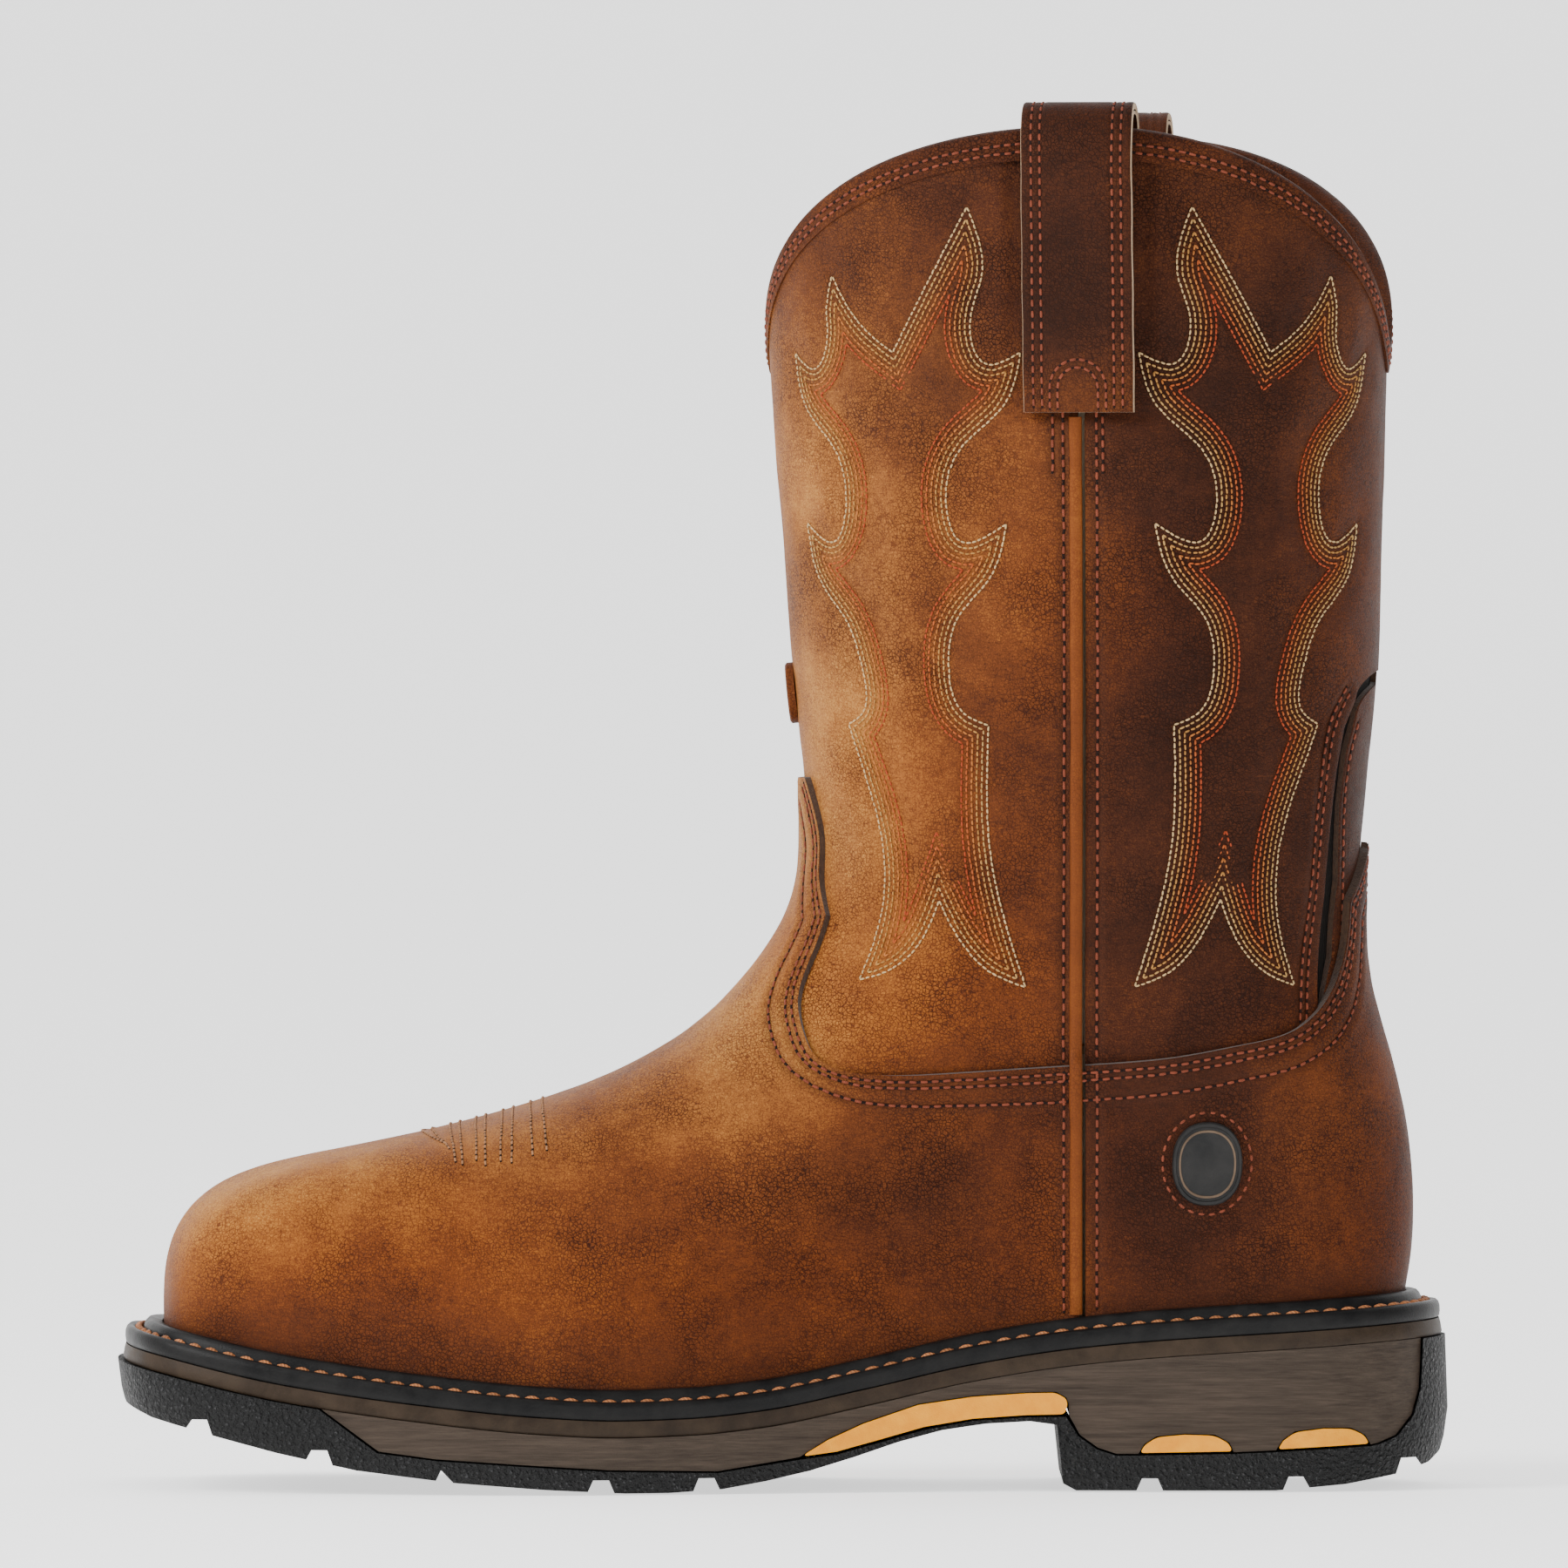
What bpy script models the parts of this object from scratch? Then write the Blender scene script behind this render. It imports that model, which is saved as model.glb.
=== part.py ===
# Pull-on steel toe work boot (left boot), as an assembly of separate pieces.
# Metres, +Z up. Toe towards -X, heel towards +X, lateral (outer) side towards -Y.
# Origin: centre of the footprint, on the ground.
import math

import bmesh
import bpy
import numpy as np

for old in list(bpy.data.objects):
    bpy.data.objects.remove(old, do_unlink=True)

MM = 0.001

# ---------------------------------------------------------------- driving dimensions (mm)
BOOT_LENGTH = 305.4          # outsole, toe to heel
TOPLINE_DIP = 260.6          # height of the topline at front and back
TOPLINE_PEAK = 308.8         # height of the topline at the side seams
SHAFT_TWIST = -7.0           # degrees the shaft is turned at the top
TWIST_CENTRE = (67.4, 0.0)
SEAM_X = 67.4                # the side seam stands above the heel breast
SEAM_BACK = 6.0              # how much further back it is at the top of the shaft

T_LEATHER = 1.8              # panel thickness
T_LINING = 1.0
LAYER_GAP = 0.6              # play between layers of the modelled upper
VAMP_OUT, VAMP_IN = 2.5, 0.9            # vamp and heel cover lie over the shaft's lower edge
SHAFT_OUT, SHAFT_IN = 0.0, -1.8
CAP_OUT, CAP_IN = -0.3, -2.1            # steel toe cap and heel stiffener
LINING_OUT, LINING_IN = -4.2, -5.2    # foot and ankle; the lining closes up to the shaft at the top
COLLAR_OUT, COLLAR_IN = -2.4, -3.3

WELT_DROP = 6.8              # from the feather line to the underside of the welt
WELT_EDGE = 4.0              # thickness of the welt at its edge
BAND_T = 3.7                 # upper band of the midsole
STRAP_W = 25.2
STRAP_BOTTOM, STRAP_TOP = 245.4, 315.8

# ---------------------------------------------------------------- small numeric helpers


def pchip(points):
    """Monotone cubic through the points; flat ends."""
    x = np.array([p[0] for p in points], float)
    y = np.array([p[1] for p in points], float)
    h, d = np.diff(x), np.diff(y) / np.diff(x)
    m = np.zeros(len(x))
    for k in range(1, len(x) - 1):
        if d[k - 1] * d[k] > 0:
            w1, w2 = 2 * h[k] + h[k - 1], h[k] + 2 * h[k - 1]
            m[k] = (w1 + w2) / (w1 / d[k - 1] + w2 / d[k])
    m[0], m[-1] = d[0], d[-1]

    def f(q):
        q = np.asarray(q, float)
        k = np.clip(np.searchsorted(x, q) - 1, 0, len(x) - 2)
        t = (q - x[k]) / h[k]
        tc = np.clip(t, 0, 1)
        v = ((1 + 2 * tc) * (1 - tc) ** 2 * y[k] + tc * (1 - tc) ** 2 * h[k] * m[k]
             + tc ** 2 * (3 - 2 * tc) * y[k + 1] + tc ** 2 * (tc - 1) * h[k] * m[k + 1])
        return v + np.where(t < 0, t * h[k] * m[0], 0) + np.where(t > 1, (t - 1) * h[k] * m[-1], 0)

    return f


def natural(x, y):
    """Natural cubic spline through rows of y."""
    x, y = np.asarray(x, float), np.asarray(y, float)
    n, h = len(x), np.diff(x)
    a, b = np.zeros((n, n)), np.zeros((n,) + y.shape[1:])
    a[0, 0] = a[-1, -1] = 1
    for i in range(1, n - 1):
        a[i, i - 1], a[i, i], a[i, i + 1] = h[i - 1], 2 * (h[i - 1] + h[i]), h[i]
        b[i] = 6 * ((y[i + 1] - y[i]) / h[i] - (y[i] - y[i - 1]) / h[i - 1])
    m = np.linalg.solve(a, b)

    def f(q):
        q = np.atleast_1d(np.asarray(q, float))
        k = np.clip(np.searchsorted(x, q) - 1, 0, n - 2)
        hk = h[k]
        ex = (1,) * (y.ndim - 1)
        A = ((x[k + 1] - q) / hk).reshape(-1, *ex)
        B = ((q - x[k]) / hk).reshape(-1, *ex)
        H = (hk ** 2 / 6).reshape(-1, *ex)
        return A * y[k] + B * y[k + 1] + ((A ** 3 - A) * m[k] + (B ** 3 - B) * m[k + 1]) * H

    return f


# ---------------------------------------------------------------- plan outline of the sole
OUTLINE = [(-153, 2), (-151.8, -19), (-146.5, -35), (-133, -45.8), (-110, -52.4), (-80, -56.5), (-50, -57),
           (-20, -51.5), (10, -44), (40, -40), (70, -39.5), (100, -40.3), (124, -37.6), (142, -27.5),
           (150.3, -14), (152.4, 0), (150.3, 14), (142, 27.5), (124, 37.2), (100, 39.5), (70, 37.6),
           (40, 35.2), (10, 37.2), (-20, 45), (-50, 52.6), (-80, 55.6), (-110, 53.6), (-133, 48.3),
           (-146.5, 38.5), (-151.8, 23)]
_pts = np.array(OUTLINE[-6:] + OUTLINE + OUTLINE[:7], float)
_t = np.concatenate([[0], np.cumsum(np.hypot(*np.diff(_pts, axis=0).T))])
_loop = natural(_t, _pts)(np.linspace(_t[6], _t[6 + len(OUTLINE)], 1441))
_tan = np.gradient(_loop, axis=0)
_tan[0] = _tan[-1] = (_loop[1] - _loop[-2])
_tan /= np.hypot(*_tan.T)[:, None]
_nor = np.stack([_tan[:, 1], -_tan[:, 0]], 1)       # outward
if (_nor[0] @ np.array([-1, 0])) < 0:
    _nor = -_nor
_heel = int(np.argmax(_loop[:, 0]))
HALF = {-1: (_loop[:_heel + 1], _nor[:_heel + 1]),
        1: (_loop[_heel:][::-1], _nor[_heel:][::-1])}
centre_y = pchip([(-153, 2), (-110, 0.8), (-50, -2.2), (0, -3.4), (40, -2.5), (80, -0.9), (152, 0)])


def superellipse(phi, c0, pf, pb):
    """(share along the chord, share of the half width) of a closed section, phi 0 front to 1 back."""
    co, si = np.cos(np.pi * phi), np.sin(np.pi * np.clip(phi, 0, 1))
    front = phi <= 0.5
    p = np.where(front, pf, pb)
    c = np.where(front, c0 * (1 - np.abs(co) ** (2 / pf)), c0 + (1 - c0) * np.abs(co) ** (2 / pb))
    return c, np.abs(si) ** (2 / p)


_ph = np.linspace(0, 1, 2001)
_c, _w = superellipse(_ph, 0.736, 2.4, 2.2)
_s = np.concatenate([[0], np.cumsum(np.hypot(np.diff(_c * 285), np.diff(_w * 40)))])
_k5 = 1000
ARC_FRONT = lambda phi: np.interp(phi, _ph[:_k5 + 1], _s[:_k5 + 1] / _s[_k5])
ARC_BACK = lambda phi: np.interp(phi, _ph[_k5:], (_s[_k5:] - _s[_k5]) / (_s[-1] - _s[_k5]))


def outline(phi, side, inset):
    """Point of the plan outline at phi, moved inwards by inset."""
    phi = np.asarray(phi, float)
    p, n = HALF[side]
    arc = np.concatenate([[0], np.cumsum(np.hypot(*np.diff(p, axis=0).T))])
    at = np.interp(SEAM_X, p[len(p) // 8:-len(p) // 8, 0], arc[len(p) // 8:-len(p) // 8])
    a = np.where(phi <= 0.5, ARC_FRONT(phi) * at, at + ARC_BACK(phi) * (arc[-1] - at))
    x, y = np.interp(a, arc, p[:, 0]), np.interp(a, arc, p[:, 1])
    nx, ny = np.interp(a, arc, n[:, 0]), np.interp(a, arc, n[:, 1])
    return x - nx * inset, y - ny * inset


# ---------------------------------------------------------------- side profile of the sole
feather_z = pchip([(-153, 40.0), (-142, 37.4), (-114, 31.2), (-83, 26.8), (-55, 24.0), (-38, 23.2), (-22, 23.6),
                   (-5, 25.2), (18, 29.8), (43, 35.4), (66, 39.0), (85, 40.8), (123, 43.2), (152, 45.2)])
ground_z = pchip([(-154, 24.5), (-150, 19.0), (-144, 16.6), (-129, 12.6), (-115, 9.0), (-97, 5.2), (-75, 2.5),
                  (-54, 0.9), (-36, 0.0), (-20, 0.1), (-10, 1.5), (2, 3.8), (14, 7.2), (26, 11.2), (38, 14.2),
                  (50, 15.6), (62, 16.0)])


def welt_z(x):
    return feather_z(x) - WELT_DROP


def band_z(x):
    return welt_z(x) - BAND_T


# ---------------------------------------------------------------- the upper's surface
# Each row is one loop round the boot: front point, back point, share of the chord at the side seam,
# half width, squareness at front and back, share of the plan outline, share of the sole's curve.
ROWS = [
    # Fx, Fz, Bx, Bz, half width, pf, pb, outline, sag, centre
    (-8.0, 315.0, 143.0, 315.0, 55.0, 2.10, 2.10, 0.0, 0.0, 0.0),
    (-5.4, 285.0, 140.6, 285.0, 54.2, 2.10, 2.10, 0.0, 0.0, 0.0),
    (-3.0, 255.0, 138.4, 255.0, 53.0, 2.10, 2.10, 0.0, 0.0, 0.0),
    (-1.0, 227.0, 137.4, 227.0, 51.2, 2.10, 2.10, 0.0, 0.0, 0.0),
    (0.8, 200.0, 136.9, 200.5, 49.4, 2.10, 2.10, 0.0, 0.0, 0.0),
    (3.0, 176.0, 136.0, 178.0, 47.6, 2.10, 2.10, 0.0, 0.0, 0.0),
    (5.4, 153.5, 133.8, 157.5, 45.8, 2.10, 2.12, 0.0, 0.0, 0.0),
    (3.6, 133.0, 131.8, 139.5, 44.0, 2.10, 2.14, 0.03, 0.0, 0.15),
    (-9.6, 112.6, 131.4, 123.5, 42.4, 2.12, 2.16, 0.08, 0.02, 0.35),
    (-31.0, 96.2, 133.6, 109.0, 41.0, 2.16, 2.18, 0.16, 0.06, 0.6),
    (-62.6, 83.6, 137.6, 95.0, 39.8, 2.20, 2.20, 0.28, 0.12, 0.85),
    (-95.0, 75.8, 140.6, 81.5, 38.6, 2.30, 2.20, 0.44, 0.24, 1.0),
    (-119.8, 70.4, 141.8, 69.5, 37.4, 2.40, 2.20, 0.62, 0.40, 1.0),
    (-133.8, 62.6, 141.9, 59.0, 36.0, 2.50, 2.20, 0.80, 0.60, 1.0),
    (-139.4, 50.8, 141.2, 50.8, 34.0, 2.60, 2.20, 0.94, 0.82, 1.0),
    (-140.0, 37.2, 140.2, 44.3, 31.0, 2.60, 2.20, 1.0, 1.0, 1.0),
    (-139.6, 31.6, 139.8, 38.7, 30.0, 2.60, 2.20, 1.0, 1.0, 1.0),
]
BULGE = {11: 1.03, 12: 1.045, 13: 1.05, 14: 1.04, 15: 1.0, 16: 0.985}
INSET = pchip([(-153, 13.0), (-120, 12.0), (-60, 11.2), (60, 11.4), (120, 11.6), (152, 12.2)])
LAST_ROW = len(ROWS) - 1
FEATHER = 15.0


def seam_x(z):
    """Where the side seams stand before the shaft is turned: further back higher up, so that the turned
    lateral seam is upright."""
    return SEAM_X + SEAM_BACK * smooth((z - 105) / 200)


def control_points(phi, side):
    """The points of every row at each phi, before the column curve and the twist of the shaft."""
    out = np.zeros((LAST_ROW + 1, len(phi), 3))
    xo, yo = np.zeros(len(phi)), np.zeros(len(phi))
    for s in (-1, 1):
        m = side == s
        if m.any():
            x0, _ = outline(phi[m], s, 0.0)
            xo[m], yo[m] = outline(phi[m], s, INSET(x0))
    xt, xh = -140.0, 140.2
    co = (xo - xt) / (xh - xt)
    co_seam = (SEAM_X - xt) / (xh - xt)
    wo = np.abs(yo - centre_y(xo) * (1 - (2 * np.abs(phi - .5)) ** 8))
    wo = np.where((phi < 1e-6) | (phi > 1 - 1e-6), 0, wo)
    for i, (fx, fz, bx, bz, w, pf, pb, share, sag, cen) in enumerate(ROWS):
        c0 = (seam_x((fz + bz) / 2) - fx) / (bx - fx)
        cf, wf = superellipse(phi, c0, pf, pb)
        plan = np.where(phi <= 0.5, co * c0 / co_seam, 1 - (1 - co) * (1 - c0) / (1 - co_seam))
        c = (1 - share) * cf + share * plan
        half = (1 - share) * wf * w + share * wo * BULGE.get(i, 1.0)
        x = fx + c * (bx - fx)
        z = fz + c * (bz - fz) + sag * (sole_sag(x) - (1 - c) * sole_sag(fx) - c * sole_sag(bx))
        out[i, :, 0], out[i, :, 1], out[i, :, 2] = x, side * half + cen * centre_y(x), z
    return out


def surface(phi, r, side):
    """Points of the upper's nominal surface, in mm. phi 0 front to 1 back, r 0 top to 15 feather line."""
    phi = np.atleast_1d(np.asarray(phi, float))
    r = np.broadcast_to(np.atleast_1d(np.asarray(r, float)), phi.shape)
    side = np.broadcast_to(np.asarray(side), phi.shape)
    key, inverse = np.unique(phi + 10.0 * side, return_inverse=True)
    key_side = np.where(key > 5, 1, -1)
    out = control_points(key - 10.0 * key_side, key_side)
    # one cubic along each column
    coef = _basis(np.clip(r, 0, LAST_ROW))
    p = np.zeros((len(phi), 3))
    for k in range(LAST_ROW + 1):
        p += coef[:, k, None] * out[k, inverse]
    turn = np.radians(SHAFT_TWIST) * smooth((p[:, 2] - 105) / 200)
    dx, dy = p[:, 0] - TWIST_CENTRE[0], p[:, 1] - TWIST_CENTRE[1]
    return np.stack([TWIST_CENTRE[0] + dx * np.cos(turn) - dy * np.sin(turn),
                     TWIST_CENTRE[1] + dx * np.sin(turn) + dy * np.cos(turn), p[:, 2]], 1)


def sole_sag(x):
    """How far the feather line hangs below a straight line from toe to heel."""
    xt, xh = -140.0, 140.2
    return feather_z(x) - feather_z(xt) - (feather_z(xh) - feather_z(xt)) * (x - xt) / (xh - xt)


def smooth(t):
    t = np.clip(t, 0, 1)
    return t * t * (3 - 2 * t)


_basis = natural(np.arange(LAST_ROW + 1), np.eye(LAST_ROW + 1))


def normals(phi, r, side):
    """Unit outward normals of the nominal surface."""
    e, d = 2e-3, 2e-2
    phi = np.atleast_1d(np.asarray(phi, float))
    r = np.broadcast_to(np.atleast_1d(np.asarray(r, float)), phi.shape)
    side = np.broadcast_to(np.asarray(side), phi.shape)

    def at(q, rr):
        # step over the centre lines by changing side
        s = np.where((q < 0) | (q > 1), -side, side)
        q = np.where(q < 0, -q, np.where(q > 1, 2 - q, q))
        return surface(q, rr, s)
    dphi = at(phi + e, r) - at(phi - e, r)
    dr = surface(phi, np.clip(r + d, 0, LAST_ROW), side) - surface(phi, np.clip(r - d, 0, LAST_ROW), side)
    n = np.cross(dphi, dr) * side[:, None]
    return n / np.linalg.norm(n, axis=1)[:, None]


def r_at_z(phi, side, z):
    """Row coordinate where a column is at height z (nearest from the top)."""
    phi = np.atleast_1d(np.asarray(phi, float))
    z = np.broadcast_to(np.asarray(z, float), phi.shape)
    rr = np.linspace(0, LAST_ROW, 241)
    out = np.zeros(len(phi))
    for i, (a, zz) in enumerate(zip(phi, z)):
        col = surface(np.full(len(rr), a), rr, side)[:, 2]
        k = int(np.argmax(col <= zz)) if (col <= zz).any() else len(rr) - 1
        if k == 0:
            out[i] = 0
        else:
            t = (col[k - 1] - zz) / max(col[k - 1] - col[k], 1e-9)
            out[i] = rr[k - 1] + t * (rr[k] - rr[k - 1])
    return out


def topline_z(phi):
    """Height of the shaft's top edge: high at the side seams, a rounded V at front and back."""
    s, a = np.sin(np.pi * np.clip(phi, 0, 1)) ** 0.85, 0.09
    return TOPLINE_DIP + (TOPLINE_PEAK - TOPLINE_DIP) * (np.sqrt(s * s + a * a) - a) / (math.sqrt(1 + a * a) - a)


# ---------------------------------------------------------------- pattern lines on the side of the upper
_gp, _gr = np.meshgrid(np.linspace(0, 1, 301), np.linspace(2, 14, 241))
_gp, _gr = _gp.ravel(), _gr.ravel()
_gs = surface(_gp, _gr, -1)
_gn = normals(_gp, _gr, -1)


def on_surface(line, lift):
    """(phi, r) of a line drawn on the lateral side in side view (x, z), on the surface lifted by lift."""
    q = _gs + _gn * lift
    out = []
    for x, z in line:
        k = int(np.argmin((q[:, 0] - x) ** 2 + (q[:, 2] - z) ** 2))
        out.append((_gp[k], _gr[k]))
    return np.array(out)


# top edge of the vamp, tongue tip to side seam, and of the heel cover, side seam to back tip (x, z)
VAMP_LINE = [(3.8, 162.0), (6.6, 152.4), (7.4, 146.0), (7.2, 139.2), (8.8, 131.2), (6.6, 124.5), (3.9, 118.0),
             (2.6, 111.5), (3.8, 105.5), (6.6, 99.8), (12.0, 96.4), (18.7, 95.0), (40.0, 95.0), (67.0, 96.6)]
HEEL_LINE = [(67.0, 96.6), (90.0, 98.6), (106.0, 101.6), (116.6, 104.6), (122.2, 108.8), (127.0, 116.5),
             (129.5, 125.6), (130.2, 134.0), (133.0, 139.6), (135.2, 147.0)]
# rear cut-out of the back panel and edge of the back strip
CUT_LINE = [(121.8, 106.0), (121.8, 113.7), (122.4, 124.2), (123.6, 135.4), (124.6, 148.0), (126.2, 164.2),
            (127.8, 173.4), (130.6, 179.6), (137.0, 186.6)]
STAY_LINE = [(122.6, 106.0), (123.4, 113.6), (125.6, 121.4), (127.0, 138.2), (127.4, 156.5), (128.8, 168.4),
             (131.0, 176.0), (137.0, 183.0)]
_v = on_surface(VAMP_LINE, VAMP_OUT)
_v[0], _v[-1, 0] = (0.0, _v[0, 1]), 0.5
_h = on_surface(HEEL_LINE, VAMP_OUT)
_h[-1, 0], _h[0] = 1.0, (0.5, _v[-1, 1])
_cut = on_surface(CUT_LINE, 0.0)
_stay = on_surface(STAY_LINE, 0.0)
_cut[-1, 0] = 1.0
_stay[-1, 0] = 1.0


def vamp_top(phi):
    return np.interp(phi, _v[:, 0], _v[:, 1])


def heel_top(phi):
    return np.interp(phi, _h[:, 0], _h[:, 1])


R_CUT_TOP, R_CUT_SIDE = _cut[-1, 1], _cut[-2, 1]
R_STAY_TOP, R_STAY_SIDE = _stay[-1, 1], _stay[-2, 1]


def round_top(line, r):
    """Edge of a panel with a round top: straight sides from the line's points, an oval arch above them."""
    r = np.asarray(r, float)
    side = np.interp(r, line[:-1][::-1, 1], line[:-1][::-1, 0])
    t = np.clip((r - line[-1, 1]) / (line[-2, 1] - line[-1, 1]), 0, 1)
    return np.where(r < line[-2, 1], 1 - (1 - line[-2, 0]) * np.sqrt(1 - (1 - t) ** 2), side)


def cut_phi(r):
    return round_top(_cut, r)


def stay_phi(r):
    return round_top(_stay, r)


# ---------------------------------------------------------------- materials
MATERIALS = {
    'oiled_leather': ((0.36, 0.16, 0.07), 0.55, 0.0),
    'strap_leather': ((0.20, 0.10, 0.05), 0.6, 0.0),
    'piping_leather': ((0.46, 0.19, 0.07), 0.5, 0.0),
    'lining': ((0.50, 0.40, 0.28), 0.9, 0.0),
    'black_rubber': ((0.025, 0.025, 0.028), 0.6, 0.0),
    'brown_rubber': ((0.16, 0.125, 0.095), 0.65, 0.0),
    'amber_insert': ((0.90, 0.50, 0.12), 0.45, 0.0),
    'thread': ((0.55, 0.20, 0.08), 0.7, 0.0),
    'steel': ((0.62, 0.62, 0.64), 0.35, 1.0),
    'board': ((0.62, 0.47, 0.30), 0.9, 0.0),
    'cork': ((0.55, 0.38, 0.20), 0.9, 0.0),
    'foam': ((0.10, 0.10, 0.11), 0.85, 0.0),
    'footbed_cloth': ((0.30, 0.24, 0.16), 0.9, 0.0),
    'stiffener': ((0.78, 0.74, 0.66), 0.7, 0.0),
    'elastic': ((0.05, 0.045, 0.04), 0.9, 0.0),
}
_made = {}


def material(name):
    if name not in _made:
        colour, rough, metal = MATERIALS[name]
        m = bpy.data.materials.new(name)
        m.use_nodes = True
        b = m.node_tree.nodes['Principled BSDF']
        b.inputs['Base Color'].default_value = (*colour, 1)
        b.inputs['Roughness'].default_value = rough
        b.inputs['Metallic'].default_value = metal
        _made[name] = m
    return _made[name]


def add(name, verts, faces, mat, cutter=False):
    """An object from points in mm and faces, its normals turned outwards."""
    mesh = bpy.data.meshes.new(name)
    mesh.from_pydata([tuple(float(c) * MM for c in v) for v in verts], [], [tuple(int(i) for i in f) for f in faces])
    bm = bmesh.new()
    bm.from_mesh(mesh)
    bmesh.ops.recalc_face_normals(bm, faces=bm.faces)
    bmesh.ops.triangulate(bm, faces=[f for f in bm.faces if len(f.verts) > 4])
    bm.to_mesh(mesh)
    bm.free()
    mesh.validate()
    ob = bpy.data.objects.new(name, mesh)
    bpy.context.scene.collection.objects.link(ob)
    if cutter:
        ob.hide_render = True
        ob.display_type = 'WIRE'
    else:
        mesh.materials.append(material(mat))
        mesh.shade_smooth()
        mesh.set_sharp_from_angle(angle=math.radians(35))
    return ob


def boolean(ob, cutter, operation):
    m = ob.modifiers.new(operation.lower(), 'BOOLEAN')
    m.operation = operation
    m.object = cutter
    m.solver = 'EXACT'
    return ob


def sheet_solid(name, points, norms, faces, lift_out, lift_in, mat):
    """A sheet of leather or cloth: faces over points, one skin at each lift, and a wall along every open edge."""
    n = len(points)
    lo, li = np.broadcast_to(lift_out, n), np.broadcast_to(lift_in, n)
    verts = np.concatenate([points + norms * lo[:, None], points + norms * li[:, None]])
    edges = {}
    for f in faces:
        for a, b in zip(f, f[1:] + f[:1]):
            edges[(a, b)] = edges.get((a, b), 0) + 1
    walls = [(b, a, a + n, b + n) for (a, b) in edges if (b, a) not in edges]
    all_faces = [tuple(f) for f in faces] + [tuple(i + n for i in f[::-1]) for f in faces] + walls
    return add(name, verts, all_faces, mat)


def grid_sheet(columns, rows_of, rows):
    """Points, normals and quads of a grid: columns is a list of (side, phi or a function of the row), top to bottom."""
    pts, nrm, faces = [], [], []
    for side, phi in columns:
        r = rows_of(side, phi, rows)
        p = np.full(rows, phi, float)
        pts.append(surface(p, r, side))
        nrm.append(normals(p, r, side))
    for c in range(len(columns) - 1):
        for k in range(rows - 1):
            a, b = c * rows + k, (c + 1) * rows + k
            faces.append([a, a + 1, b + 1, b])
    return np.concatenate(pts), np.concatenate(nrm), faces


SEAM_GAP = 0.0035
FRONT_PHI = [0.03, 0.06, 0.09, 0.11, 0.13, 0.155, 0.18, 0.22, 0.255, 0.29, 0.335, 0.385, 0.43, 0.465, 0.5 - SEAM_GAP]
BACK_PHI = [0.5 + SEAM_GAP, 0.53, 0.575, 0.63, 0.685, 0.73, 0.775, 0.82, 0.86, 0.90, 0.935, 0.97]
FRONT_COLUMNS = [(1, p) for p in FRONT_PHI[::-1]] + [(-1, 0.0)] + [(-1, p) for p in FRONT_PHI]
BACK_COLUMNS = [(-1, p) for p in BACK_PHI] + [(1, 1.0)] + [(1, p) for p in BACK_PHI[::-1]]
_rd = np.linspace(0, LAST_ROW, 401)
_density = 1 + 1.6 * np.exp(-((_rd - 8.0) / 1.8) ** 2) + 1.3 * np.exp(-((_rd - 13.3) / 1.6) ** 2)
_dense = np.concatenate([[0], np.cumsum((_density[1:] + _density[:-1]) / 2 * np.diff(_rd))])


def between(top, bottom):
    def rows_of(side, phi, rows):
        # rows lie closer together where the surface bends
        a, b = np.interp([np.ravel(top(phi, side))[0], np.ravel(bottom(phi, side))[0]], _rd, _dense)
        return np.interp(np.linspace(a, b, rows), _dense, _rd)
    return rows_of


def top_r(phi, side, drop=0.0):
    return r_at_z(phi, side, topline_z(phi) - drop)


OVERLAP = 0.38      # rows the shaft's lower edge runs under the vamp and the heel cover
UPPER_END = 15.8

def lining_lifts(points):
    t = smooth((points[:, 2] - 195.0) / 50.0)
    return LINING_OUT + (COLLAR_OUT - LINING_OUT) * t, LINING_IN + (COLLAR_IN - LINING_IN) * t


# ---------------------------------------------------------------- shaft
pts, nrm, faces = grid_sheet(FRONT_COLUMNS, between(lambda p, s: top_r(p, s), lambda p, s: vamp_top(p) + OVERLAP), 10)
sheet_solid('shaft_front', pts, nrm, faces, SHAFT_OUT, SHAFT_IN, 'oiled_leather')
pts, nrm, faces = grid_sheet(FRONT_COLUMNS, between(lambda p, s: top_r(p, s), lambda p, s: vamp_top(p) - 0.3), 9)
sheet_solid('shaft_lining_front', pts, nrm, faces, *lining_lifts(pts), 'lining')
pts, nrm, faces = grid_sheet(BACK_COLUMNS, between(lambda p, s: top_r(p, s), lambda p, s: heel_top(p) - 0.3), 9)
sheet_solid('shaft_lining_back', pts, nrm, faces, *lining_lifts(pts), 'lining')

# back panel: the columns lean forwards to the rear cut-out
COLS, ROWS_UP, ROWS_DOWN = len(BACK_PHI) + 1, 5, 9


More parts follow.
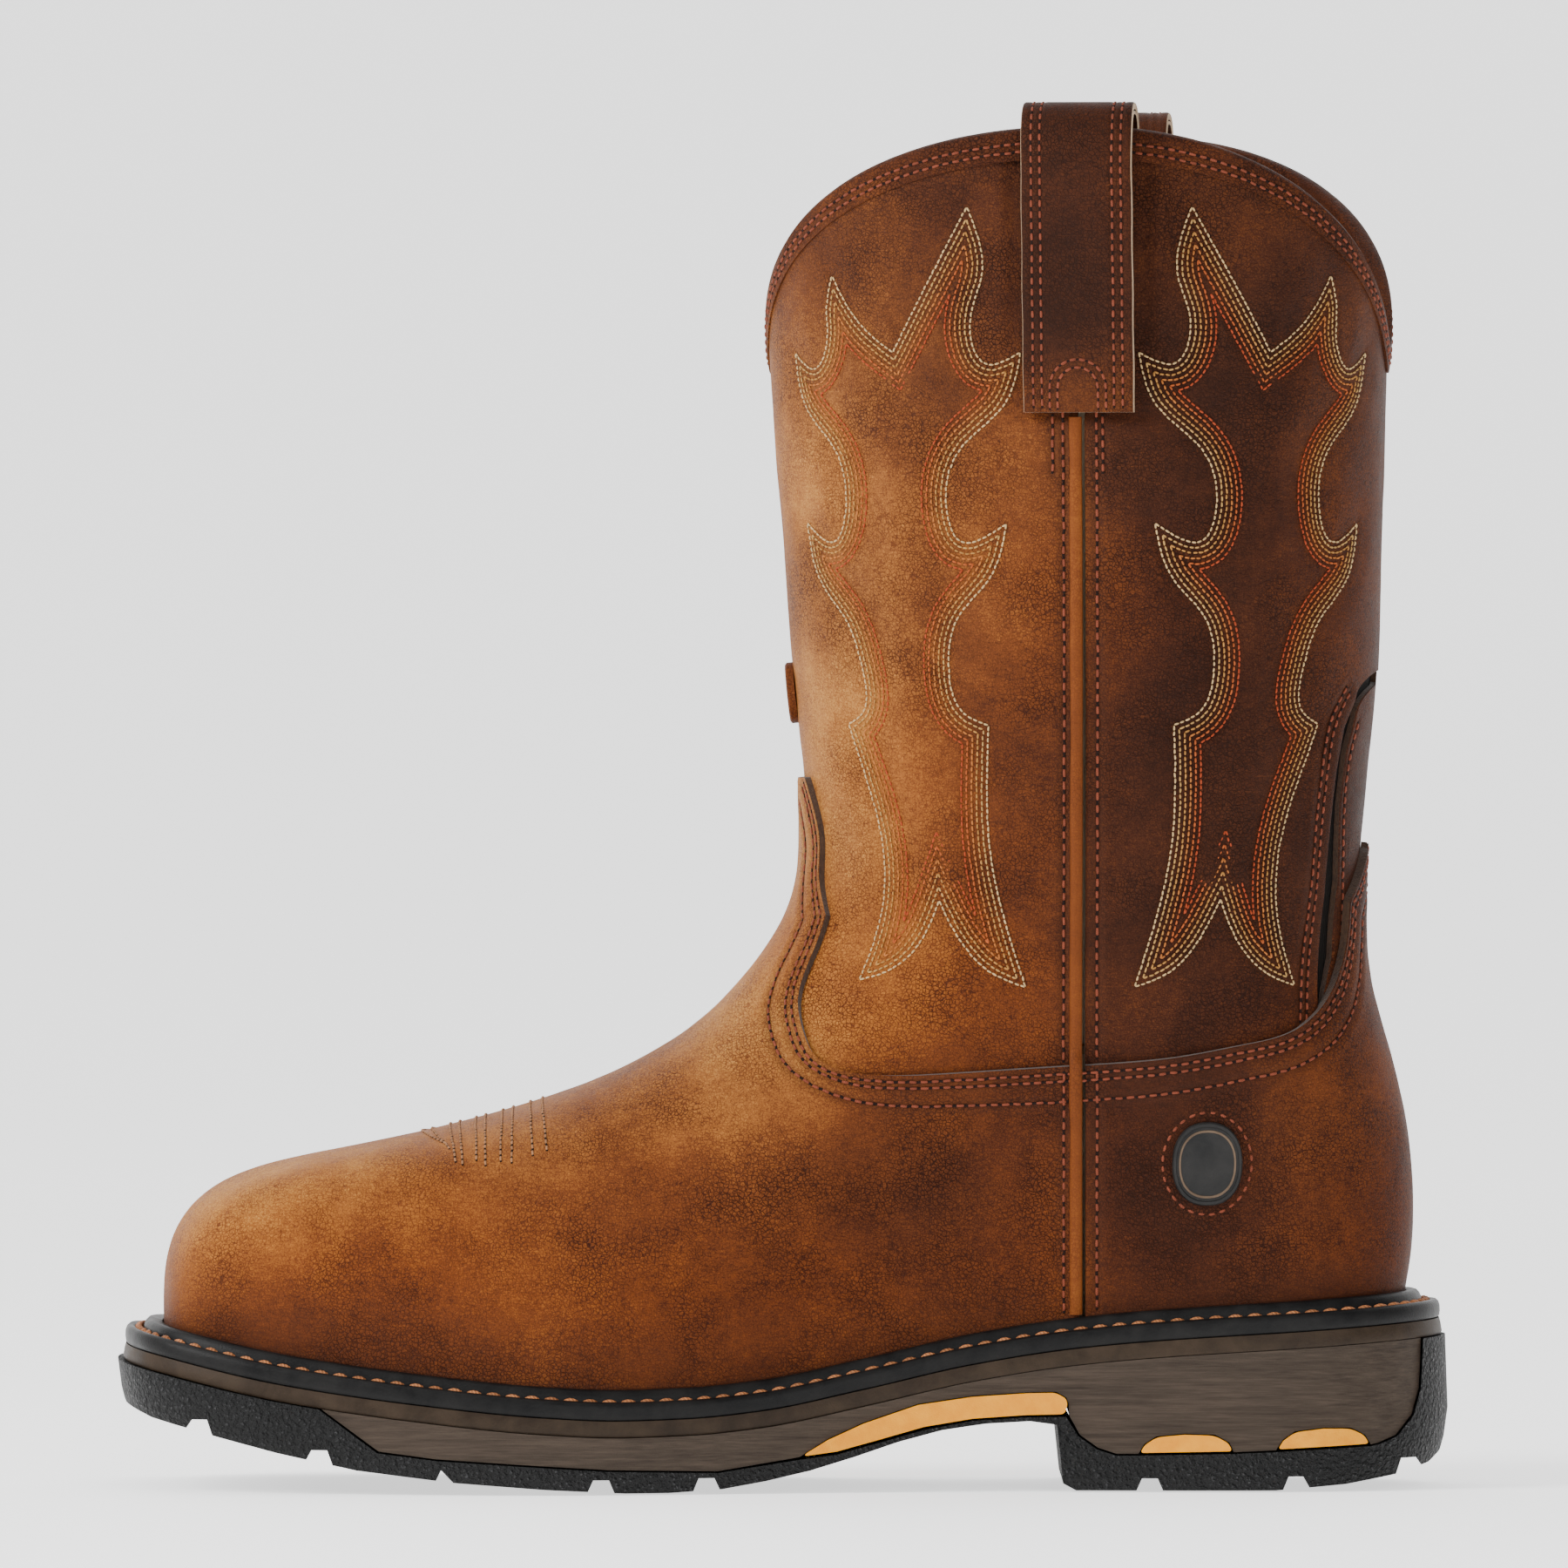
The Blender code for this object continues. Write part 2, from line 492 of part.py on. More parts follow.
def back_panel():
    pts, nrm, faces, index = [], [], [], {}
    start = 0.5 + SEAM_GAP
    t = (np.array(BACK_PHI + [1.0]) - start) / (1 - start)
    for side in (-1, 1):
        for j, tj in enumerate(t):
            phi_up = start + tj * (1 - start)
            a = float(top_r(phi_up, side)[0])
            up = np.linspace(a, R_CUT_TOP, ROWS_UP)
            # rows below the top of the cut-out end at the heel cover's edge
            lo = float(heel_top(start + tj * (_cut[1, 0] - start))) + OVERLAP
            arch = R_CUT_TOP + (R_CUT_SIDE - R_CUT_TOP) * (1 - np.cos(np.radians([25, 50, 70, 90])))
            down = np.concatenate([arch, R_CUT_SIDE + (lo - R_CUT_SIDE) * np.linspace(0, 1, ROWS_DOWN - 3)[1:]])
            for k, r in enumerate(np.concatenate([up, down])):
                phi = start + tj * (float(cut_phi(r)) - start)
                if tj == 1 and k < ROWS_UP and side == 1:
                    index[(side, j, k)] = index[(-1, j, k)]
                    continue
                index[(side, j, k)] = len(pts)
                pts.append((phi, r, side))
    q = np.array(pts)
    p = surface(q[:, 0], q[:, 1], q[:, 2].astype(int))
    n = normals(q[:, 0], q[:, 1], q[:, 2].astype(int))
    for side in (-1, 1):
        for j in range(COLS - 1):
            for k in range(ROWS_UP + ROWS_DOWN - 1):
                f = [index[(side, j, k)], index[(side, j, k + 1)], index[(side, j + 1, k + 1)], index[(side, j + 1, k)]]
                faces.append(f if side == -1 else f[::-1])
    return p, n, faces


pts, nrm, faces = back_panel()
sheet_solid('shaft_back', pts, nrm, faces, SHAFT_OUT, SHAFT_IN, 'oiled_leather')


def rear_strip(edge_phi, rr, cols):
    """A strip over the back centre line, bounded on both sides by edge_phi(r)."""
    pts, faces, rows = [], [], len(rr)
    for r in rr:
        e = float(edge_phi(r))
        for t in np.linspace(-1, 1, cols):
            phi = 1 - abs(t) * (1 - e)
            pts.append((phi, r, -1 if t <= 0 else 1))
    q = np.array(pts)
    for k in range(rows - 1):
        for j in range(cols - 1):
            a = k * cols + j
            faces.append([a, a + cols, a + cols + 1, a + 1])
    s = q[:, 2].astype(int)
    return surface(q[:, 0], q[:, 1], s), normals(q[:, 0], q[:, 1], s), faces


r_low = float(heel_top(1.0))
stay_rows = np.concatenate([R_STAY_TOP + (R_STAY_SIDE - R_STAY_TOP) * np.array([0.04, 0.15, 0.45, 1.0]),
                            np.linspace(R_STAY_SIDE, r_low + 1.6, 8)[1:]])
pts, nrm, faces = rear_strip(lambda r: float(stay_phi(r)), stay_rows, 11)
sheet_solid('backstay', pts, nrm, faces, SHAFT_OUT, SHAFT_IN, 'oiled_leather')
gore_rows = np.concatenate([[R_CUT_TOP - 0.25, R_CUT_TOP + 0.05], np.linspace(R_CUT_SIDE, r_low + 1.5, 9)])
pts, nrm, faces = rear_strip(lambda r: min(float(cut_phi(r)), 0.90) - 0.03, gore_rows, 13)
sheet_solid('elastic_gore', pts, nrm, faces, -2.5, -3.0, 'elastic')

# ---------------------------------------------------------------- vamp, heel cover and their linings
pts, nrm, faces = grid_sheet(FRONT_COLUMNS, between(lambda p, s: vamp_top(p), lambda p, s: UPPER_END), 13)
sheet_solid('vamp', pts, nrm, faces, VAMP_OUT, VAMP_IN, 'oiled_leather')
pts, nrm, faces = grid_sheet(FRONT_COLUMNS, between(lambda p, s: vamp_top(p) - 0.1, lambda p, s: UPPER_END), 11)
sheet_solid('vamp_lining', pts, nrm, faces, LINING_OUT, LINING_IN, 'lining')
pts, nrm, faces = grid_sheet(BACK_COLUMNS, between(lambda p, s: heel_top(p), lambda p, s: UPPER_END), 9)
sheet_solid('heel_cover', pts, nrm, faces, VAMP_OUT, VAMP_IN, 'oiled_leather')
pts, nrm, faces = grid_sheet(BACK_COLUMNS, between(lambda p, s: heel_top(p) - 0.1, lambda p, s: UPPER_END), 8)
sheet_solid('heel_lining', pts, nrm, faces, LINING_OUT, LINING_IN, 'lining')


def r_at_x(phi, side, x):
    """Row coordinate where a front column passes x on its way to the toe."""
    rr = np.linspace(7, 15.5, 221)
    q = surface(np.full(len(rr), phi), rr, side)[:, 0]
    return float(np.interp(-x, -q[np.argmax(q):], rr[np.argmax(q):]))


# steel toe cap: a shell over the toe, and the soft strip behind its edge
CAP_X, STRIP_X = -90.0, -81.5
CAP_PHI = FRONT_PHI[:10]
cap_cols = [(1, p) for p in CAP_PHI[::-1]] + [(-1, 0.0)] + [(-1, p) for p in CAP_PHI]
pts, nrm, faces = grid_sheet(cap_cols, between(lambda p, s: r_at_x(p, s, CAP_X), lambda p, s: 15.5), 8)
sheet_solid('steel_toe_cap', pts, nrm, faces, CAP_OUT, CAP_IN, 'steel')
pts, nrm, faces = grid_sheet(cap_cols, between(lambda p, s: r_at_x(p, s, STRIP_X), lambda p, s: r_at_x(p, s, CAP_X + 0.8)), 3)
sheet_solid('toe_cap_edge_strip', pts, nrm, faces, CAP_OUT - 0.1, CAP_IN + 0.2, 'foam')
stiff_cols = [(-1, p) for p in BACK_PHI[3:]] + [(1, 1.0)] + [(1, p) for p in BACK_PHI[3:][::-1]]
pts, nrm, faces = grid_sheet(stiff_cols, between(lambda p, s: 10.9, lambda p, s: 15.5), 6)
sheet_solid('heel_stiffener', pts, nrm, faces, CAP_OUT, CAP_IN, 'stiffener')


# ---------------------------------------------------------------- strips swept along a path
def swept(name, rings, mat, closed=False, cutter=False):
    """A solid through a list of rings of points."""
    n, m = len(rings), len(rings[0])
    verts = np.concatenate(rings)
    faces = []
    for i in range(n if closed else n - 1):
        j = (i + 1) % n
        for k in range(m):
            l = (k + 1) % m
            faces.append((i * m + k, i * m + l, j * m + l, j * m + k))
    if not closed:
        faces += [tuple(range(m)), tuple(range((n - 1) * m, n * m))[::-1]]
    return add(name, verts, faces, mat, cutter)


def piping(side):
    """The seam bead: over the shaft's butt joint, stepping up over the vamp and heel cover."""
    r_top = float(r_at_z(0.5, side, STRAP_BOTTOM - 1.5)[0])
    r_edge = float(vamp_top(0.5))
    rr = np.concatenate([np.linspace(r_top, r_edge - 0.5, 9), [r_edge - 0.15], np.linspace(r_edge + 0.2, 14.84, 8)])
    rings = []
    for r in rr:
        step = float(smooth((r - r_edge + 0.5) / 0.35)) * VAMP_OUT
        c = surface([0.5], [r], side)[0]
        n = normals([0.5], [r], side)[0]
        d = surface([0.5], [r + 0.05], side)[0] - surface([0.5], [r - 0.05], side)[0]
        t = np.cross(n, d)
        t /= np.linalg.norm(t)
        ring = [(-2.6, 0.5), (2.6, 0.5), (2.4, 1.3), (1.2, 2.1), (-1.2, 2.1), (-2.4, 1.3)]
        rings.append(np.array([c + t * a + n * (b + step) for a, b in ring]))
    return rings


swept('side_piping_lateral', piping(-1), 'piping_leather')
swept('side_piping_medial', piping(1), 'piping_leather')


def binding():
    """The folded edge round the topline: a U over the panel and the lining."""
    rings = []
    phis = sorted([0.0, 1.0] + FRONT_PHI + BACK_PHI[1:])
    stations = [(-1, p) for p in phis] + [(1, p) for p in phis[::-1][1:-1]]
    o, i = 0.45, COLLAR_IN - 0.45
    up = np.array([0, 0, 1.0])
    for side, phi in stations:
        r0 = float(top_r(phi, side)[0])
        r1 = float(top_r(phi, side, 5.5)[0])
        a, b = surface([phi], [r0], side)[0], surface([phi], [r1], side)[0]
        n = normals([phi], [r0], side)[0]
        rings.append(np.array([b + n * o, b + n * (o + 0.7), a + n * (o + 0.7) + up * 0.4, a + n * (i / 2 + 1.1) + up * 1.5,
                               a + n * (i / 2 - 0.9) + up * 1.5, a + n * (i - 0.7) + up * 0.4, b + n * (i - 0.7), b + n * i,
                               a + n * i + up * 0.6, a + n * o + up * 0.6]))
    return rings


swept('collar_binding', binding(), 'oiled_leather', closed=True)


# ---------------------------------------------------------------- pull straps
def strap_frame(side):
    c0, c1 = surface([0.5, 0.5], [r_at_z(0.5, side, STRAP_BOTTOM)[0], r_at_z(0.5, side, 309.0)[0]], side)
    n = normals([0.5], [r_at_z(0.5, side, 280.0)[0]], side)[0]
    n[2] = 0
    n /= np.linalg.norm(n)
    t = np.array([n[1], -n[0], 0.0]) * side
    return c0, c1, n, t


STRAP_T, STRAP_BACK_T = 1.5, 1.0
STRAP_GAP, SLOPE_OUT, SLOPE_IN = 0.8, 0.075, 0.085
ARCH_Z = 302.0


def strap(side, a, b):
    """The strap's layer between distances a and b from its inner face."""
    c0, c1, n, t = strap_frame(side)
    lean = (c1 - c0) @ n / (c1[2] - c0[2])
    path = []

    def inner(z):      # inner face of the outer leg, and of the inner leg, measured along n from c0
        base = (z - c0[2]) * lean
        go = base + STRAP_GAP + SLOPE_OUT * (z - STRAP_BOTTOM)
        gi = base + COLLAR_IN - STRAP_GAP - 0.4 - SLOPE_IN * (z - STRAP_BOTTOM)
        return go, gi
    for z in np.linspace(STRAP_BOTTOM, ARCH_Z, 5):
        path.append((inner(z)[0], z, 1.0, 0.0))
    o, i = inner(ARCH_Z)
    mid, half, rise = (o + i) / 2, (o - i) / 2, STRAP_TOP - STRAP_T - STRAP_BACK_T - 0.3 - ARCH_Z
    for ang in np.linspace(0, math.pi, 13)[1:-1]:
        ca, sa = math.cos(ang), math.sin(ang)
        px = mid + half * math.copysign(abs(ca) ** (2 / 3), ca)
        pz = ARCH_Z + rise * abs(sa) ** (2 / 3)
        nx, nz = math.copysign(abs(ca) ** (4 / 3), ca) / half, abs(sa) ** (4 / 3) / rise
        l = math.hypot(nx, nz)
        path.append((px, pz, nx / l, nz / l))
    for z in np.linspace(ARCH_Z, STRAP_BOTTOM, 5):
        path.append((inner(z)[1], z, -1.0, 0.0))
    rings = []
    for g, z, ox, oz in path:
        ring = []
        for w, d in ([(w, a) for w in np.linspace(-STRAP_W / 2, STRAP_W / 2, 4)]
                     + [(w, b) for w in np.linspace(STRAP_W / 2, -STRAP_W / 2, 4)]):
            p = c0 + n * (g + ox * d - w * w / 175.0) + t * w
            p[2] = z + oz * d
            ring.append(p)
        rings.append(np.array(ring))
    return rings


for side, word in ((-1, 'lateral'), (1, 'medial')):
    swept('pull_strap_' + word, strap(side, STRAP_BACK_T + 0.3, STRAP_BACK_T + 0.3 + STRAP_T), 'strap_leather')
    swept('pull_strap_backing_' + word, strap(side, 0.0, STRAP_BACK_T), 'strap_leather')

# ---------------------------------------------------------------- sole
PHI_RING = np.linspace(0, 1, 37)


def ring_points(inset, z_of_x, phis=PHI_RING):
    """A closed ring following the plan outline, lateral side then medial side."""
    pts = []
    for side, ph in ((-1, phis), (1, phis[::-1][1:-1])):
        x0, _ = outline(ph, side, 0.0)
        d = inset(x0) if callable(inset) else inset
        x, y = outline(ph, side, d)
        pts.append(np.stack([x, y, np.broadcast_to(z_of_x(x), x.shape)], 1))
    return np.concatenate(pts)


def plate(name, levels, mat, cutter=False, phis=PHI_RING):
    """A closed solid through rings of the plan outline, (inset, height of x) from bottom to top, with ruled top and bottom."""
    rings = [ring_points(i, z, phis) for i, z in levels]
    m, verts, faces = len(rings[0]), np.concatenate(rings), []
    for k in range(len(rings) - 1):
        for i in range(m):
            j = (i + 1) % m
            faces.append((k * m + i, k * m + j, (k + 1) * m + j, (k + 1) * m + i))
    n = len(phis)
    for base, flip in ((0, True), ((len(rings) - 1) * m, False)):
        for i in range(n - 1):
            a, b = i, i + 1
            c, d = (m - b) % m, (m - a) % m
            f = [base + a, base + b, base + c, base + d]
            f = [v for k, v in enumerate(f) if v not in f[:k]]
            faces.append(tuple(f[::-1] if flip else f))
    return add(name, verts, faces, mat, cutter)


def profile(name, outline_xz, mat, half_width=75.0):
    """A side profile (x, z) extruded across the boot."""
    n = len(outline_xz)
    verts = [(x, -half_width, z) for x, z in outline_xz] + [(x, half_width, z) for x, z in outline_xz]
    faces = [tuple(range(n)), tuple(range(n, 2 * n))[::-1]] + [(i, (i + 1) % n, (i + 1) % n + n, i + n) for i in range(n)]
    return add(name, verts, faces, mat)


flare_z = pchip([(-154, 22.5), (-150, 18.0), (-144, 15.6), (-129, 11.6), (-115, 8.0), (-97, 4.4), (-75, 1.8),
                 (-54, 0.2), (-36, -0.4), (110, -0.4), (128, 1.0), (140, 3.0), (147, 5.6), (153, 9.0)])


def wall(inset_low, inset_mid, inset_top):
    return [(inset_low + 2.0, lambda x: flare_z(x) - 3.0), (inset_low, lambda x: flare_z(x) + 3.0),
            (inset_mid, lambda x: flare_z(x) + 9.0), (inset_top, lambda x: flare_z(x) + 26.0),
            (inset_top, lambda x: flare_z(x) + 60.0)]


black_wall = plate('outline_black', wall(0.9, 0.0, 0.6), None, cutter=True)
brown_wall = plate('outline_brown', wall(1.4, 0.7, 1.4), None, cutter=True)
amber_wall = plate('outline_amber', wall(0.9, 0.4, 1.2), None, cutter=True)

G = 0.3
SIDE_LOW = [(-105.0, None), (-92.0, 9.6), (-79.0, 7.9), (-60.6, 6.7), (-40.0, 5.4), (-15.0, 4.9), (3.5, 7.7)]
ARCH_TOP = [(3.5, 7.9), (9.8, 11.9), (18.0, 15.6), (30.5, 19.8), (43.0, 21.6), (55.4, 22.4), (62.0, 22.5), (64.3, 21.2),
            (64.8, 19.8), (64.1, 17.2)]
ARCH_LOW = [(64.1, 17.2), (55.0, 17.0), (43.0, 16.2), (32.0, 14.4), (22.0, 11.6), (12.0, 8.9), (3.5, 7.7)]
HEEL_LOW = [(65.0, 17.0), (67.4, 12.7), (71.5, 9.8), (75.7, 8.4), (80.7, 8.4)]
WINDOW_1 = [(80.7, 8.4), (82.0, 10.6), (84.8, 12.4), (91.0, 13.0), (98.1, 12.8), (101.4, 11.0), (102.4, 8.8)]
WINDOW_2 = [(112.0, 9.2), (113.6, 11.6), (116.3, 13.5), (123.0, 14.3), (129.2, 14.2), (132.4, 12.6), (133.8, 10.3)]
HEEL_BACK = [(135.4, 10.6), (139.6, 12.3), (143.3, 16.8), (145.0, 22.6), (145.4, 28.0), (145.6, 36.0)]


def along(z_of_x, x0, x1, n, lift=0.0):
    return [(float(x), float(z_of_x(x)) + lift) for x in np.linspace(x0, x1, n)]


def shrink(points, d):
    """A closed polygon moved inwards by d."""
    p = np.array(points, float)
    e = np.roll(p, -1, 0) - p
    if 0.5 * np.sum(p[:, 0] * np.roll(p[:, 1], -1) - np.roll(p[:, 0], -1) * p[:, 1]) < 0:
        d = -d
    n = np.stack([-e[:, 1], e[:, 0]], 1) / np.hypot(*e.T)[:, None]
    m = n + np.roll(n, 1, 0)
    return [tuple(v) for v in p + m / np.maximum(np.einsum('ij,ij->i', m, m), 0.5)[:, None] * 2 * d]


side_top = along(band_z, -105.0, 145.6, 44, -0.55)
side_poly = (side_top + HEEL_BACK[::-1][1:] + WINDOW_2[::-1] + WINDOW_1[::-1] + HEEL_LOW[::-1][1:]
             + ARCH_TOP[::-1][1:] + SIDE_LOW[1:][::-1][1:])
side_poly[-1] = (-92.0, 9.6)
sidewall = boolean(profile('midsole_sidewall', side_poly, 'brown_rubber'), brown_wall, 'INTERSECT')
arch = boolean(profile('arch_insert', shrink(ARCH_TOP[:-1] + ARCH_LOW[:-1], 0.35), 'amber_insert'), amber_wall, 'INTERSECT')
boolean(profile('heel_insert_front', shrink(WINDOW_1, 0.3), 'amber_insert'), amber_wall, 'INTERSECT')
boolean(profile('heel_insert_rear', shrink(WINDOW_2, 0.3), 'amber_insert'), amber_wall, 'INTERSECT')


def lug_bottom():
    """Underside from heel to toe, with the grooves between the lugs."""
    ground = [(152.9, 13.0), (151.5, 8.8), (147.5, 5.6), (140, 3.4), (128, 1.3), (112, 0.0), (66.5, 0.0), (63.6, 1.6), (62.2, 15.0)]
    base = [(x, float(ground_z(x))) for x in (56, 46, 36, 26, 16, 6, -4, -14, -26, -36, -54, -75, -97, -115, -129, -144, -150.5, -154)]
    pts = ground + base
    grooves = [142.7, 116.7, 83.3, -17.6, -41.5, -76.0, -105.5, -133.0]
    out = []
    for (xa, za), (xb, zb) in zip(pts, pts[1:]):
        out.append((xa, za))
        for g in grooves:
            if xb < g <= xa:
                f = lambda x: za + (zb - za) * (x - xa) / (xb - xa)
                out += [(g + 3.0, f(g + 3.0)), (g + 1.8, f(g) + 2.8), (g - 1.8, f(g) + 2.8), (g - 3.0, f(g - 3.0))]
    out.append(pts[-1])
    clean = [out[0]]
    for p in out[1:]:
        if p[0] < clean[-1][0] - 0.2 or (p[0] <= 63.7 and clean[-1][0] > 62 and p[0] > 55):
            clean.append(p)
    return clean


sole_top = ([(-154.0, float(band_z(-154.0)) - G)] + along(band_z, -150.0, -105.6, 5, -G)
            + [(-92.3, 9.2), (-79.0, 7.5), (-60.6, 6.3), (-40.0, 5.0), (-15.0, 4.5), (3.5, 7.3), (12.0, 8.4), (22.0, 11.1),
               (32.0, 13.9), (43.0, 15.9), (55.0, 16.7), (64.3, 16.8), (67.0, 12.4), (71.3, 9.4), (75.6, 8.0), (80.7, 8.0),
               (102.4, 8.4), (112.0, 8.8), (133.8, 9.9), (135.6, 10.2), (140.0, 12.0), (143.8, 16.6), (145.5, 22.5),
               (145.9, 28.0), (146.1, float(band_z(146.1)) - G), (154.0, float(band_z(154.0)) - G)])
outsole = boolean(profile('outsole', sole_top + lug_bottom(), 'black_rubber'), black_wall, 'INTERSECT')

plate('midsole_band', [(2.0, band_z), (2.0, lambda x: welt_z(x) - G)], 'brown_rubber')

# welt: one strip all the way round, with a stitch groove and a raised bead against the upper
inner = lambda x: INSET(x) - VAMP_OUT - 0.8 - 0.6 * np.exp(-((x - 32.0) / 27.0) ** 2)
WELT = [(2.2, 0.0), (2.2, 3.4), (2.7, 4.0), (4.2, 4.1), (4.5, 3.2), (5.9, 3.2), (6.2, 4.3), (6.9, 6.0), (None, 6.7), (None, 0.0)]
layers = [ring_points(inner if i is None else i, (lambda h: lambda x: welt_z(x) + h)(h)) for i, h in WELT]
swept('welt', [np.array([layer[k] for layer in layers]) for k in range(len(layers[0]))], 'black_rubber', closed=True)
STITCH = [(4.85, 3.9), (5.2, 3.5), (5.55, 3.9), (5.2, 4.4)]
layers = [ring_points(i, (lambda h: lambda x: welt_z(x) + h)(h)) for i, h in STITCH]
swept('welt_stitching', [np.array([layer[k] for layer in layers]) for k in range(len(layers[0]))], 'thread', closed=True)

# inside the sole
filler = plate('bottom_filler', [(lambda x: INSET(x) + 6.6, lambda x: welt_z(x) + 0.3), (lambda x: INSET(x) + 6.6, lambda x: welt_z(x) + 2.4)], 'cork')


def ribbon(name, x0, x1, y, half, low, high, mat, cutter=False, n=14):
    rings = []
    for x in np.linspace(x0, x1, n):
        z = float(welt_z(x))
        rings.append(np.array([(x, y - half, z + low), (x, y + half, z + low), (x, y + half, z + high), (x, y - half, z + high)]))
    return swept(name, rings, mat, cutter=cutter)


slot = ribbon('shank_slot', -30.0, 96.0, -1.5, 8.6, -2.0, 5.0, None, cutter=True)
boolean(filler, slot, 'DIFFERENCE')
ribbon('steel_shank', -29.3, 95.3, -1.5, 8.0, 0.5, 2.0, 'steel')
plate('insole_board', [(lambda x: INSET(x) + 7.3, lambda x: welt_z(x) + 2.8), (lambda x: INSET(x) + 7.3, lambda x: welt_z(x) + 5.0)], 'board')

FOOTBED = lambda extra: (lambda x: INSET(x) + 7.6 + extra)
plate('footbed_foam', [(FOOTBED(0.8), lambda x: welt_z(x) + 5.4), (FOOTBED(0.0), lambda x: welt_z(x) + 6.6),
                       (FOOTBED(0.0), lambda x: welt_z(x) + 8.8)], 'foam')
plate('footbed_cover', [(FOOTBED(0.0), lambda x: welt_z(x) + 9.1), (FOOTBED(0.3), lambda x: welt_z(x) + 10.2)], 'footbed_cloth')

# ---------------------------------------------------------------- badges
def disc(name, phi0, r0, side, radius_x, radius_z, low, high, mat, n=20, power=2.0):
    """A flat badge lying on the curved surface: an oval of points on two lifts."""
    c = surface([phi0], [r0], side)[0]
    nn = normals([phi0], [r0], side)[0]
    up = np.array([0, 0, 1.0]) - nn * nn[2]
    up /= np.linalg.norm(up)
    t = np.cross(nn, up)
    rings = []
    for lift, k in ((low, 1.0), (high - 0.4, 1.0), (high, 0.94)):
        ring = []
        for a in np.linspace(0, 2 * math.pi, n, endpoint=False):
            ca, sa = math.cos(a), math.sin(a)
            u = math.copysign(abs(ca) ** (2 / power), ca) * radius_x * k
            v = math.copysign(abs(sa) ** (2 / power), sa) * radius_z * k
            ring.append(c + t * u + up * v + nn * lift)
        rings.append(np.array(ring))
    return swept(name, rings, mat)


_b = on_surface([(96.4, 74.4)], VAMP_OUT)[0]
disc('heel_badge', _b[0], _b[1], -1, 8.0, 9.6, VAMP_OUT + 0.9, VAMP_OUT + 2.4, 'black_rubber')
_f = float(r_at_z(0.0, -1, 181.5)[0])
disc('front_patch', 0.0, _f, -1, 6.0, 7.0, 0.9, 2.0, 'strap_leather')
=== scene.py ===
"""Looks of the pull-on work boot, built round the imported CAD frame.

The toe points to -x and the heel to +x, z is up, the lateral side faces -y and the medial side +y.
Shapes are worked out in millimetres and turned into metres when a mesh is made.
"""
import math

import bmesh
import bpy
import numpy as np
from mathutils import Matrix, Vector, kdtree


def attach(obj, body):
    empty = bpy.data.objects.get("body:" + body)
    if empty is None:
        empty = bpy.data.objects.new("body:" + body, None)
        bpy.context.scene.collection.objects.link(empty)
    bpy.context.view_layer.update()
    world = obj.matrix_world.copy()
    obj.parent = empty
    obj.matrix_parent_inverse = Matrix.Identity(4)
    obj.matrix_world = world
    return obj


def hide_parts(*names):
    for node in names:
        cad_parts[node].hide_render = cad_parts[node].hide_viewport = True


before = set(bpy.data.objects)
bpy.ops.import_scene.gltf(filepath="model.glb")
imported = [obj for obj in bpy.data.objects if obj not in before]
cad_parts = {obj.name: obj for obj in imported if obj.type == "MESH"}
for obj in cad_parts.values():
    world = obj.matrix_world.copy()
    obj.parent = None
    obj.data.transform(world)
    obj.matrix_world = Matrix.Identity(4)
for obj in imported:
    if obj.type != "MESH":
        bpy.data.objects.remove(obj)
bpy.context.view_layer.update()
FINE = 1.0   # share of the full grid density
MM = 0.001
SIDES = ((-1, 'lateral'), (1, 'medial'))

# ---------------------------------------------------------------- driving dimensions (mm)
TOPLINE_DIP = 260.6          # height of the topline at front and back
TOPLINE_PEAK = 308.8         # height of the topline at the side seams
SHAFT_TWIST = -7.0           # degrees the shaft is turned at the top
TWIST_CENTRE = (67.4, 0.0)
TURN_LOW, TURN_RISE = 105, 200   # height where the twist starts, and how far up it takes
SEAM_X = 67.4                # the side seam stands above the heel breast
SEAM_BACK = 6.0              # how much further back it is at the top of the shaft
TOE_X, HEEL_X = -140.0, 140.2    # front and back of the upper's lower edge

# distances of outer and inner faces from the nominal surface
VAMP_OUT, VAMP_IN = 2.5, 0.9     # vamp and heel cover lie over the shaft's lower edge
SHAFT_OUT, SHAFT_IN = 0.0, -1.8
LINING_OUT, LINING_IN = -4.2, -5.2    # foot and ankle; it closes up to the shaft at the top
COLLAR_OUT, COLLAR_IN = -2.4, -3.3

# how far leather lies below its nominal face, and how deep the stitch rows press into it
SHAFT_DROP, STAY_DROP = 0.30, 0.25
SHAFT_GROOVE, VAMP_GROOVE, FLAME_GROOVE, STAY_GROOVE = 0.32, 0.34, 0.30, 0.30

SEAM_GAP = 0.0035                # half width of the side seam, in phi
GAP_FRONT, GAP_BACK = 0.4, 1.1   # from the seam to the panels' side edges
UPPER_END = 15.85                # row where vamp and heel cover end
SEAM_BOTTOM = 41.0               # lower end of the seam stitching

WELT_DROP = 6.8              # from the feather line to the underside of the welt
BAND_T = 3.7                 # upper band of the midsole
OUTSOLE_GAP = 0.3            # play between outsole and midsole band

STRAP_W = 25.2
STRAP_BOTTOM, STRAP_TOP = 245.4, 315.8
STRAP_T, STRAP_BACK_T = 1.5, 1.0     # strap and its backing
STRAP_PLAY = 0.3                     # between strap and backing
STRAP_GAP, SLOPE_OUT, SLOPE_IN = 0.8, 0.075, 0.085
ARCH_Z = 302.0                       # height where the strap's fold begins
STRAP_ROWS = (-10.2, -8.2, 8.2, 10.2)    # stitch rows, measured across the strap


# ================================================================ numeric helpers
def smooth(share):
    share = np.clip(share, 0, 1)
    return share * share * (3 - 2 * share)


def bell(distance, width):
    return np.exp(-(distance / width) ** 2)


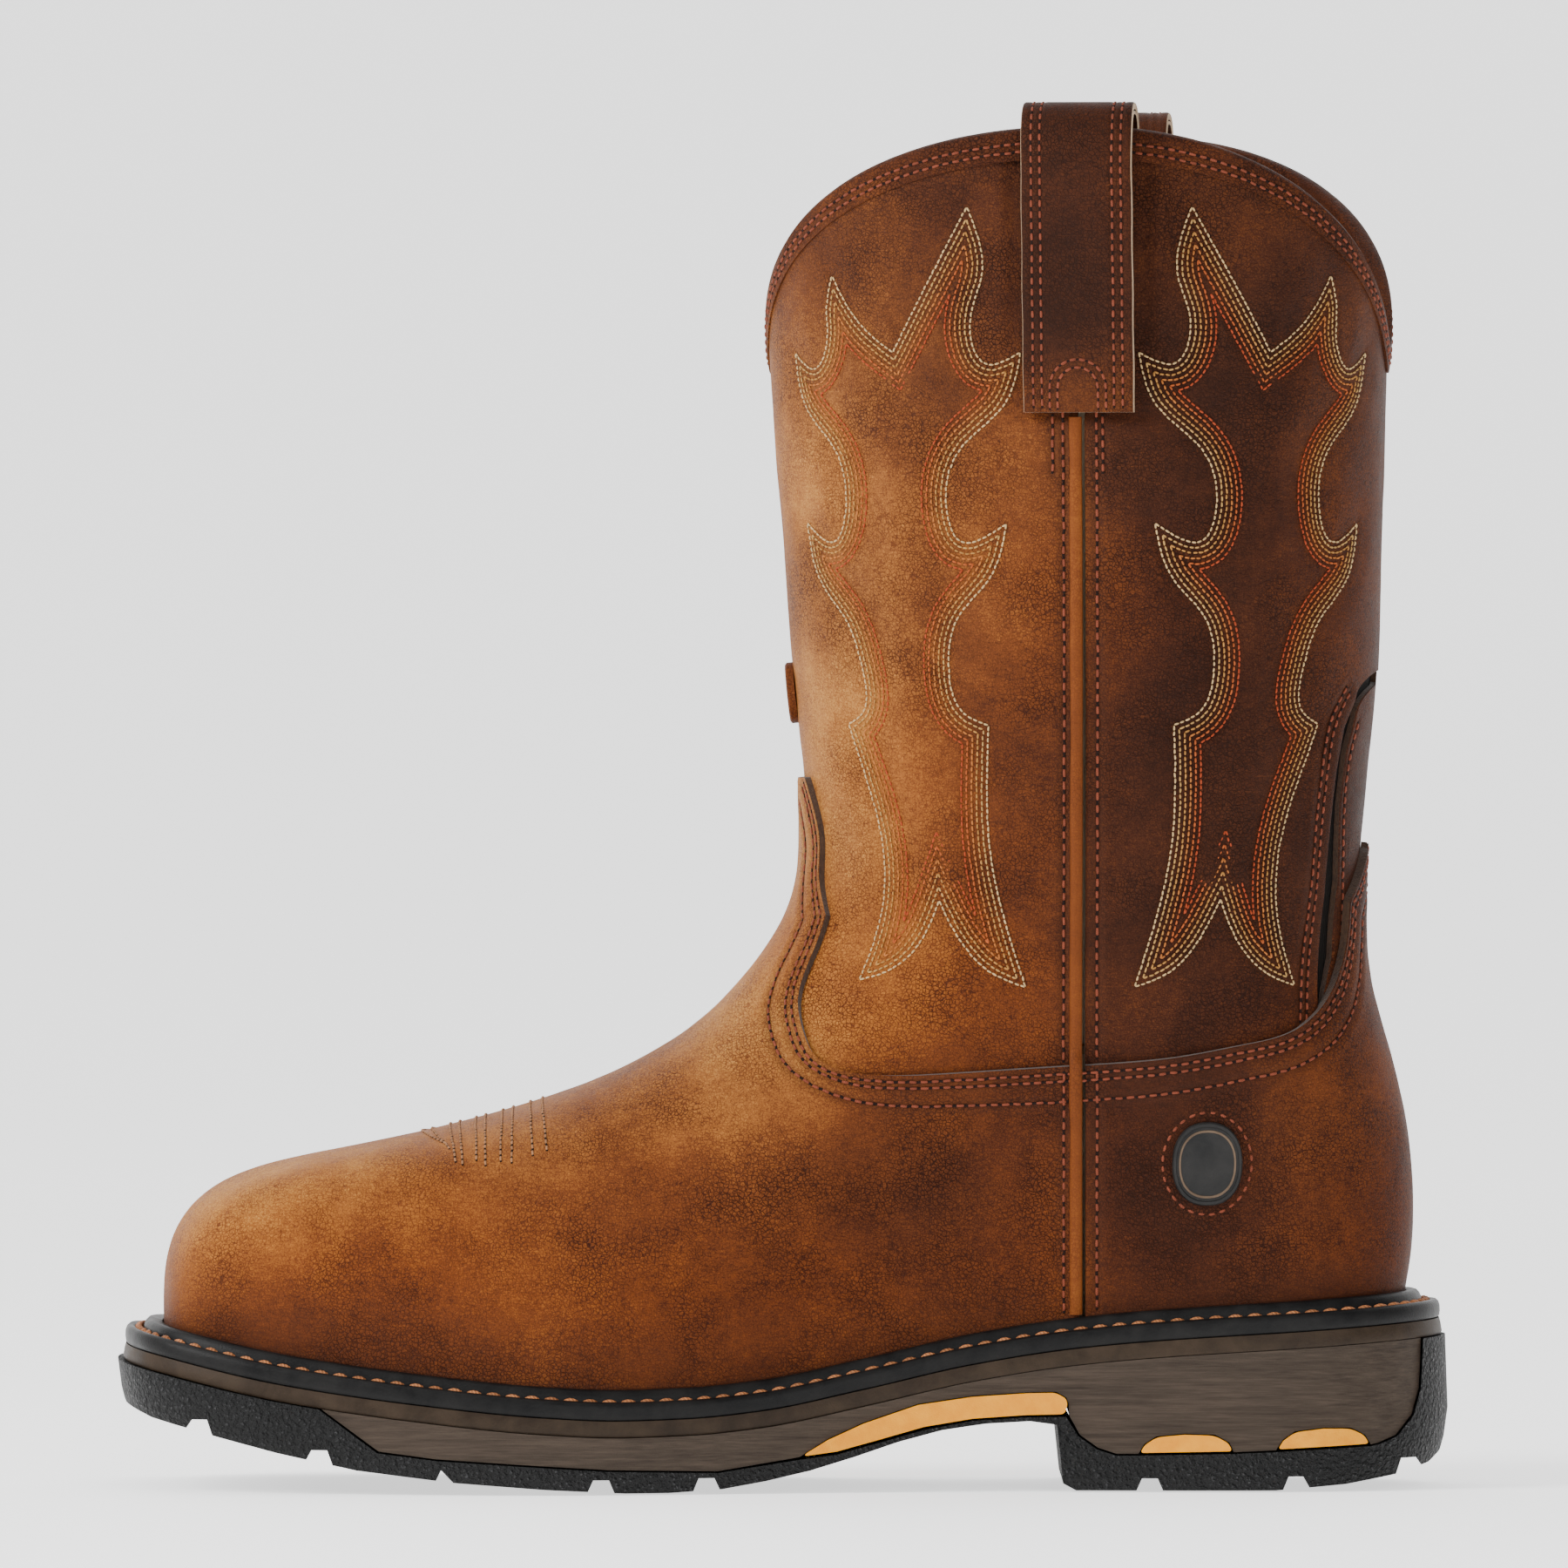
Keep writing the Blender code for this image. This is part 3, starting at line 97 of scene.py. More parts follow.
def unit(vectors):
    return vectors / np.linalg.norm(vectors, axis=-1, keepdims=True)


def arc_length(points, axis=0):
    """Running length along lines of points."""
    steps = np.linalg.norm(np.diff(points, axis=axis), axis=-1)
    return np.insert(np.cumsum(steps, axis=axis), 0, 0.0, axis=axis)


def interp_rows(places, known, values):
    """np.interp for every column of values."""
    return np.stack([np.interp(places, known, column) for column in values.T], 1)


def res(count):
    """A grid count at the chosen density."""
    return max(int(count * FINE), 8)


def pchip(points):
    """Monotone cubic through (x, y) points, carried on straight beyond both ends."""
    xs, ys = np.array(points, float).T
    gap = np.diff(xs)
    rise = np.diff(ys) / gap
    slope = np.zeros(len(xs))
    for k in range(1, len(xs) - 1):
        if rise[k - 1] * rise[k] > 0:
            before, after = 2 * gap[k] + gap[k - 1], gap[k] + 2 * gap[k - 1]
            slope[k] = (before + after) / (before / rise[k - 1] + after / rise[k])
    slope[0], slope[-1] = rise[0], rise[-1]

    def value(x):
        x = np.asarray(x, float)
        k = np.clip(np.searchsorted(xs, x) - 1, 0, len(xs) - 2)
        share = (x - xs[k]) / gap[k]
        t = np.clip(share, 0, 1)
        inside = ((1 + 2 * t) * (1 - t) ** 2 * ys[k] + t * (1 - t) ** 2 * gap[k] * slope[k]
                  + t ** 2 * (3 - 2 * t) * ys[k + 1] + t ** 2 * (t - 1) * gap[k] * slope[k + 1])
        return (inside + np.where(share < 0, share * gap[k] * slope[0], 0)
                + np.where(share > 1, (share - 1) * gap[k] * slope[-1], 0))

    return value


def natural(knots, values):
    """Natural cubic spline through rows of values."""
    knots, values = np.asarray(knots, float), np.asarray(values, float)
    count, gap = len(knots), np.diff(knots)
    matrix, right = np.zeros((count, count)), np.zeros(values.shape)
    matrix[0, 0] = matrix[-1, -1] = 1
    for i in range(1, count - 1):
        matrix[i, i - 1:i + 2] = gap[i - 1], 2 * (gap[i - 1] + gap[i]), gap[i]
        right[i] = 6 * ((values[i + 1] - values[i]) / gap[i]
                        - (values[i] - values[i - 1]) / gap[i - 1])
    bend = np.linalg.solve(matrix, right)

    def value(places):
        places = np.atleast_1d(np.asarray(places, float))
        k = np.clip(np.searchsorted(knots, places) - 1, 0, count - 2)
        low = ((knots[k + 1] - places) / gap[k])[:, None]
        high = ((places - knots[k]) / gap[k])[:, None]
        scale = (gap[k] ** 2 / 6)[:, None]
        return (low * values[k] + high * values[k + 1]
                + ((low ** 3 - low) * bend[k] + (high ** 3 - high) * bend[k + 1]) * scale)

    return value


def point_tree(points):
    tree = kdtree.KDTree(len(points))
    for k, point in enumerate(points):
        tree.insert(point, k)
    tree.balance()
    return tree


def flat_points(plane):
    """Points of a plane with a third coordinate of zero."""
    return np.column_stack([plane, np.zeros(len(plane))])


def distance_to(points):
    """A function that gives places their distance from the points, up to a limit."""
    tree = point_tree(points)

    def measure(places, limit=9.0):
        return np.minimum([tree.find(place)[2] for place in places.tolist()], limit)

    return measure


def hash3(i, j, k, seed):
    mixed = i * 374761393 + j * 668265263 + k * 2147483647 + seed * 1274126177
    mixed = mixed.astype(np.int64) & 0xFFFFFFFF
    mixed = ((mixed ^ (mixed >> 13)) * 1274126177) & 0xFFFFFFFF
    mixed = (mixed ^ (mixed >> 16)) & 0xFFFFFFFF
    return mixed / 0xFFFFFFFF * 2 - 1


def value_noise(points, wavelength, seed):
    """Smooth lattice noise in -1..1 at points in mm."""
    scaled = points / wavelength
    cell = np.floor(scaled).astype(np.int64)
    part = scaled - cell
    part = part * part * part * (part * (part * 6 - 15) + 10)
    total = 0
    for dx in (0, 1):
        for dy in (0, 1):
            for dz in (0, 1):
                weight = 1
                for axis, step in enumerate((dx, dy, dz)):
                    weight = weight * (part[:, axis] if step else 1 - part[:, axis])
                total = total + weight * hash3(cell[:, 0] + dx, cell[:, 1] + dy,
                                               cell[:, 2] + dz, seed)
    return total


# ================================================================ plan outline of the sole
# (x, y) from the toe along the lateral side to the heel and back along the medial side
OUTLINE = [
    (-153, 2), (-151.8, -19), (-146.5, -35), (-133, -45.8), (-110, -52.4), (-80, -56.5),
    (-50, -57), (-20, -51.5), (10, -44), (40, -40), (70, -39.5), (100, -40.3), (124, -37.6),
    (142, -27.5), (150.3, -14), (152.4, 0), (150.3, 14), (142, 27.5), (124, 37.2), (100, 39.5),
    (70, 37.6), (40, 35.2), (10, 37.2), (-20, 45), (-50, 52.6), (-80, 55.6), (-110, 53.6),
    (-133, 48.3), (-146.5, 38.5), (-151.8, 23)]


def outline_halves():
    """Points and outward normals of both halves of the outline, each from toe to heel."""
    lap = 6      # points repeated before and after, so that the closed curve is smooth
    points = np.array(OUTLINE[-lap:] + OUTLINE + OUTLINE[:lap + 1], float)
    arc = arc_length(points)
    loop = natural(arc, points)(np.linspace(arc[lap], arc[lap + len(OUTLINE)], 1441))
    tangent = np.gradient(loop, axis=0)
    tangent[0] = tangent[-1] = loop[1] - loop[-2]
    tangent = unit(tangent)
    normal = np.stack([tangent[:, 1], -tangent[:, 0]], 1)
    heel = int(np.argmax(loop[:, 0]))
    return {-1: (loop[:heel + 1], normal[:heel + 1]),
            1: (loop[heel:][::-1], normal[heel:][::-1])}


HALF = outline_halves()
centre_y = pchip([(-153, 2), (-110, 0.8), (-50, -2.2), (0, -3.4), (40, -2.5), (80, -0.9), (152, 0)])


def superellipse(phi, seam_share, front_power, back_power):
    """(share along the chord, share of the half width) of a closed section.

    phi runs from 0 at the front over 0.5 at the side seam to 1 at the back.
    """
    cosine, sine = np.cos(np.pi * phi), np.sin(np.pi * np.clip(phi, 0, 1))
    front = phi <= 0.5
    power = np.where(front, front_power, back_power)
    along = np.where(front, seam_share * (1 - np.abs(cosine) ** (2 / front_power)),
                     seam_share + (1 - seam_share) * np.abs(cosine) ** (2 / back_power))
    return along, np.abs(sine) ** (2 / power)


# a typical section, 285 mm long and 40 mm wide to each side, that spreads phi along the outline
SECTION_PHI = np.linspace(0, 1, 2001)
SECTION_SEAM = 1000      # index of phi 0.5
_along, _wide = superellipse(SECTION_PHI, 0.736, 2.4, 2.2)
SECTION_ARC = arc_length(np.stack([_along * 285, _wide * 40], 1))


def arc_front(phi):
    seam = SECTION_SEAM
    return np.interp(phi, SECTION_PHI[:seam + 1], SECTION_ARC[:seam + 1] / SECTION_ARC[seam])


def arc_back(phi):
    rest = SECTION_ARC[SECTION_SEAM:] - SECTION_ARC[SECTION_SEAM]
    return np.interp(phi, SECTION_PHI[SECTION_SEAM:], rest / rest[-1])


def outline(phi, side, inset):
    """x and y of the plan outline at phi, moved inwards by inset."""
    phi = np.asarray(phi, float)
    points, normal = HALF[side]
    arc = arc_length(points)
    # the ends are left out: x has to rise steadily
    inner = slice(len(points) // 8, -len(points) // 8)
    seam = np.interp(SEAM_X, points[inner, 0], arc[inner])
    place = np.where(phi <= 0.5, arc_front(phi) * seam, seam + arc_back(phi) * (arc[-1] - seam))
    x, y = interp_rows(place, arc, points).T
    normal_x, normal_y = interp_rows(place, arc, normal).T
    return x - normal_x * inset, y - normal_y * inset


# ================================================================ side profile of the sole
# (x, z)
feather_z = pchip([
    (-153, 40.0), (-142, 37.4), (-114, 31.2), (-83, 26.8), (-55, 24.0), (-38, 23.2), (-22, 23.6),
    (-5, 25.2), (18, 29.8), (43, 35.4), (66, 39.0), (85, 40.8), (123, 43.2), (152, 45.2)])
ground_z = pchip([
    (-154, 24.5), (-150, 19.0), (-144, 16.6), (-129, 12.6), (-115, 9.0), (-97, 5.2), (-75, 2.5),
    (-54, 0.9), (-36, 0.0), (-20, 0.1), (-10, 1.5), (2, 3.8), (14, 7.2), (26, 11.2), (38, 14.2),
    (50, 15.6), (62, 16.0)])
# height the flare of the sole's wall follows
flare_z = pchip([
    (-154, 22.5), (-150, 18.0), (-144, 15.6), (-129, 11.6), (-115, 8.0), (-97, 4.4), (-75, 1.8),
    (-54, 0.2), (-36, -0.4), (110, -0.4), (128, 1.0), (140, 3.0), (147, 5.6), (153, 9.0)])


def welt_z(x):
    return feather_z(x) - WELT_DROP


def band_z(x):
    return welt_z(x) - BAND_T


# sag: how far the feather line hangs below a straight line from toe to heel, kept as a table
SAG_X = np.linspace(-175, 175, 3501)
SAG_Z = (feather_z(SAG_X) - feather_z(TOE_X)
         - (feather_z(HEEL_X) - feather_z(TOE_X)) * (SAG_X - TOE_X) / (HEEL_X - TOE_X))


def sole_sag(x):
    return np.interp(x, SAG_X, SAG_Z)


# ================================================================ the upper's surface
# Each row is one loop round the boot: front x and z, back x and z, half width, squareness at
# front and back, share of the plan outline, share of the sole's sag, share of its centre line.
ROWS = [
    (-8.0, 315.0, 143.0, 315.0, 55.0, 2.10, 2.10, 0.0, 0.0, 0.0),
    (-5.4, 285.0, 140.6, 285.0, 54.2, 2.10, 2.10, 0.0, 0.0, 0.0),
    (-3.0, 255.0, 138.4, 255.0, 53.0, 2.10, 2.10, 0.0, 0.0, 0.0),
    (-1.0, 227.0, 137.4, 227.0, 51.2, 2.10, 2.10, 0.0, 0.0, 0.0),
    (0.8, 200.0, 136.9, 200.5, 49.4, 2.10, 2.10, 0.0, 0.0, 0.0),
    (3.0, 176.0, 136.0, 178.0, 47.6, 2.10, 2.10, 0.0, 0.0, 0.0),
    (5.4, 153.5, 133.8, 157.5, 45.8, 2.10, 2.12, 0.0, 0.0, 0.0),
    (3.6, 133.0, 131.8, 139.5, 44.0, 2.10, 2.14, 0.03, 0.0, 0.15),
    (-9.6, 112.6, 131.4, 123.5, 42.4, 2.12, 2.16, 0.08, 0.02, 0.35),
    (-31.0, 96.2, 133.6, 109.0, 41.0, 2.16, 2.18, 0.16, 0.06, 0.6),
    (-62.6, 83.6, 137.6, 95.0, 39.8, 2.20, 2.20, 0.28, 0.12, 0.85),
    (-95.0, 75.8, 140.6, 81.5, 38.6, 2.30, 2.20, 0.44, 0.24, 1.0),
    (-119.8, 70.4, 141.8, 69.5, 37.4, 2.40, 2.20, 0.62, 0.40, 1.0),
    (-133.8, 62.6, 141.9, 59.0, 36.0, 2.50, 2.20, 0.80, 0.60, 1.0),
    (-139.4, 50.8, 141.2, 50.8, 34.0, 2.60, 2.20, 0.94, 0.82, 1.0),
    (TOE_X, 37.2, HEEL_X, 44.3, 31.0, 2.60, 2.20, 1.0, 1.0, 1.0),
    (-139.6, 31.6, 139.8, 38.7, 30.0, 2.60, 2.20, 1.0, 1.0, 1.0),
]
BULGE = {11: 1.03, 12: 1.045, 13: 1.05, 14: 1.04, 15: 1.0, 16: 0.985}    # row: widening
LAST_ROW = len(ROWS) - 1
# from the plan outline to the upper, (x, inset)
upper_inset = pchip([(-153, 13.0), (-120, 12.0), (-60, 11.2), (60, 11.4), (120, 11.6),
                     (152, 12.2)])
row_weights = natural(np.arange(LAST_ROW + 1), np.eye(LAST_ROW + 1))


def turn_share(z):
    return smooth((z - TURN_LOW) / TURN_RISE)


def control_points(phi, side):
    """The points of every row at each phi, before the column curve and the twist of the shaft."""
    points = np.zeros((LAST_ROW + 1, len(phi), 3))
    plan_x, plan_y = np.zeros(len(phi)), np.zeros(len(phi))
    for half in (-1, 1):
        here = side == half
        if here.any():
            edge_x, _ = outline(phi[here], half, 0.0)
            plan_x[here], plan_y[here] = outline(phi[here], half, upper_inset(edge_x))
    plan_along = (plan_x - TOE_X) / (HEEL_X - TOE_X)
    plan_seam = (SEAM_X - TOE_X) / (HEEL_X - TOE_X)
    plan_half = np.abs(plan_y - centre_y(plan_x) * (1 - (2 * np.abs(phi - .5)) ** 8))
    plan_half = np.where((phi < 1e-6) | (phi > 1 - 1e-6), 0, plan_half)
    for i, row in enumerate(ROWS):
        front_x, front_z, back_x, back_z, width, front_power, back_power = row[:7]
        plan_share, sag_share, centre_share = row[7:]
        # before the twist the seam stands further back higher up, so that it ends upright
        seam_x = SEAM_X + SEAM_BACK * turn_share((front_z + back_z) / 2)
        seam = (seam_x - front_x) / (back_x - front_x)
        free, free_half = superellipse(phi, seam, front_power, back_power)
        plan = np.where(phi <= 0.5, plan_along * seam / plan_seam,
                        1 - (1 - plan_along) * (1 - seam) / (1 - plan_seam))
        along = (1 - plan_share) * free + plan_share * plan
        half = ((1 - plan_share) * free_half * width
                + plan_share * plan_half * BULGE.get(i, 1.0))
        x = front_x + along * (back_x - front_x)
        chord = (1 - along) * sole_sag(front_x) + along * sole_sag(back_x)
        points[i, :, 0] = x
        points[i, :, 1] = side * half + centre_share * centre_y(x)
        points[i, :, 2] = (front_z + along * (back_z - front_z)
                           + sag_share * (sole_sag(x) - chord))
    return points


def spread(phi, row, side):
    """The three place arguments as arrays of one shape."""
    phi = np.atleast_1d(np.asarray(phi, float))
    row = np.broadcast_to(np.atleast_1d(np.asarray(row, float)), phi.shape)
    return phi, row, np.broadcast_to(np.asarray(side), phi.shape)


def surface(phi, row, side):
    """Points of the nominal surface. phi 0 front to 1 back, row 0 top to 15 feather line."""
    phi, row, side = spread(phi, row, side)
    key, inverse = np.unique(phi + 10.0 * side, return_inverse=True)
    key_side = np.where(key > 5, 1, -1)
    control = control_points(key - 10.0 * key_side, key_side)
    weights = row_weights(np.clip(row, 0, LAST_ROW))
    points = np.zeros((len(phi), 3))
    for k in range(LAST_ROW + 1):
        points += weights[:, k, None] * control[k, inverse]
    turn = np.radians(SHAFT_TWIST) * turn_share(points[:, 2])
    dx, dy = points[:, 0] - TWIST_CENTRE[0], points[:, 1] - TWIST_CENTRE[1]
    return np.stack([TWIST_CENTRE[0] + dx * np.cos(turn) - dy * np.sin(turn),
                     TWIST_CENTRE[1] + dx * np.sin(turn) + dy * np.cos(turn), points[:, 2]], 1)


def normals(phi, row, side):
    """Unit outward normals of the nominal surface."""
    phi_step, row_step = 2e-3, 2e-2
    phi, row, side = spread(phi, row, side)

    def beside(place):
        # step over the centre lines by changing side
        other = np.where((place < 0) | (place > 1), -side, side)
        place = np.where(place < 0, -place, np.where(place > 1, 2 - place, place))
        return surface(place, row, other)

    along = beside(phi + phi_step) - beside(phi - phi_step)
    down = (surface(phi, np.clip(row + row_step, 0, LAST_ROW), side)
            - surface(phi, np.clip(row - row_step, 0, LAST_ROW), side))
    return unit(np.cross(along, down) * side[:, None])


def sheet_at(phi, row, side):
    return surface(phi, row, side), normals(phi, row, side)


def surface_grid(phis, side, rows):
    """Points of every column at every row, as (columns, rows, 3)."""
    side = np.repeat(np.broadcast_to(side, (len(phis),)), len(rows))
    points = surface(np.repeat(phis, len(rows)), np.tile(rows, len(phis)), side)
    return points.reshape(len(phis), len(rows), 3)


def row_at_z(phi, side, z):
    """Row where each column first comes down to height z."""
    phi = np.atleast_1d(np.asarray(phi, float))
    level = np.broadcast_to(np.asarray(z, float), phi.shape)
    rows = np.linspace(0, LAST_ROW, 241)
    found = np.zeros(len(phi))
    for i, column in enumerate(surface_grid(phi, side, rows)[..., 2]):
        below = column <= level[i]
        k = int(np.argmax(below)) if below.any() else len(rows) - 1
        if k:
            share = (column[k - 1] - level[i]) / max(column[k - 1] - column[k], 1e-9)
            found[i] = rows[k - 1] + share * (rows[k] - rows[k - 1])
    return found


def single_row(z, side, phi=0.5):
    """Row at height z on one column, the side seam if nothing else is given."""
    return float(row_at_z(phi, side, z)[0])


def row_at_x(phi, side, x):
    """Row where each column reaches the given x, on its way to the toe."""
    target = np.broadcast_to(np.asarray(x, float), phi.shape)
    rows = np.linspace(7, 15.5, 221)
    found = np.zeros(len(phi))
    for i, column in enumerate(surface_grid(phi, side, rows)[..., 0]):
        k = int(np.argmax(column))
        found[i] = np.interp(-target[i], -column[k:], rows[k:])
    return found


def topline_z(phi):
    """Height of the shaft's top edge: high at the seams, a rounded V at front and back."""
    power, blunt = 0.85, 0.09
    sine = np.sin(np.pi * np.clip(phi, 0, 1)) ** power
    share = (np.sqrt(sine * sine + blunt * blunt) - blunt) / (math.sqrt(1 + blunt * blunt) - blunt)
    return TOPLINE_DIP + (TOPLINE_PEAK - TOPLINE_DIP) * share


def top_row(phi, side, drop=0.0):
    return row_at_z(phi, side, topline_z(phi) - drop)


# ================================================================ pattern lines, side view
# (x, z): top edge of the vamp, tongue tip to side seam
VAMP_LINE = [
    (3.8, 162.0), (6.6, 152.4), (7.4, 146.0), (7.2, 139.2), (8.8, 131.2), (6.6, 124.5),
    (3.9, 118.0), (2.6, 111.5), (3.8, 105.5), (6.6, 99.8), (12.0, 96.4), (18.7, 95.0),
    (40.0, 95.0), (67.0, 96.6)]
# top edge of the heel cover, side seam to back tip
HEEL_LINE = [
    (67.0, 96.6), (90.0, 98.6), (106.0, 101.6), (116.6, 104.6), (122.2, 108.8), (127.0, 116.5),
    (129.5, 125.6), (130.2, 134.0), (133.0, 139.6), (135.2, 147.0)]
# rear cut-out of the back panel, and edge of the back strip
CUT_LINE = [
    (121.8, 106.0), (121.8, 113.7), (122.4, 124.2), (123.6, 135.4), (124.6, 148.0),
    (126.2, 164.2), (127.8, 173.4), (130.6, 179.6), (137.0, 186.6)]
STAY_LINE = [
    (122.6, 106.0), (123.4, 113.6), (125.6, 121.4), (127.0, 138.2), (127.4, 156.5),
    (128.8, 168.4), (131.0, 176.0), (137.0, 183.0)]

PATTERN_PHI, PATTERN_ROW = np.linspace(0, 1, 301), np.linspace(2, 14, 241)
PATTERN_GRID = surface_grid(PATTERN_PHI, -1, PATTERN_ROW)


def nearest_places(line):
    """(phi, row) of the grid point nearest each (x, z); the line ends on the back line."""
    places = []
    for x, z in line:
        k = int(np.argmin((PATTERN_GRID[..., 0] - x) ** 2 + (PATTERN_GRID[..., 2] - z) ** 2))
        i, j = divmod(k, len(PATTERN_ROW))
        places.append((PATTERN_PHI[i], PATTERN_ROW[j]))
    places[-1] = (1.0, places[-1][1])
    return np.array(places)


CUT_PLACES, STAY_PLACES = nearest_places(CUT_LINE), nearest_places(STAY_LINE)
CUT_TOP_ROW, CUT_SIDE_ROW = CUT_PLACES[-1, 1], CUT_PLACES[-2, 1]
STAY_SIDE_ROW = STAY_PLACES[-2, 1]


def round_top(places, row):
    """phi of an edge that follows the places, with an oval arch over the last two."""
    row = np.asarray(row, float)
    straight = np.interp(row, places[:-1][::-1, 1], places[:-1][::-1, 0])
    share = np.clip((row - places[-1, 1]) / (places[-2, 1] - places[-1, 1]), 0, 1)
    arch = 1 - (1 - places[-2, 0]) * np.sqrt(1 - (1 - share) ** 2)
    return np.where(row < places[-2, 1], arch, straight)


def cut_phi(row):
    return round_top(CUT_PLACES, row)


def stay_phi(row):
    return round_top(STAY_PLACES, row)


# ================================================================ finding places on the surface
LATERAL_PHI, LATERAL_ROW = np.linspace(0, 1, 401), np.linspace(0, 15.9, 321)
PHI_STEP, ROW_STEP = LATERAL_PHI[1] - LATERAL_PHI[0], LATERAL_ROW[1] - LATERAL_ROW[0]
LATERAL = surface_grid(LATERAL_PHI, -1, LATERAL_ROW)
LATERAL_NORMAL = normals(np.repeat(LATERAL_PHI, len(LATERAL_ROW)),
                         np.tile(LATERAL_ROW, len(LATERAL_PHI)), -1).reshape(LATERAL.shape)


class Chart:
    """A two-number picture of the lateral surface that can be turned back into (phi, row)."""

    def __init__(self, grid):
        self.grid = grid
        self.tree = point_tree(flat_points(grid.reshape(-1, 2)))

    def locate(self, points):
        """(phi, row) of chart points."""
        grid, places = self.grid, []
        for point in np.asarray(points, float):
            _, k, _ = self.tree.find((point[0], point[1], 0))
            i, j = divmod(k, len(LATERAL_ROW))
            i = min(max(i, 1), len(LATERAL_PHI) - 2)
            j = min(max(j, 1), len(LATERAL_ROW) - 2)
            by_phi = (grid[i + 1, j] - grid[i - 1, j]) / 2
            by_row = (grid[i, j + 1] - grid[i, j - 1]) / 2
            off = point - grid[i, j]
            det = cross2(by_phi, by_row)
            phi_cells = row_cells = 0.0
            if abs(det) >= 1e-9:
                phi_cells = min(max(cross2(off, by_row) / det, -2.5), 2.5)
                row_cells = min(max(cross2(by_phi, off) / det, -2.5), 2.5)
            places.append((min(max(LATERAL_PHI[i] + phi_cells * PHI_STEP, 0), 1),
                           LATERAL_ROW[j] + row_cells * ROW_STEP))
        return np.array(places)

    def value(self, places):
        """Chart points of (phi, row)."""
        a = np.clip(places[:, 0] / PHI_STEP, 0, len(LATERAL_PHI) - 1.001)
        b = np.clip(places[:, 1] / ROW_STEP, 0, len(LATERAL_ROW) - 1.001)
        i, j = a.astype(int), b.astype(int)
        s, t = (a - i)[:, None], (b - j)[:, None]
        grid = self.grid
        return (grid[i, j] * (1 - s) * (1 - t) + grid[i + 1, j] * s * (1 - t)
                + grid[i, j + 1] * (1 - s) * t + grid[i + 1, j + 1] * s * t)


def cross2(first, second):
    return first[..., 0] * second[..., 1] - first[..., 1] * second[..., 0]


side_view = Chart(LATERAL[:, :, [0, 2]])
side_view_vamp = Chart((LATERAL + LATERAL_NORMAL * VAMP_OUT)[:, :, [0, 2]])
# unrolled: distance from the side seam (towards the heel) and minus the distance from the top
_around = arc_length(LATERAL, axis=0)
unrolled = Chart(np.stack([_around - _around[len(LATERAL_PHI) // 2],
                           -arc_length(LATERAL, axis=1)], 2))


def curve_through(points, step):
    """Points of a smooth curve through the given ones, about step apart."""
    points = np.asarray(points, float)
    arc = arc_length(points)
    dense = natural(arc, points)(np.linspace(0, arc[-1], max(int(arc[-1] * 3), 8)))
    arc = arc_length(dense)
    count = max(int(round(arc[-1] / step)), 2)
    return interp_rows(np.linspace(0, arc[-1], count + 1), arc, dense)


def crossing(first, second, corner):
    """The crossing of two lines nearest a corner: place on each line, and the point."""
    run, other_run = np.diff(first, axis=0)[:, None], np.diff(second, axis=0)[None]
    between = second[:-1][None] - first[:-1][:, None]
    with np.errstate(divide='ignore', invalid='ignore'):
        share = cross2(between, other_run) / cross2(run, other_run)
        other = cross2(between, run) / cross2(run, other_run)
    hits = np.argwhere((share >= 0) & (share <= 1) & (other >= 0) & (other <= 1))
    if not len(hits):
        return None
    points = [first[i] + run[i, 0] * share[i, j] for i, j in hits]
    best = int(np.argmin([np.hypot(*(point - corner)) for point in points]))
    i, j = hits[best]
    return i + share[i, j], j + other[i, j], points[best]


def offset_spans(spans, distance, closed, reach=34.0):
    """Spans moved to the left of their direction, trimmed where neighbours cross."""
    moved = []
    for span in spans:
        tangent = unit(np.gradient(span, axis=0))
        line = span + np.stack([-tangent[:, 1], tangent[:, 0]], 1) * distance
        moved.append(np.concatenate([[line[0] - tangent[0] * reach], line,
                                     [line[-1] + tangent[-1] * reach]]))
    count = len(moved)
    start, end = [None] * count, [None] * count
    for i in range(count if closed else count - 1):
        follower = (i + 1) % count
        corner = spans[i][-1]
        found = crossing(moved[i], moved[follower], corner)
        if found and np.hypot(*(found[2] - corner)) <= 5.0 * abs(distance) + 2.0:
            end[i] = (found[0], found[2])
            start[follower] = (found[1], found[2])
    trimmed = []
    for i, line in enumerate(moved):
        low, first = start[i] or (1.0, line[1])
        high, last = end[i] or (len(line) - 2.0, line[-2])
        if high > low + 0.5:
            middle = line[int(math.floor(low)) + 1:int(math.ceil(high))]
            trimmed.append(np.concatenate([[first], middle, [last]]))
    return trimmed


# ================================================================ edges of the panels, finely
# both lines have a corner: after the fifth point of the vamp's and the eighth of the heel's
VAMP_SPANS = [curve_through(VAMP_LINE[:5], 0.6), curve_through(VAMP_LINE[4:], 0.6)]
HEEL_SPANS = [curve_through(HEEL_LINE[:8], 0.6), curve_through(HEEL_LINE[7:], 0.6)]


def rising(places, first, last):
    """Places in order of phi, thinned to clear steps, between fixed ends."""
    ordered = places[np.argsort(places[:, 0], kind='stable')]
    ordered = ordered[(ordered[:, 0] > 0.004) & (ordered[:, 0] < 0.996)]
    kept = [ordered[0]]
    for place in ordered[1:]:
        if place[0] > kept[-1][0] + 4e-4:
            kept.append(place)
    return np.concatenate([[first], np.array(kept), [last]])


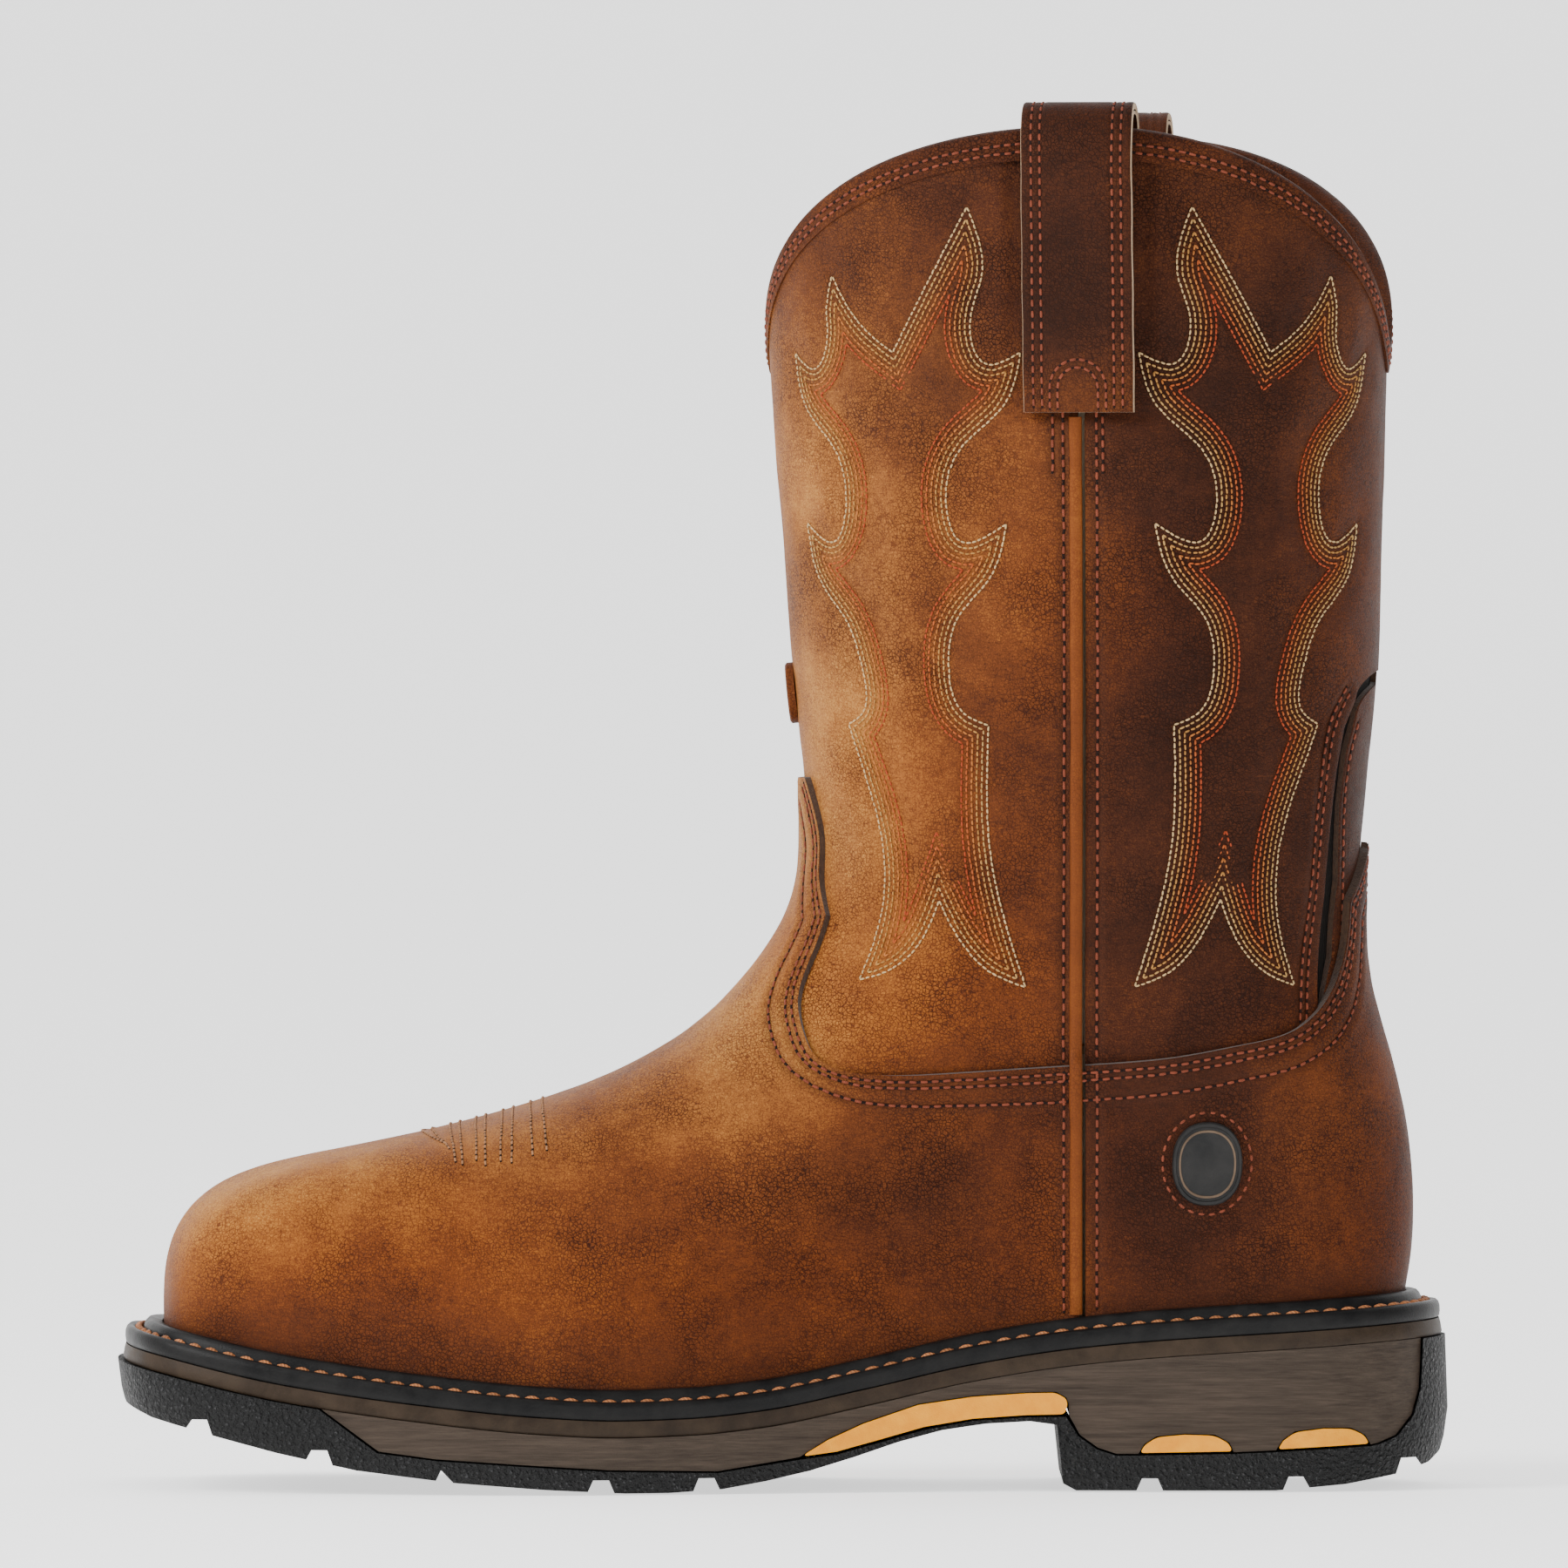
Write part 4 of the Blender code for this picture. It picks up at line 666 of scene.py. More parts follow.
EDGE_SEAM_ROW = float(side_view_vamp.locate([VAMP_LINE[-1]])[0][1])
_vamp = np.concatenate([side_view_vamp.locate(span) for span in VAMP_SPANS])
_heel = np.concatenate([side_view_vamp.locate(span) for span in HEEL_SPANS])
VAMP_EDGE = rising(_vamp, (0.0, _vamp[0][1]), (0.5, EDGE_SEAM_ROW))
HEEL_EDGE = rising(_heel, (0.5, EDGE_SEAM_ROW), (1.0, _heel[-1][1]))


def vamp_edge(phi):
    return np.interp(phi, VAMP_EDGE[:, 0], VAMP_EDGE[:, 1])


def heel_edge(phi):
    return np.interp(phi, HEEL_EDGE[:, 0], HEEL_EDGE[:, 1])


# ================================================================ stitch lines
# A stitch line is an array of (phi, row, side); a row is a list of lines.
def with_side(places, side):
    return np.column_stack([places, np.full(len(places), side)])


# The flame: smooth spans between corners, as (distance from the axis, height) on the unrolled
# shaft. The axis leans towards the seam lower down, clear of the vamp and the rear cut-out.
def flame_axis(v):
    return -45.0 + 13.0 * smooth((-v - 100.0) / 95.0)


FLAME_LOWER = [
    [(31.5, -56.0), (27.5, -68.0), (17.5, -77.5), (13.5, -89.0), (17.0, -99.0), (28.0, -95.0)],
    [(28.0, -95.0), (24.0, -107.0), (15.0, -117.0), (11.5, -128.0), (13.0, -138.0),
     (18.5, -141.0)],
    [(18.5, -141.0), (15.5, -154.0), (13.5, -168.0), (14.5, -183.0), (19.5, -201.0)],
    [(19.5, -201.0), (12.0, -198.0), (5.0, -191.0), (0.0, -181.0)],
]
FLAME_NEAR_SEAM = [
    [(0.0, -56.0), (7.5, -43.0), (19.0, -23.0)],
    [(19.0, -23.0), (22.5, -38.0), (19.5, -50.0), (23.0, -58.5), (31.5, -56.0)],
] + FLAME_LOWER
# the tongue away from the seam stands lower, under the falling collar
FLAME_FAR = [
    [(0.0, -56.0), (6.5, -51.5), (12.0, -46.0), (17.0, -38.5)],
    [(17.0, -38.5), (19.0, -46.5), (19.0, -53.0), (23.0, -59.5), (31.5, -56.0)],
] + FLAME_LOWER
FLAME = [[(flame_axis(v) + w, v) for w, v in line] for line in FLAME_NEAR_SEAM]
FLAME += [[(flame_axis(v) - w, v) for w, v in line[::-1]] for line in FLAME_FAR[::-1]]
FLAME_PITCH, FLAME_COUNT, FLAME_STEP = 1.22, 6, 0.45   # between rows, rows, between points
FLAME_SPANS = [curve_through(line, FLAME_STEP) for line in FLAME]
outer_flame = distance_to(flat_points(np.concatenate(FLAME_SPANS)))


def clear_of_outer(row, distance):
    """The parts of a row that really stand a distance inside the outer row."""
    parts = []
    for span in row:
        clear = outer_flame(flat_points(span), 60.0) > distance * 0.95 - 0.05
        edges = np.flatnonzero(np.diff(np.concatenate([[0], clear.astype(int), [0]])))
        parts += [span[a:b] for a, b in zip(edges[::2], edges[1::2])
                  if (b - a) * FLAME_STEP > 3.0]
    return parts


# the outline runs clockwise, so inwards is to its right
FLAME_ROWS = [clear_of_outer(offset_spans(FLAME_SPANS, -FLAME_PITCH * k, closed=True),
                             FLAME_PITCH * k) for k in range(FLAME_COUNT)]


def quarter(mirror, side):
    """The flame's rows on one quarter of the shaft."""
    turn = (-1, 1) if mirror else (1, 1)
    return [[with_side(unrolled.locate(span * turn), side) for span in row]
            for row in FLAME_ROWS]


FLAMES = {(name, side): quarter(name == 'back', side)
          for name in ('front', 'back') for side in (-1, 1)}


def edge_rows(spans, chart, distances):
    """Rows that follow an edge at the given distances, on both sides of the boot."""
    spans = [curve_through(unrolled.value(chart.locate(span)), 0.5) for span in spans]
    rows = [[unrolled.locate(line) for line in offset_spans(spans, distance, closed=False)]
            for distance in distances]
    return [[with_side(line, side) for line in row] for side in (-1, 1) for row in rows]


EDGE_DISTANCES = (-1.7, -3.4, -8.0)
vamp_rows = edge_rows(VAMP_SPANS, side_view_vamp, EDGE_DISTANCES)
heel_rows = edge_rows(HEEL_SPANS, side_view_vamp, EDGE_DISTANCES)
cut_rows = edge_rows([curve_through(CUT_LINE[:-1], 0.6)], side_view, (3.2, 5.0))
stay_rows = edge_rows([curve_through(STAY_LINE[:-1], 0.6)], side_view, (-2.2,))

# phi against distance from the side seam, in many rows; the columns are closest at the seam
_offsets = np.concatenate([-(np.linspace(1, 0, 70) ** 2), np.linspace(0, 1, 70)[1:] ** 2])
NEAR_PHI = 0.5 + _offsets * 0.06
NEAR_ROW = np.linspace(0, 15.9, 160)
NEAR_DISTANCE = arc_length(surface_grid(NEAR_PHI, -1, NEAR_ROW), axis=0)
NEAR_DISTANCE -= NEAR_DISTANCE[69:70]


def phi_beside_seam(distance, row):
    """phi of the points a distance from the side seam, at each row."""
    table = np.array([np.interp(distance, column, NEAR_PHI) for column in NEAR_DISTANCE.T])
    return np.interp(row, NEAR_ROW, table)


def seam_line(distance, z_top, z_bottom, side):
    """A line beside the side seam, a fixed distance from it."""
    row = np.linspace(single_row(z_top, -1), single_row(z_bottom, -1), 240)
    return with_side(np.stack([phi_beside_seam(distance, row), row], 1), side)


EDGE_SEAM_Z = float(surface([0.5], [EDGE_SEAM_ROW], -1)[0][2])
SEAM_PLACES = [(side, distance) for side in (-1, 1) for distance in (-3.8, 3.8)]
seam_rows_upper = [[seam_line(distance, 246.5, EDGE_SEAM_Z + 0.8, side)]
                   for side, distance in SEAM_PLACES]
seam_rows_lower = [[seam_line(distance, EDGE_SEAM_Z - 1.0, SEAM_BOTTOM, side)]
                   for side, distance in SEAM_PLACES]
# short rows below the pull straps
strap_leg_rows = [[seam_line(distance, 245.0, 231.5, side)]
                  for side in (-1, 1) for distance in (-6.2, 5.2)]


# ================================================================ relief of the leather
def near_rows(rows):
    """Distance from the stitch lines of the rows."""
    every = np.concatenate([line for row in rows for line in row])
    return distance_to(surface(every[:, 0], every[:, 1], every[:, 2].astype(int)))


near_vamp = near_rows(vamp_rows + heel_rows + seam_rows_lower)
near_shaft = near_rows(seam_rows_upper + strap_leg_rows + cut_rows + stay_rows)
near_flame = {key: near_rows(rows) for key, rows in FLAMES.items()}
near_top_edge = near_rows([[with_side(edge, side) for side in (-1, 1)]
                           for edge in (VAMP_EDGE, HEEL_EDGE)])
STRAP_X = {side: surface([0.5], [single_row(278.0, side)], side)[0][0] for side in (-1, 1)}


def swell(points):
    """Slow unevenness of the hide, in mm."""
    return (0.32 * value_noise(points, 34.0, 3) + 0.12 * value_noise(points, 13.0, 5)
            + 0.035 * value_noise(points, 4.5, 9))


def rise_off_flame(distance):
    """The leather stands higher away from the flame rows."""
    return 0.42 * smooth((distance - 0.8) / 7.0)


def relief_shaft(points, which, side):
    relief = swell(points)
    distance = near_shaft(points)
    relief -= SHAFT_GROOVE * bell(distance, 0.8) - 0.10 * bell(distance - 2.2, 0.9)
    for half in (-1, 1):
        here = side == half
        distance = near_flame[(which, half)](points[here], 12.0)
        relief[here] -= FLAME_GROOVE * bell(distance, 1.1) - rise_off_flame(distance)
        # pressed flat where the pull strap lies
        flat = (smooth((18.5 - np.abs(points[here, 0] - STRAP_X[half])) / 4.0)
                * smooth((points[here, 2] - 242.8) / 2.4))
        relief[here] = relief[here] * (1 - flat) - 0.40 * flat
    return relief - SHAFT_DROP


def vamp_close(points):
    """How much closer the vamp and heel cover lie to the shaft near their top edges, 0..1."""
    return bell(near_top_edge(points, 30.0), 9.0)


def vamp_out(points):
    return VAMP_OUT - 0.75 * vamp_close(points)


def relief_vamp(points):
    distance = near_vamp(points)
    return (swell(points) - VAMP_GROOVE * bell(distance, 0.8)
            + 0.12 * bell(distance - 2.3, 0.9))


# tone of the leather: listed patches, (x, z, lightness, warmth); the lightness mixes the hide's own
# uneven tone with painted light: lighter on the toe top, instep and shaft front, darker in painted
# shade at the rear and low on the toe
TONE_AND_LIGHT_PATCHES = np.array([
    (-122, 68, 0.86, 0.62), (-128, 52, 0.74, 0.8), (-112, 48, 0.56, 0.95), (-118, 36, 0.15, 1.0),
    (-92, 74, 0.74, 0.6), (-80, 60, 0.50, 0.95), (-85, 40, 0.36, 1.0), (-62, 80, 0.66, 0.45),
    (-55, 62, 0.46, 0.8), (-60, 46, 0.46, 0.95), (-60, 30, 0.38, 0.95), (-35, 88, 0.60, 0.5),
    (-30, 66, 0.40, 0.75), (-25, 48, 0.42, 0.95), (-30, 30, 0.42, 1.0), (-8, 104, 0.84, 0.5),
    (-4, 88, 0.64, 0.55), (0, 68, 0.30, 0.7), (5, 50, 0.36, 0.95), (0, 34, 0.34, 1.0),
    (30, 84, 0.34, 0.75), (36, 64, 0.28, 0.6), (35, 46, 0.36, 0.95), (58, 84, 0.30, 0.8),
    (58, 58, 0.33, 0.9), (60, 44, 0.40, 1.0), (4, 120, 0.62, 0.7), (8, 150, 0.78, 0.35),
    (8, 180, 0.74, 0.4), (6, 205, 0.56, 0.3), (10, 232, 0.72, 0.5), (8, 256, 0.62, 0.35),
    (20, 275, 0.34, 0.35), (45, 295, 0.24, 0.4), (30, 245, 0.40, 0.35), (28, 215, 0.62, 0.5),
    (40, 196, 0.42, 0.5), (28, 165, 0.62, 0.75), (30, 135, 0.56, 0.7), (24, 112, 0.58, 0.85),
    (50, 230, 0.46, 0.6), (56, 205, 0.50, 0.75), (52, 170, 0.32, 0.6), (54, 140, 0.34, 0.8),
    (52, 110, 0.46, 0.9), (62, 180, 0.30, 0.8), (78, 205, 0.26, 0.7), (80, 235, 0.20, 0.35),
    (82, 170, 0.14, 0.4), (80, 130, 0.16, 0.35), (86, 105, 0.18, 0.5), (100, 220, 0.16, 0.3),
    (104, 260, 0.14, 0.2), (100, 290, 0.22, 0.4), (104, 190, 0.16, 0.35), (104, 160, 0.16, 0.3),
    (106, 125, 0.18, 0.3), (126, 250, 0.30, 0.45), (130, 215, 0.30, 0.6), (130, 190, 0.28, 0.55),
    (122, 160, 0.20, 0.4), (78, 86, 0.18, 0.6), (90, 66, 0.14, 0.35), (100, 86, 0.20, 0.45),
    (118, 84, 0.42, 0.6), (128, 100, 0.34, 0.8), (122, 66, 0.36, 0.7), (136, 66, 0.26, 0.9),
    (110, 50, 0.26, 0.6), (132, 48, 0.34, 0.9), (84, 46, 0.24, 0.7),
], float)
PATCH_REACH = 11.0


def tone_and_light_of(points):
    """Lightness and warmth of the leather at points, from nearby patches; the lightness carries
    painted light and shade as well as the hide's own tone.
    """
    squared = ((points[:, None, 0] - TONE_AND_LIGHT_PATCHES[None, :, 0]) ** 2
               + (points[:, None, 2] - TONE_AND_LIGHT_PATCHES[None, :, 1]) ** 2)
    weight = np.exp(-squared / (2 * PATCH_REACH ** 2)) + 1e-9 + 1e-3 / (1 + squared)
    weight /= weight.sum(1)[:, None]
    return weight @ TONE_AND_LIGHT_PATCHES[:, 2], weight @ TONE_AND_LIGHT_PATCHES[:, 3]


def leather_attrs(count, tone, warm, shade=0.0):
    """The attributes the leather material reads, one value for each vertex."""
    blank = np.zeros(count)
    # tone and warm carry the hide's colour and painted light, shade the painted shade
    return {'tone': np.clip(tone + blank, 0, 1), 'warm': np.clip(warm + blank, 0, 1),
            'shade': shade + blank}


# ================================================================ meshes
def mesh_object(name, verts, faces, mats, face_mats=None, sharp=35.0, attrs=None, uv=None):
    """An object from points in mm. faces is a list of arrays, one for each face size."""
    faces = [np.asarray(group, np.int32) for group in faces]
    mesh = bpy.data.meshes.new(name)
    mesh.vertices.add(len(verts))
    mesh.vertices.foreach_set('co', (np.asarray(verts, np.float32) * MM).ravel())
    sizes = np.concatenate([np.full(len(group), group.shape[1], np.int32) for group in faces])
    corners = np.concatenate([group.ravel() for group in faces])
    mesh.loops.add(len(corners))
    mesh.loops.foreach_set('vertex_index', corners)
    mesh.polygons.add(len(sizes))
    starts = np.concatenate([[0], np.cumsum(sizes)[:-1]]).astype(np.int32)
    mesh.polygons.foreach_set('loop_start', starts)
    for mat in mats:
        mesh.materials.append(mat)
    if face_mats is not None:
        mesh.polygons.foreach_set('material_index', np.asarray(face_mats, np.int32))
    mesh.update(calc_edges=True)
    mesh.validate()
    for key, values in (attrs or {}).items():
        values = np.asarray(values, np.float32)
        if values.ndim == 1:
            layer = mesh.attributes.new(key, 'FLOAT', 'POINT')
            layer.data.foreach_set('value', values)
        else:
            layer = mesh.attributes.new(key, 'FLOAT_COLOR', 'POINT')
            opaque = np.ones((len(values), 1), np.float32)
            layer.data.foreach_set('color', np.concatenate([values, opaque], 1).ravel())
    if uv is not None:
        layer = mesh.uv_layers.new(name='UVMap')
        layer.data.foreach_set('uv', np.asarray(uv, np.float32)[corners].ravel())
    mesh.shade_smooth()
    if sharp:
        mesh.set_sharp_from_angle(angle=math.radians(sharp))
    return link(name, mesh)


def link(name, data):
    made = bpy.data.objects.new(name, data)
    bpy.context.scene.collection.objects.link(made)
    return made


def face_outwards(mesh):
    edit = bmesh.new()
    edit.from_mesh(mesh)
    bmesh.ops.recalc_face_normals(edit, faces=edit.faces)
    edit.to_mesh(mesh)
    edit.free()


def put(piece, body, slot, *replaced):
    """Tell the frame which body a piece rides on and hide the CAD pieces it replaces; slot is not
    used.
    """
    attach(piece, body)
    if replaced:
        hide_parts(*replaced)


def grid_quads(cols, rows):
    corner = (np.arange(cols - 1)[:, None] * rows + np.arange(rows - 1)[None, :]).ravel()
    return np.stack([corner, corner + 1, corner + 1 + rows, corner + rows], 1)


def shell(name, sheet, lift_out, lift_in, mats, attrs=None, rim_drop=0.22):
    """A closed layer. mats are for its outer skin, its inner skin and its cut edge."""
    points, norms, quads = sheet
    count = len(points)
    lift_out = np.broadcast_to(lift_out, count).astype(float).copy()
    lift_in = np.broadcast_to(lift_in, count)
    edges = np.concatenate([quads[:, [k, (k + 1) % 4]] for k in range(4)])
    code = edges[:, 0].astype(np.int64) * count + edges[:, 1]
    reverse = edges[:, 1].astype(np.int64) * count + edges[:, 0]
    rim = edges[~np.isin(code, reverse)]
    lift_out[np.unique(rim)] -= rim_drop
    verts = np.concatenate([points + norms * lift_out[:, None],
                            points + norms * lift_in[:, None]])
    walls = np.stack([rim[:, 1], rim[:, 0], rim[:, 0] + count, rim[:, 1] + count], 1)
    faces = np.concatenate([quads, quads[:, ::-1] + count, walls])
    face_mats = np.repeat([0, 1, 2], [len(quads), len(quads), len(walls)])
    both = {key: np.concatenate([values, values]) for key, values in (attrs or {}).items()}
    return mesh_object(name, verts, [faces], mats, face_mats, attrs=both)


def panel_columns(front, per_side):
    """(phi, side) of the columns of a front or back panel, close where the edge is steep."""
    fine = np.linspace(0, 0.5, 1200) if front else np.linspace(0.5, 1, 1200)
    edge = vamp_edge(fine) if front else heel_edge(fine)
    length = sum(arc_length(surface(fine, row, -1)) for row in (edge, 13.5, 3.0))
    phi = np.interp(np.linspace(0, length[-1], per_side), length, fine)
    if front:
        seam = 0.5 - SEAM_GAP
        phi = np.append(phi[phi < seam - 1e-4], seam)[::-1]
        side = np.repeat([1, -1], [len(phi), len(phi) - 1])
    else:
        seam = 0.5 + SEAM_GAP
        phi = np.concatenate([[seam], phi[phi > seam + 1e-4]])
        phi[-1] = 1.0
        side = np.repeat([-1, 1], [len(phi) - 1, len(phi)])
    return np.concatenate([phi, phi[::-1][1:]]), side


def spread_rows(top, bottom, count, side, phi):
    """Rows from top to bottom of every column, evenly spaced on the surface."""
    share = np.linspace(0, 1, 41)
    rows = top[:, None] + (bottom - top)[:, None] * share[None]
    points = surface(np.repeat(phi, 41), rows.ravel(), np.repeat(side, 41))
    arc = arc_length(points.reshape(len(phi), 41, 3), axis=1)
    return np.array([np.interp(np.linspace(0, length[-1], count), length, column)
                     for length, column in zip(arc, rows)])


def column_panel(front, per_side, count, shaft, edge_shift, gap, end=UPPER_END):
    """A front or back panel: (points, normals, quads), then the rows and sides of its points.

    A shaft panel runs from the topline to the vamp's or heel cover's edge, any other from that
    edge to the end row. edge_shift moves the edge down; gap is from the seam to the side edges.
    """
    phi, side = panel_columns(front, per_side)
    edge = (vamp_edge if front else heel_edge)(phi) + edge_shift
    if shaft:
        top, bottom = top_row(phi, side), edge
    else:
        top, bottom = edge, np.full(len(phi), end)
    row = spread_rows(top, bottom, count, side, phi).ravel()
    quads = grid_quads(len(phi), count)
    phi, side = np.repeat(phi, count), np.repeat(side, count)
    limit = phi_beside_seam(-gap if front else gap, row)
    share = (phi if front else 1 - phi) / (0.5 - SEAM_GAP)
    phi = phi + (limit - (0.5 - SEAM_GAP if front else 0.5 + SEAM_GAP)) * share ** 8
    return (*sheet_at(phi, row, side), quads), row, side


def swept(name, rings, mats, closed=False, attrs=None, sharp=35.0, face_mats=0, cap_mat=0):
    """A skin over rings of points; open ends get caps. face_mats spreads over (steps, ring)."""
    rings = np.asarray(rings, float)
    count, size = rings.shape[:2]
    i = np.arange(count if closed else count - 1)
    ring, after = np.arange(size)[None], (np.arange(size)[None] + 1) % size
    this, following = i[:, None] * size, ((i + 1) % count)[:, None] * size
    quads = np.stack([(this + ring).ravel(), (this + after).ravel(),
                      (following + after).ravel(), (following + ring).ravel()], 1)
    faces, face_mats = [quads], np.broadcast_to(face_mats, (len(i), size)).ravel()
    if not closed:
        last = np.arange((count - 1) * size, count * size)
        faces.append(np.array([np.arange(size), last[::-1]]))
        face_mats = np.concatenate([face_mats, [cap_mat] * 2])
    made = mesh_object(name, rings.reshape(-1, 3), faces, mats, face_mats, sharp, attrs)
    face_outwards(made.data)
    return made


# ================================================================ shaders
class Shader:
    """A material with short ways to add nodes."""
    SOCKETS = {'colour': 'Base Color', 'rough': 'Roughness', 'normal': 'Normal',
               'sheen': 'Sheen Weight', 'sheen_rough': 'Sheen Roughness'}

    def __init__(self, name, rough=0.5, metal=0.0, spec=0.5):
        self.material = bpy.data.materials.new(name)
        self.material.use_nodes = True
        self.tree = self.material.node_tree
        self.bsdf = self.tree.nodes['Principled BSDF']
        self.bsdf.inputs['Roughness'].default_value = rough
        self.bsdf.inputs['Metallic'].default_value = metal
        self.bsdf.inputs['Specular IOR Level'].default_value = spec
        self.position = None

    def node(self, kind, inputs=None, **props):
        made = self.tree.nodes.new(kind)
        for key, value in props.items():
            setattr(made, key, value)
        for key, value in (inputs or {}).items():
            self.set(made.inputs[key], value)
        return made

    def set(self, socket, value):
        if isinstance(value, bpy.types.NodeSocket):
            self.tree.links.new(value, socket)
        elif isinstance(value, (tuple, list)) and len(value) == 3 and socket.type == 'RGBA':
            socket.default_value = (*value, 1.0)
        else:
            socket.default_value = value

    @property
    def mm(self):
        """Position on the object in millimetres."""
        if self.position is None:
            coords = self.node('ShaderNodeTexCoord').outputs['Object']
            self.position = self.node('ShaderNodeMapping', {
                'Vector': coords, 'Scale': (1000, 1000, 1000)}).outputs[0]
        return self.position

    def stretch(self, scale, rotation=(0, 0, 0), location=(0, 0, 0)):
        return self.node('ShaderNodeMapping', {
            'Vector': self.mm, 'Scale': scale, 'Rotation': rotation,
            'Location': location}).outputs[0]

    def noise(self, scale=1.0, detail=3.0, rough=0.55, distort=0.0, vec=None):
        return self.node('ShaderNodeTexNoise', {
            'Vector': vec or self.mm, 'Scale': scale, 'Detail': detail, 'Roughness': rough,
            'Distortion': distort}).outputs[0]

    def warped(self, scale):
        """Position shaken by noise."""
        shake = self.node('ShaderNodeTexNoise', {'Vector': self.mm, 'Scale': scale,
                                                 'Detail': 2.0})
        return self.node('ShaderNodeVectorMath', {0: self.mm, 1: shake.outputs[1]},
                         operation='ADD').outputs[0]

    def voronoi(self, scale, feature='F1', vec=None):
        return self.node('ShaderNodeTexVoronoi', {'Vector': vec or self.mm, 'Scale': scale},
                         feature=feature).outputs['Distance']

    def wave(self, direction, **inputs):
        """Bands; inputs are named as on the node."""
        vec = inputs.pop('vec', None) or self.mm
        return self.node('ShaderNodeTexWave', {'Vector': vec, **inputs},
                         bands_direction=direction).outputs[1]

    def math(self, operation, first, second, third=None, clamp=False):
        made = self.node('ShaderNodeMath', {0: first, 1: second}, operation=operation,
                         use_clamp=clamp)
        if third is not None:
            self.set(made.inputs[2], third)
        return made.outputs[0]

    def plus(self, base, pattern, amount):
        """base + pattern * amount"""
        return self.math('MULTIPLY_ADD', pattern, amount, base)

    def vary(self, base, pattern, amount, centre=0.5):
        """base + (pattern - centre) * amount"""
        return self.plus(base, self.math('SUBTRACT', pattern, centre), amount)

    def blend(self, first, amount, second, rest):
        """first * amount + second * rest"""
        return self.math('MULTIPLY_ADD', first, amount, self.math('MULTIPLY', second, rest))

    def span(self, value, low, high, to_low=0.0, to_high=1.0, kind='LINEAR'):
        return self.node('ShaderNodeMapRange', {
            'Value': value, 'From Min': low, 'From Max': high, 'To Min': to_low,
            'To Max': to_high}, interpolation_type=kind).outputs[0]

    def ramp(self, value, stops):
        made = self.node('ShaderNodeValToRGB', {'Fac': value})
        elements = made.color_ramp.elements
        while len(elements) < len(stops):
            elements.new(0.5)
        for element, (position, colour) in zip(elements, stops):
            element.position = position
            element.color = (*colour, 1)
        return made.outputs[0]

    def mix(self, share, first, second):
        return self.node('ShaderNodeMix', {0: share, 6: first, 7: second},
                         data_type='RGBA').outputs[2]

    def attr(self, name, output='Fac'):
        return self.node('ShaderNodeAttribute', attribute_name=name).outputs[output]

    def bump(self, height, strength, depth, normal=None):
        """depth is in mm."""
        inputs = {'Height': height, 'Strength': strength, 'Distance': depth * MM}
        if normal is not None:
            inputs['Normal'] = normal
        return self.node('ShaderNodeBump', inputs).outputs[0]

    def finish(self, **values):
        for key, value in values.items():
            self.set(self.bsdf.inputs[self.SOCKETS[key]], value)
        return self.material


# leather colour from dark to light, (tone, colour)
WARM = [(0.0, (0.022, 0.0055, 0.0022)), (0.22, (0.062, 0.0145, 0.0042)),
        (0.45, (0.155, 0.038, 0.0070)), (0.66, (0.315, 0.100, 0.0145)),
        (0.85, (0.48, 0.200, 0.034)), (1.0, (0.60, 0.31, 0.072))]
COOL = [(0.0, (0.019, 0.0068, 0.0036)), (0.22, (0.046, 0.0150, 0.0068)),
        (0.45, (0.108, 0.0375, 0.0125)), (0.66, (0.245, 0.102, 0.030)),
        (0.85, (0.42, 0.220, 0.070)), (1.0, (0.58, 0.36, 0.15))]
# painted shade: the colour the leather turns to where the shade attribute is set
SHADED_LEATHER = (0.05, 0.018, 0.010)
# scuff lines: (rotation, noise level above which a line shows)
SCUFFS = (((0.3, 0.7, 0.5), 0.7), ((1.1, 2.2, 0.2), 0.72), ((0.4, 1.4, 1.7), 0.72))


def scuff_lines(mat):
    """Long thin lines in a few directions, each kind only in places."""
    scuff = None
    for k, (rotation, level) in enumerate(SCUFFS):
        vec = mat.stretch((0.05, 0.05, 1.5), rotation, location=(7.0 * k, 3.0, 1.0))
        line = mat.span(mat.noise(detail=2, rough=0.5, distort=0.15, vec=vec),
                        low=level, high=level + 0.06)
        vec = mat.stretch((1, 1, 1), location=(31.0 * k, 0, 9))
        where = mat.span(mat.noise(scale=0.05, detail=2, rough=0.5, vec=vec), low=0.5, high=0.62)
        line = mat.math('MULTIPLY', line, where)
        scuff = line if scuff is None else mat.math('MAXIMUM', scuff, line)
    return scuff


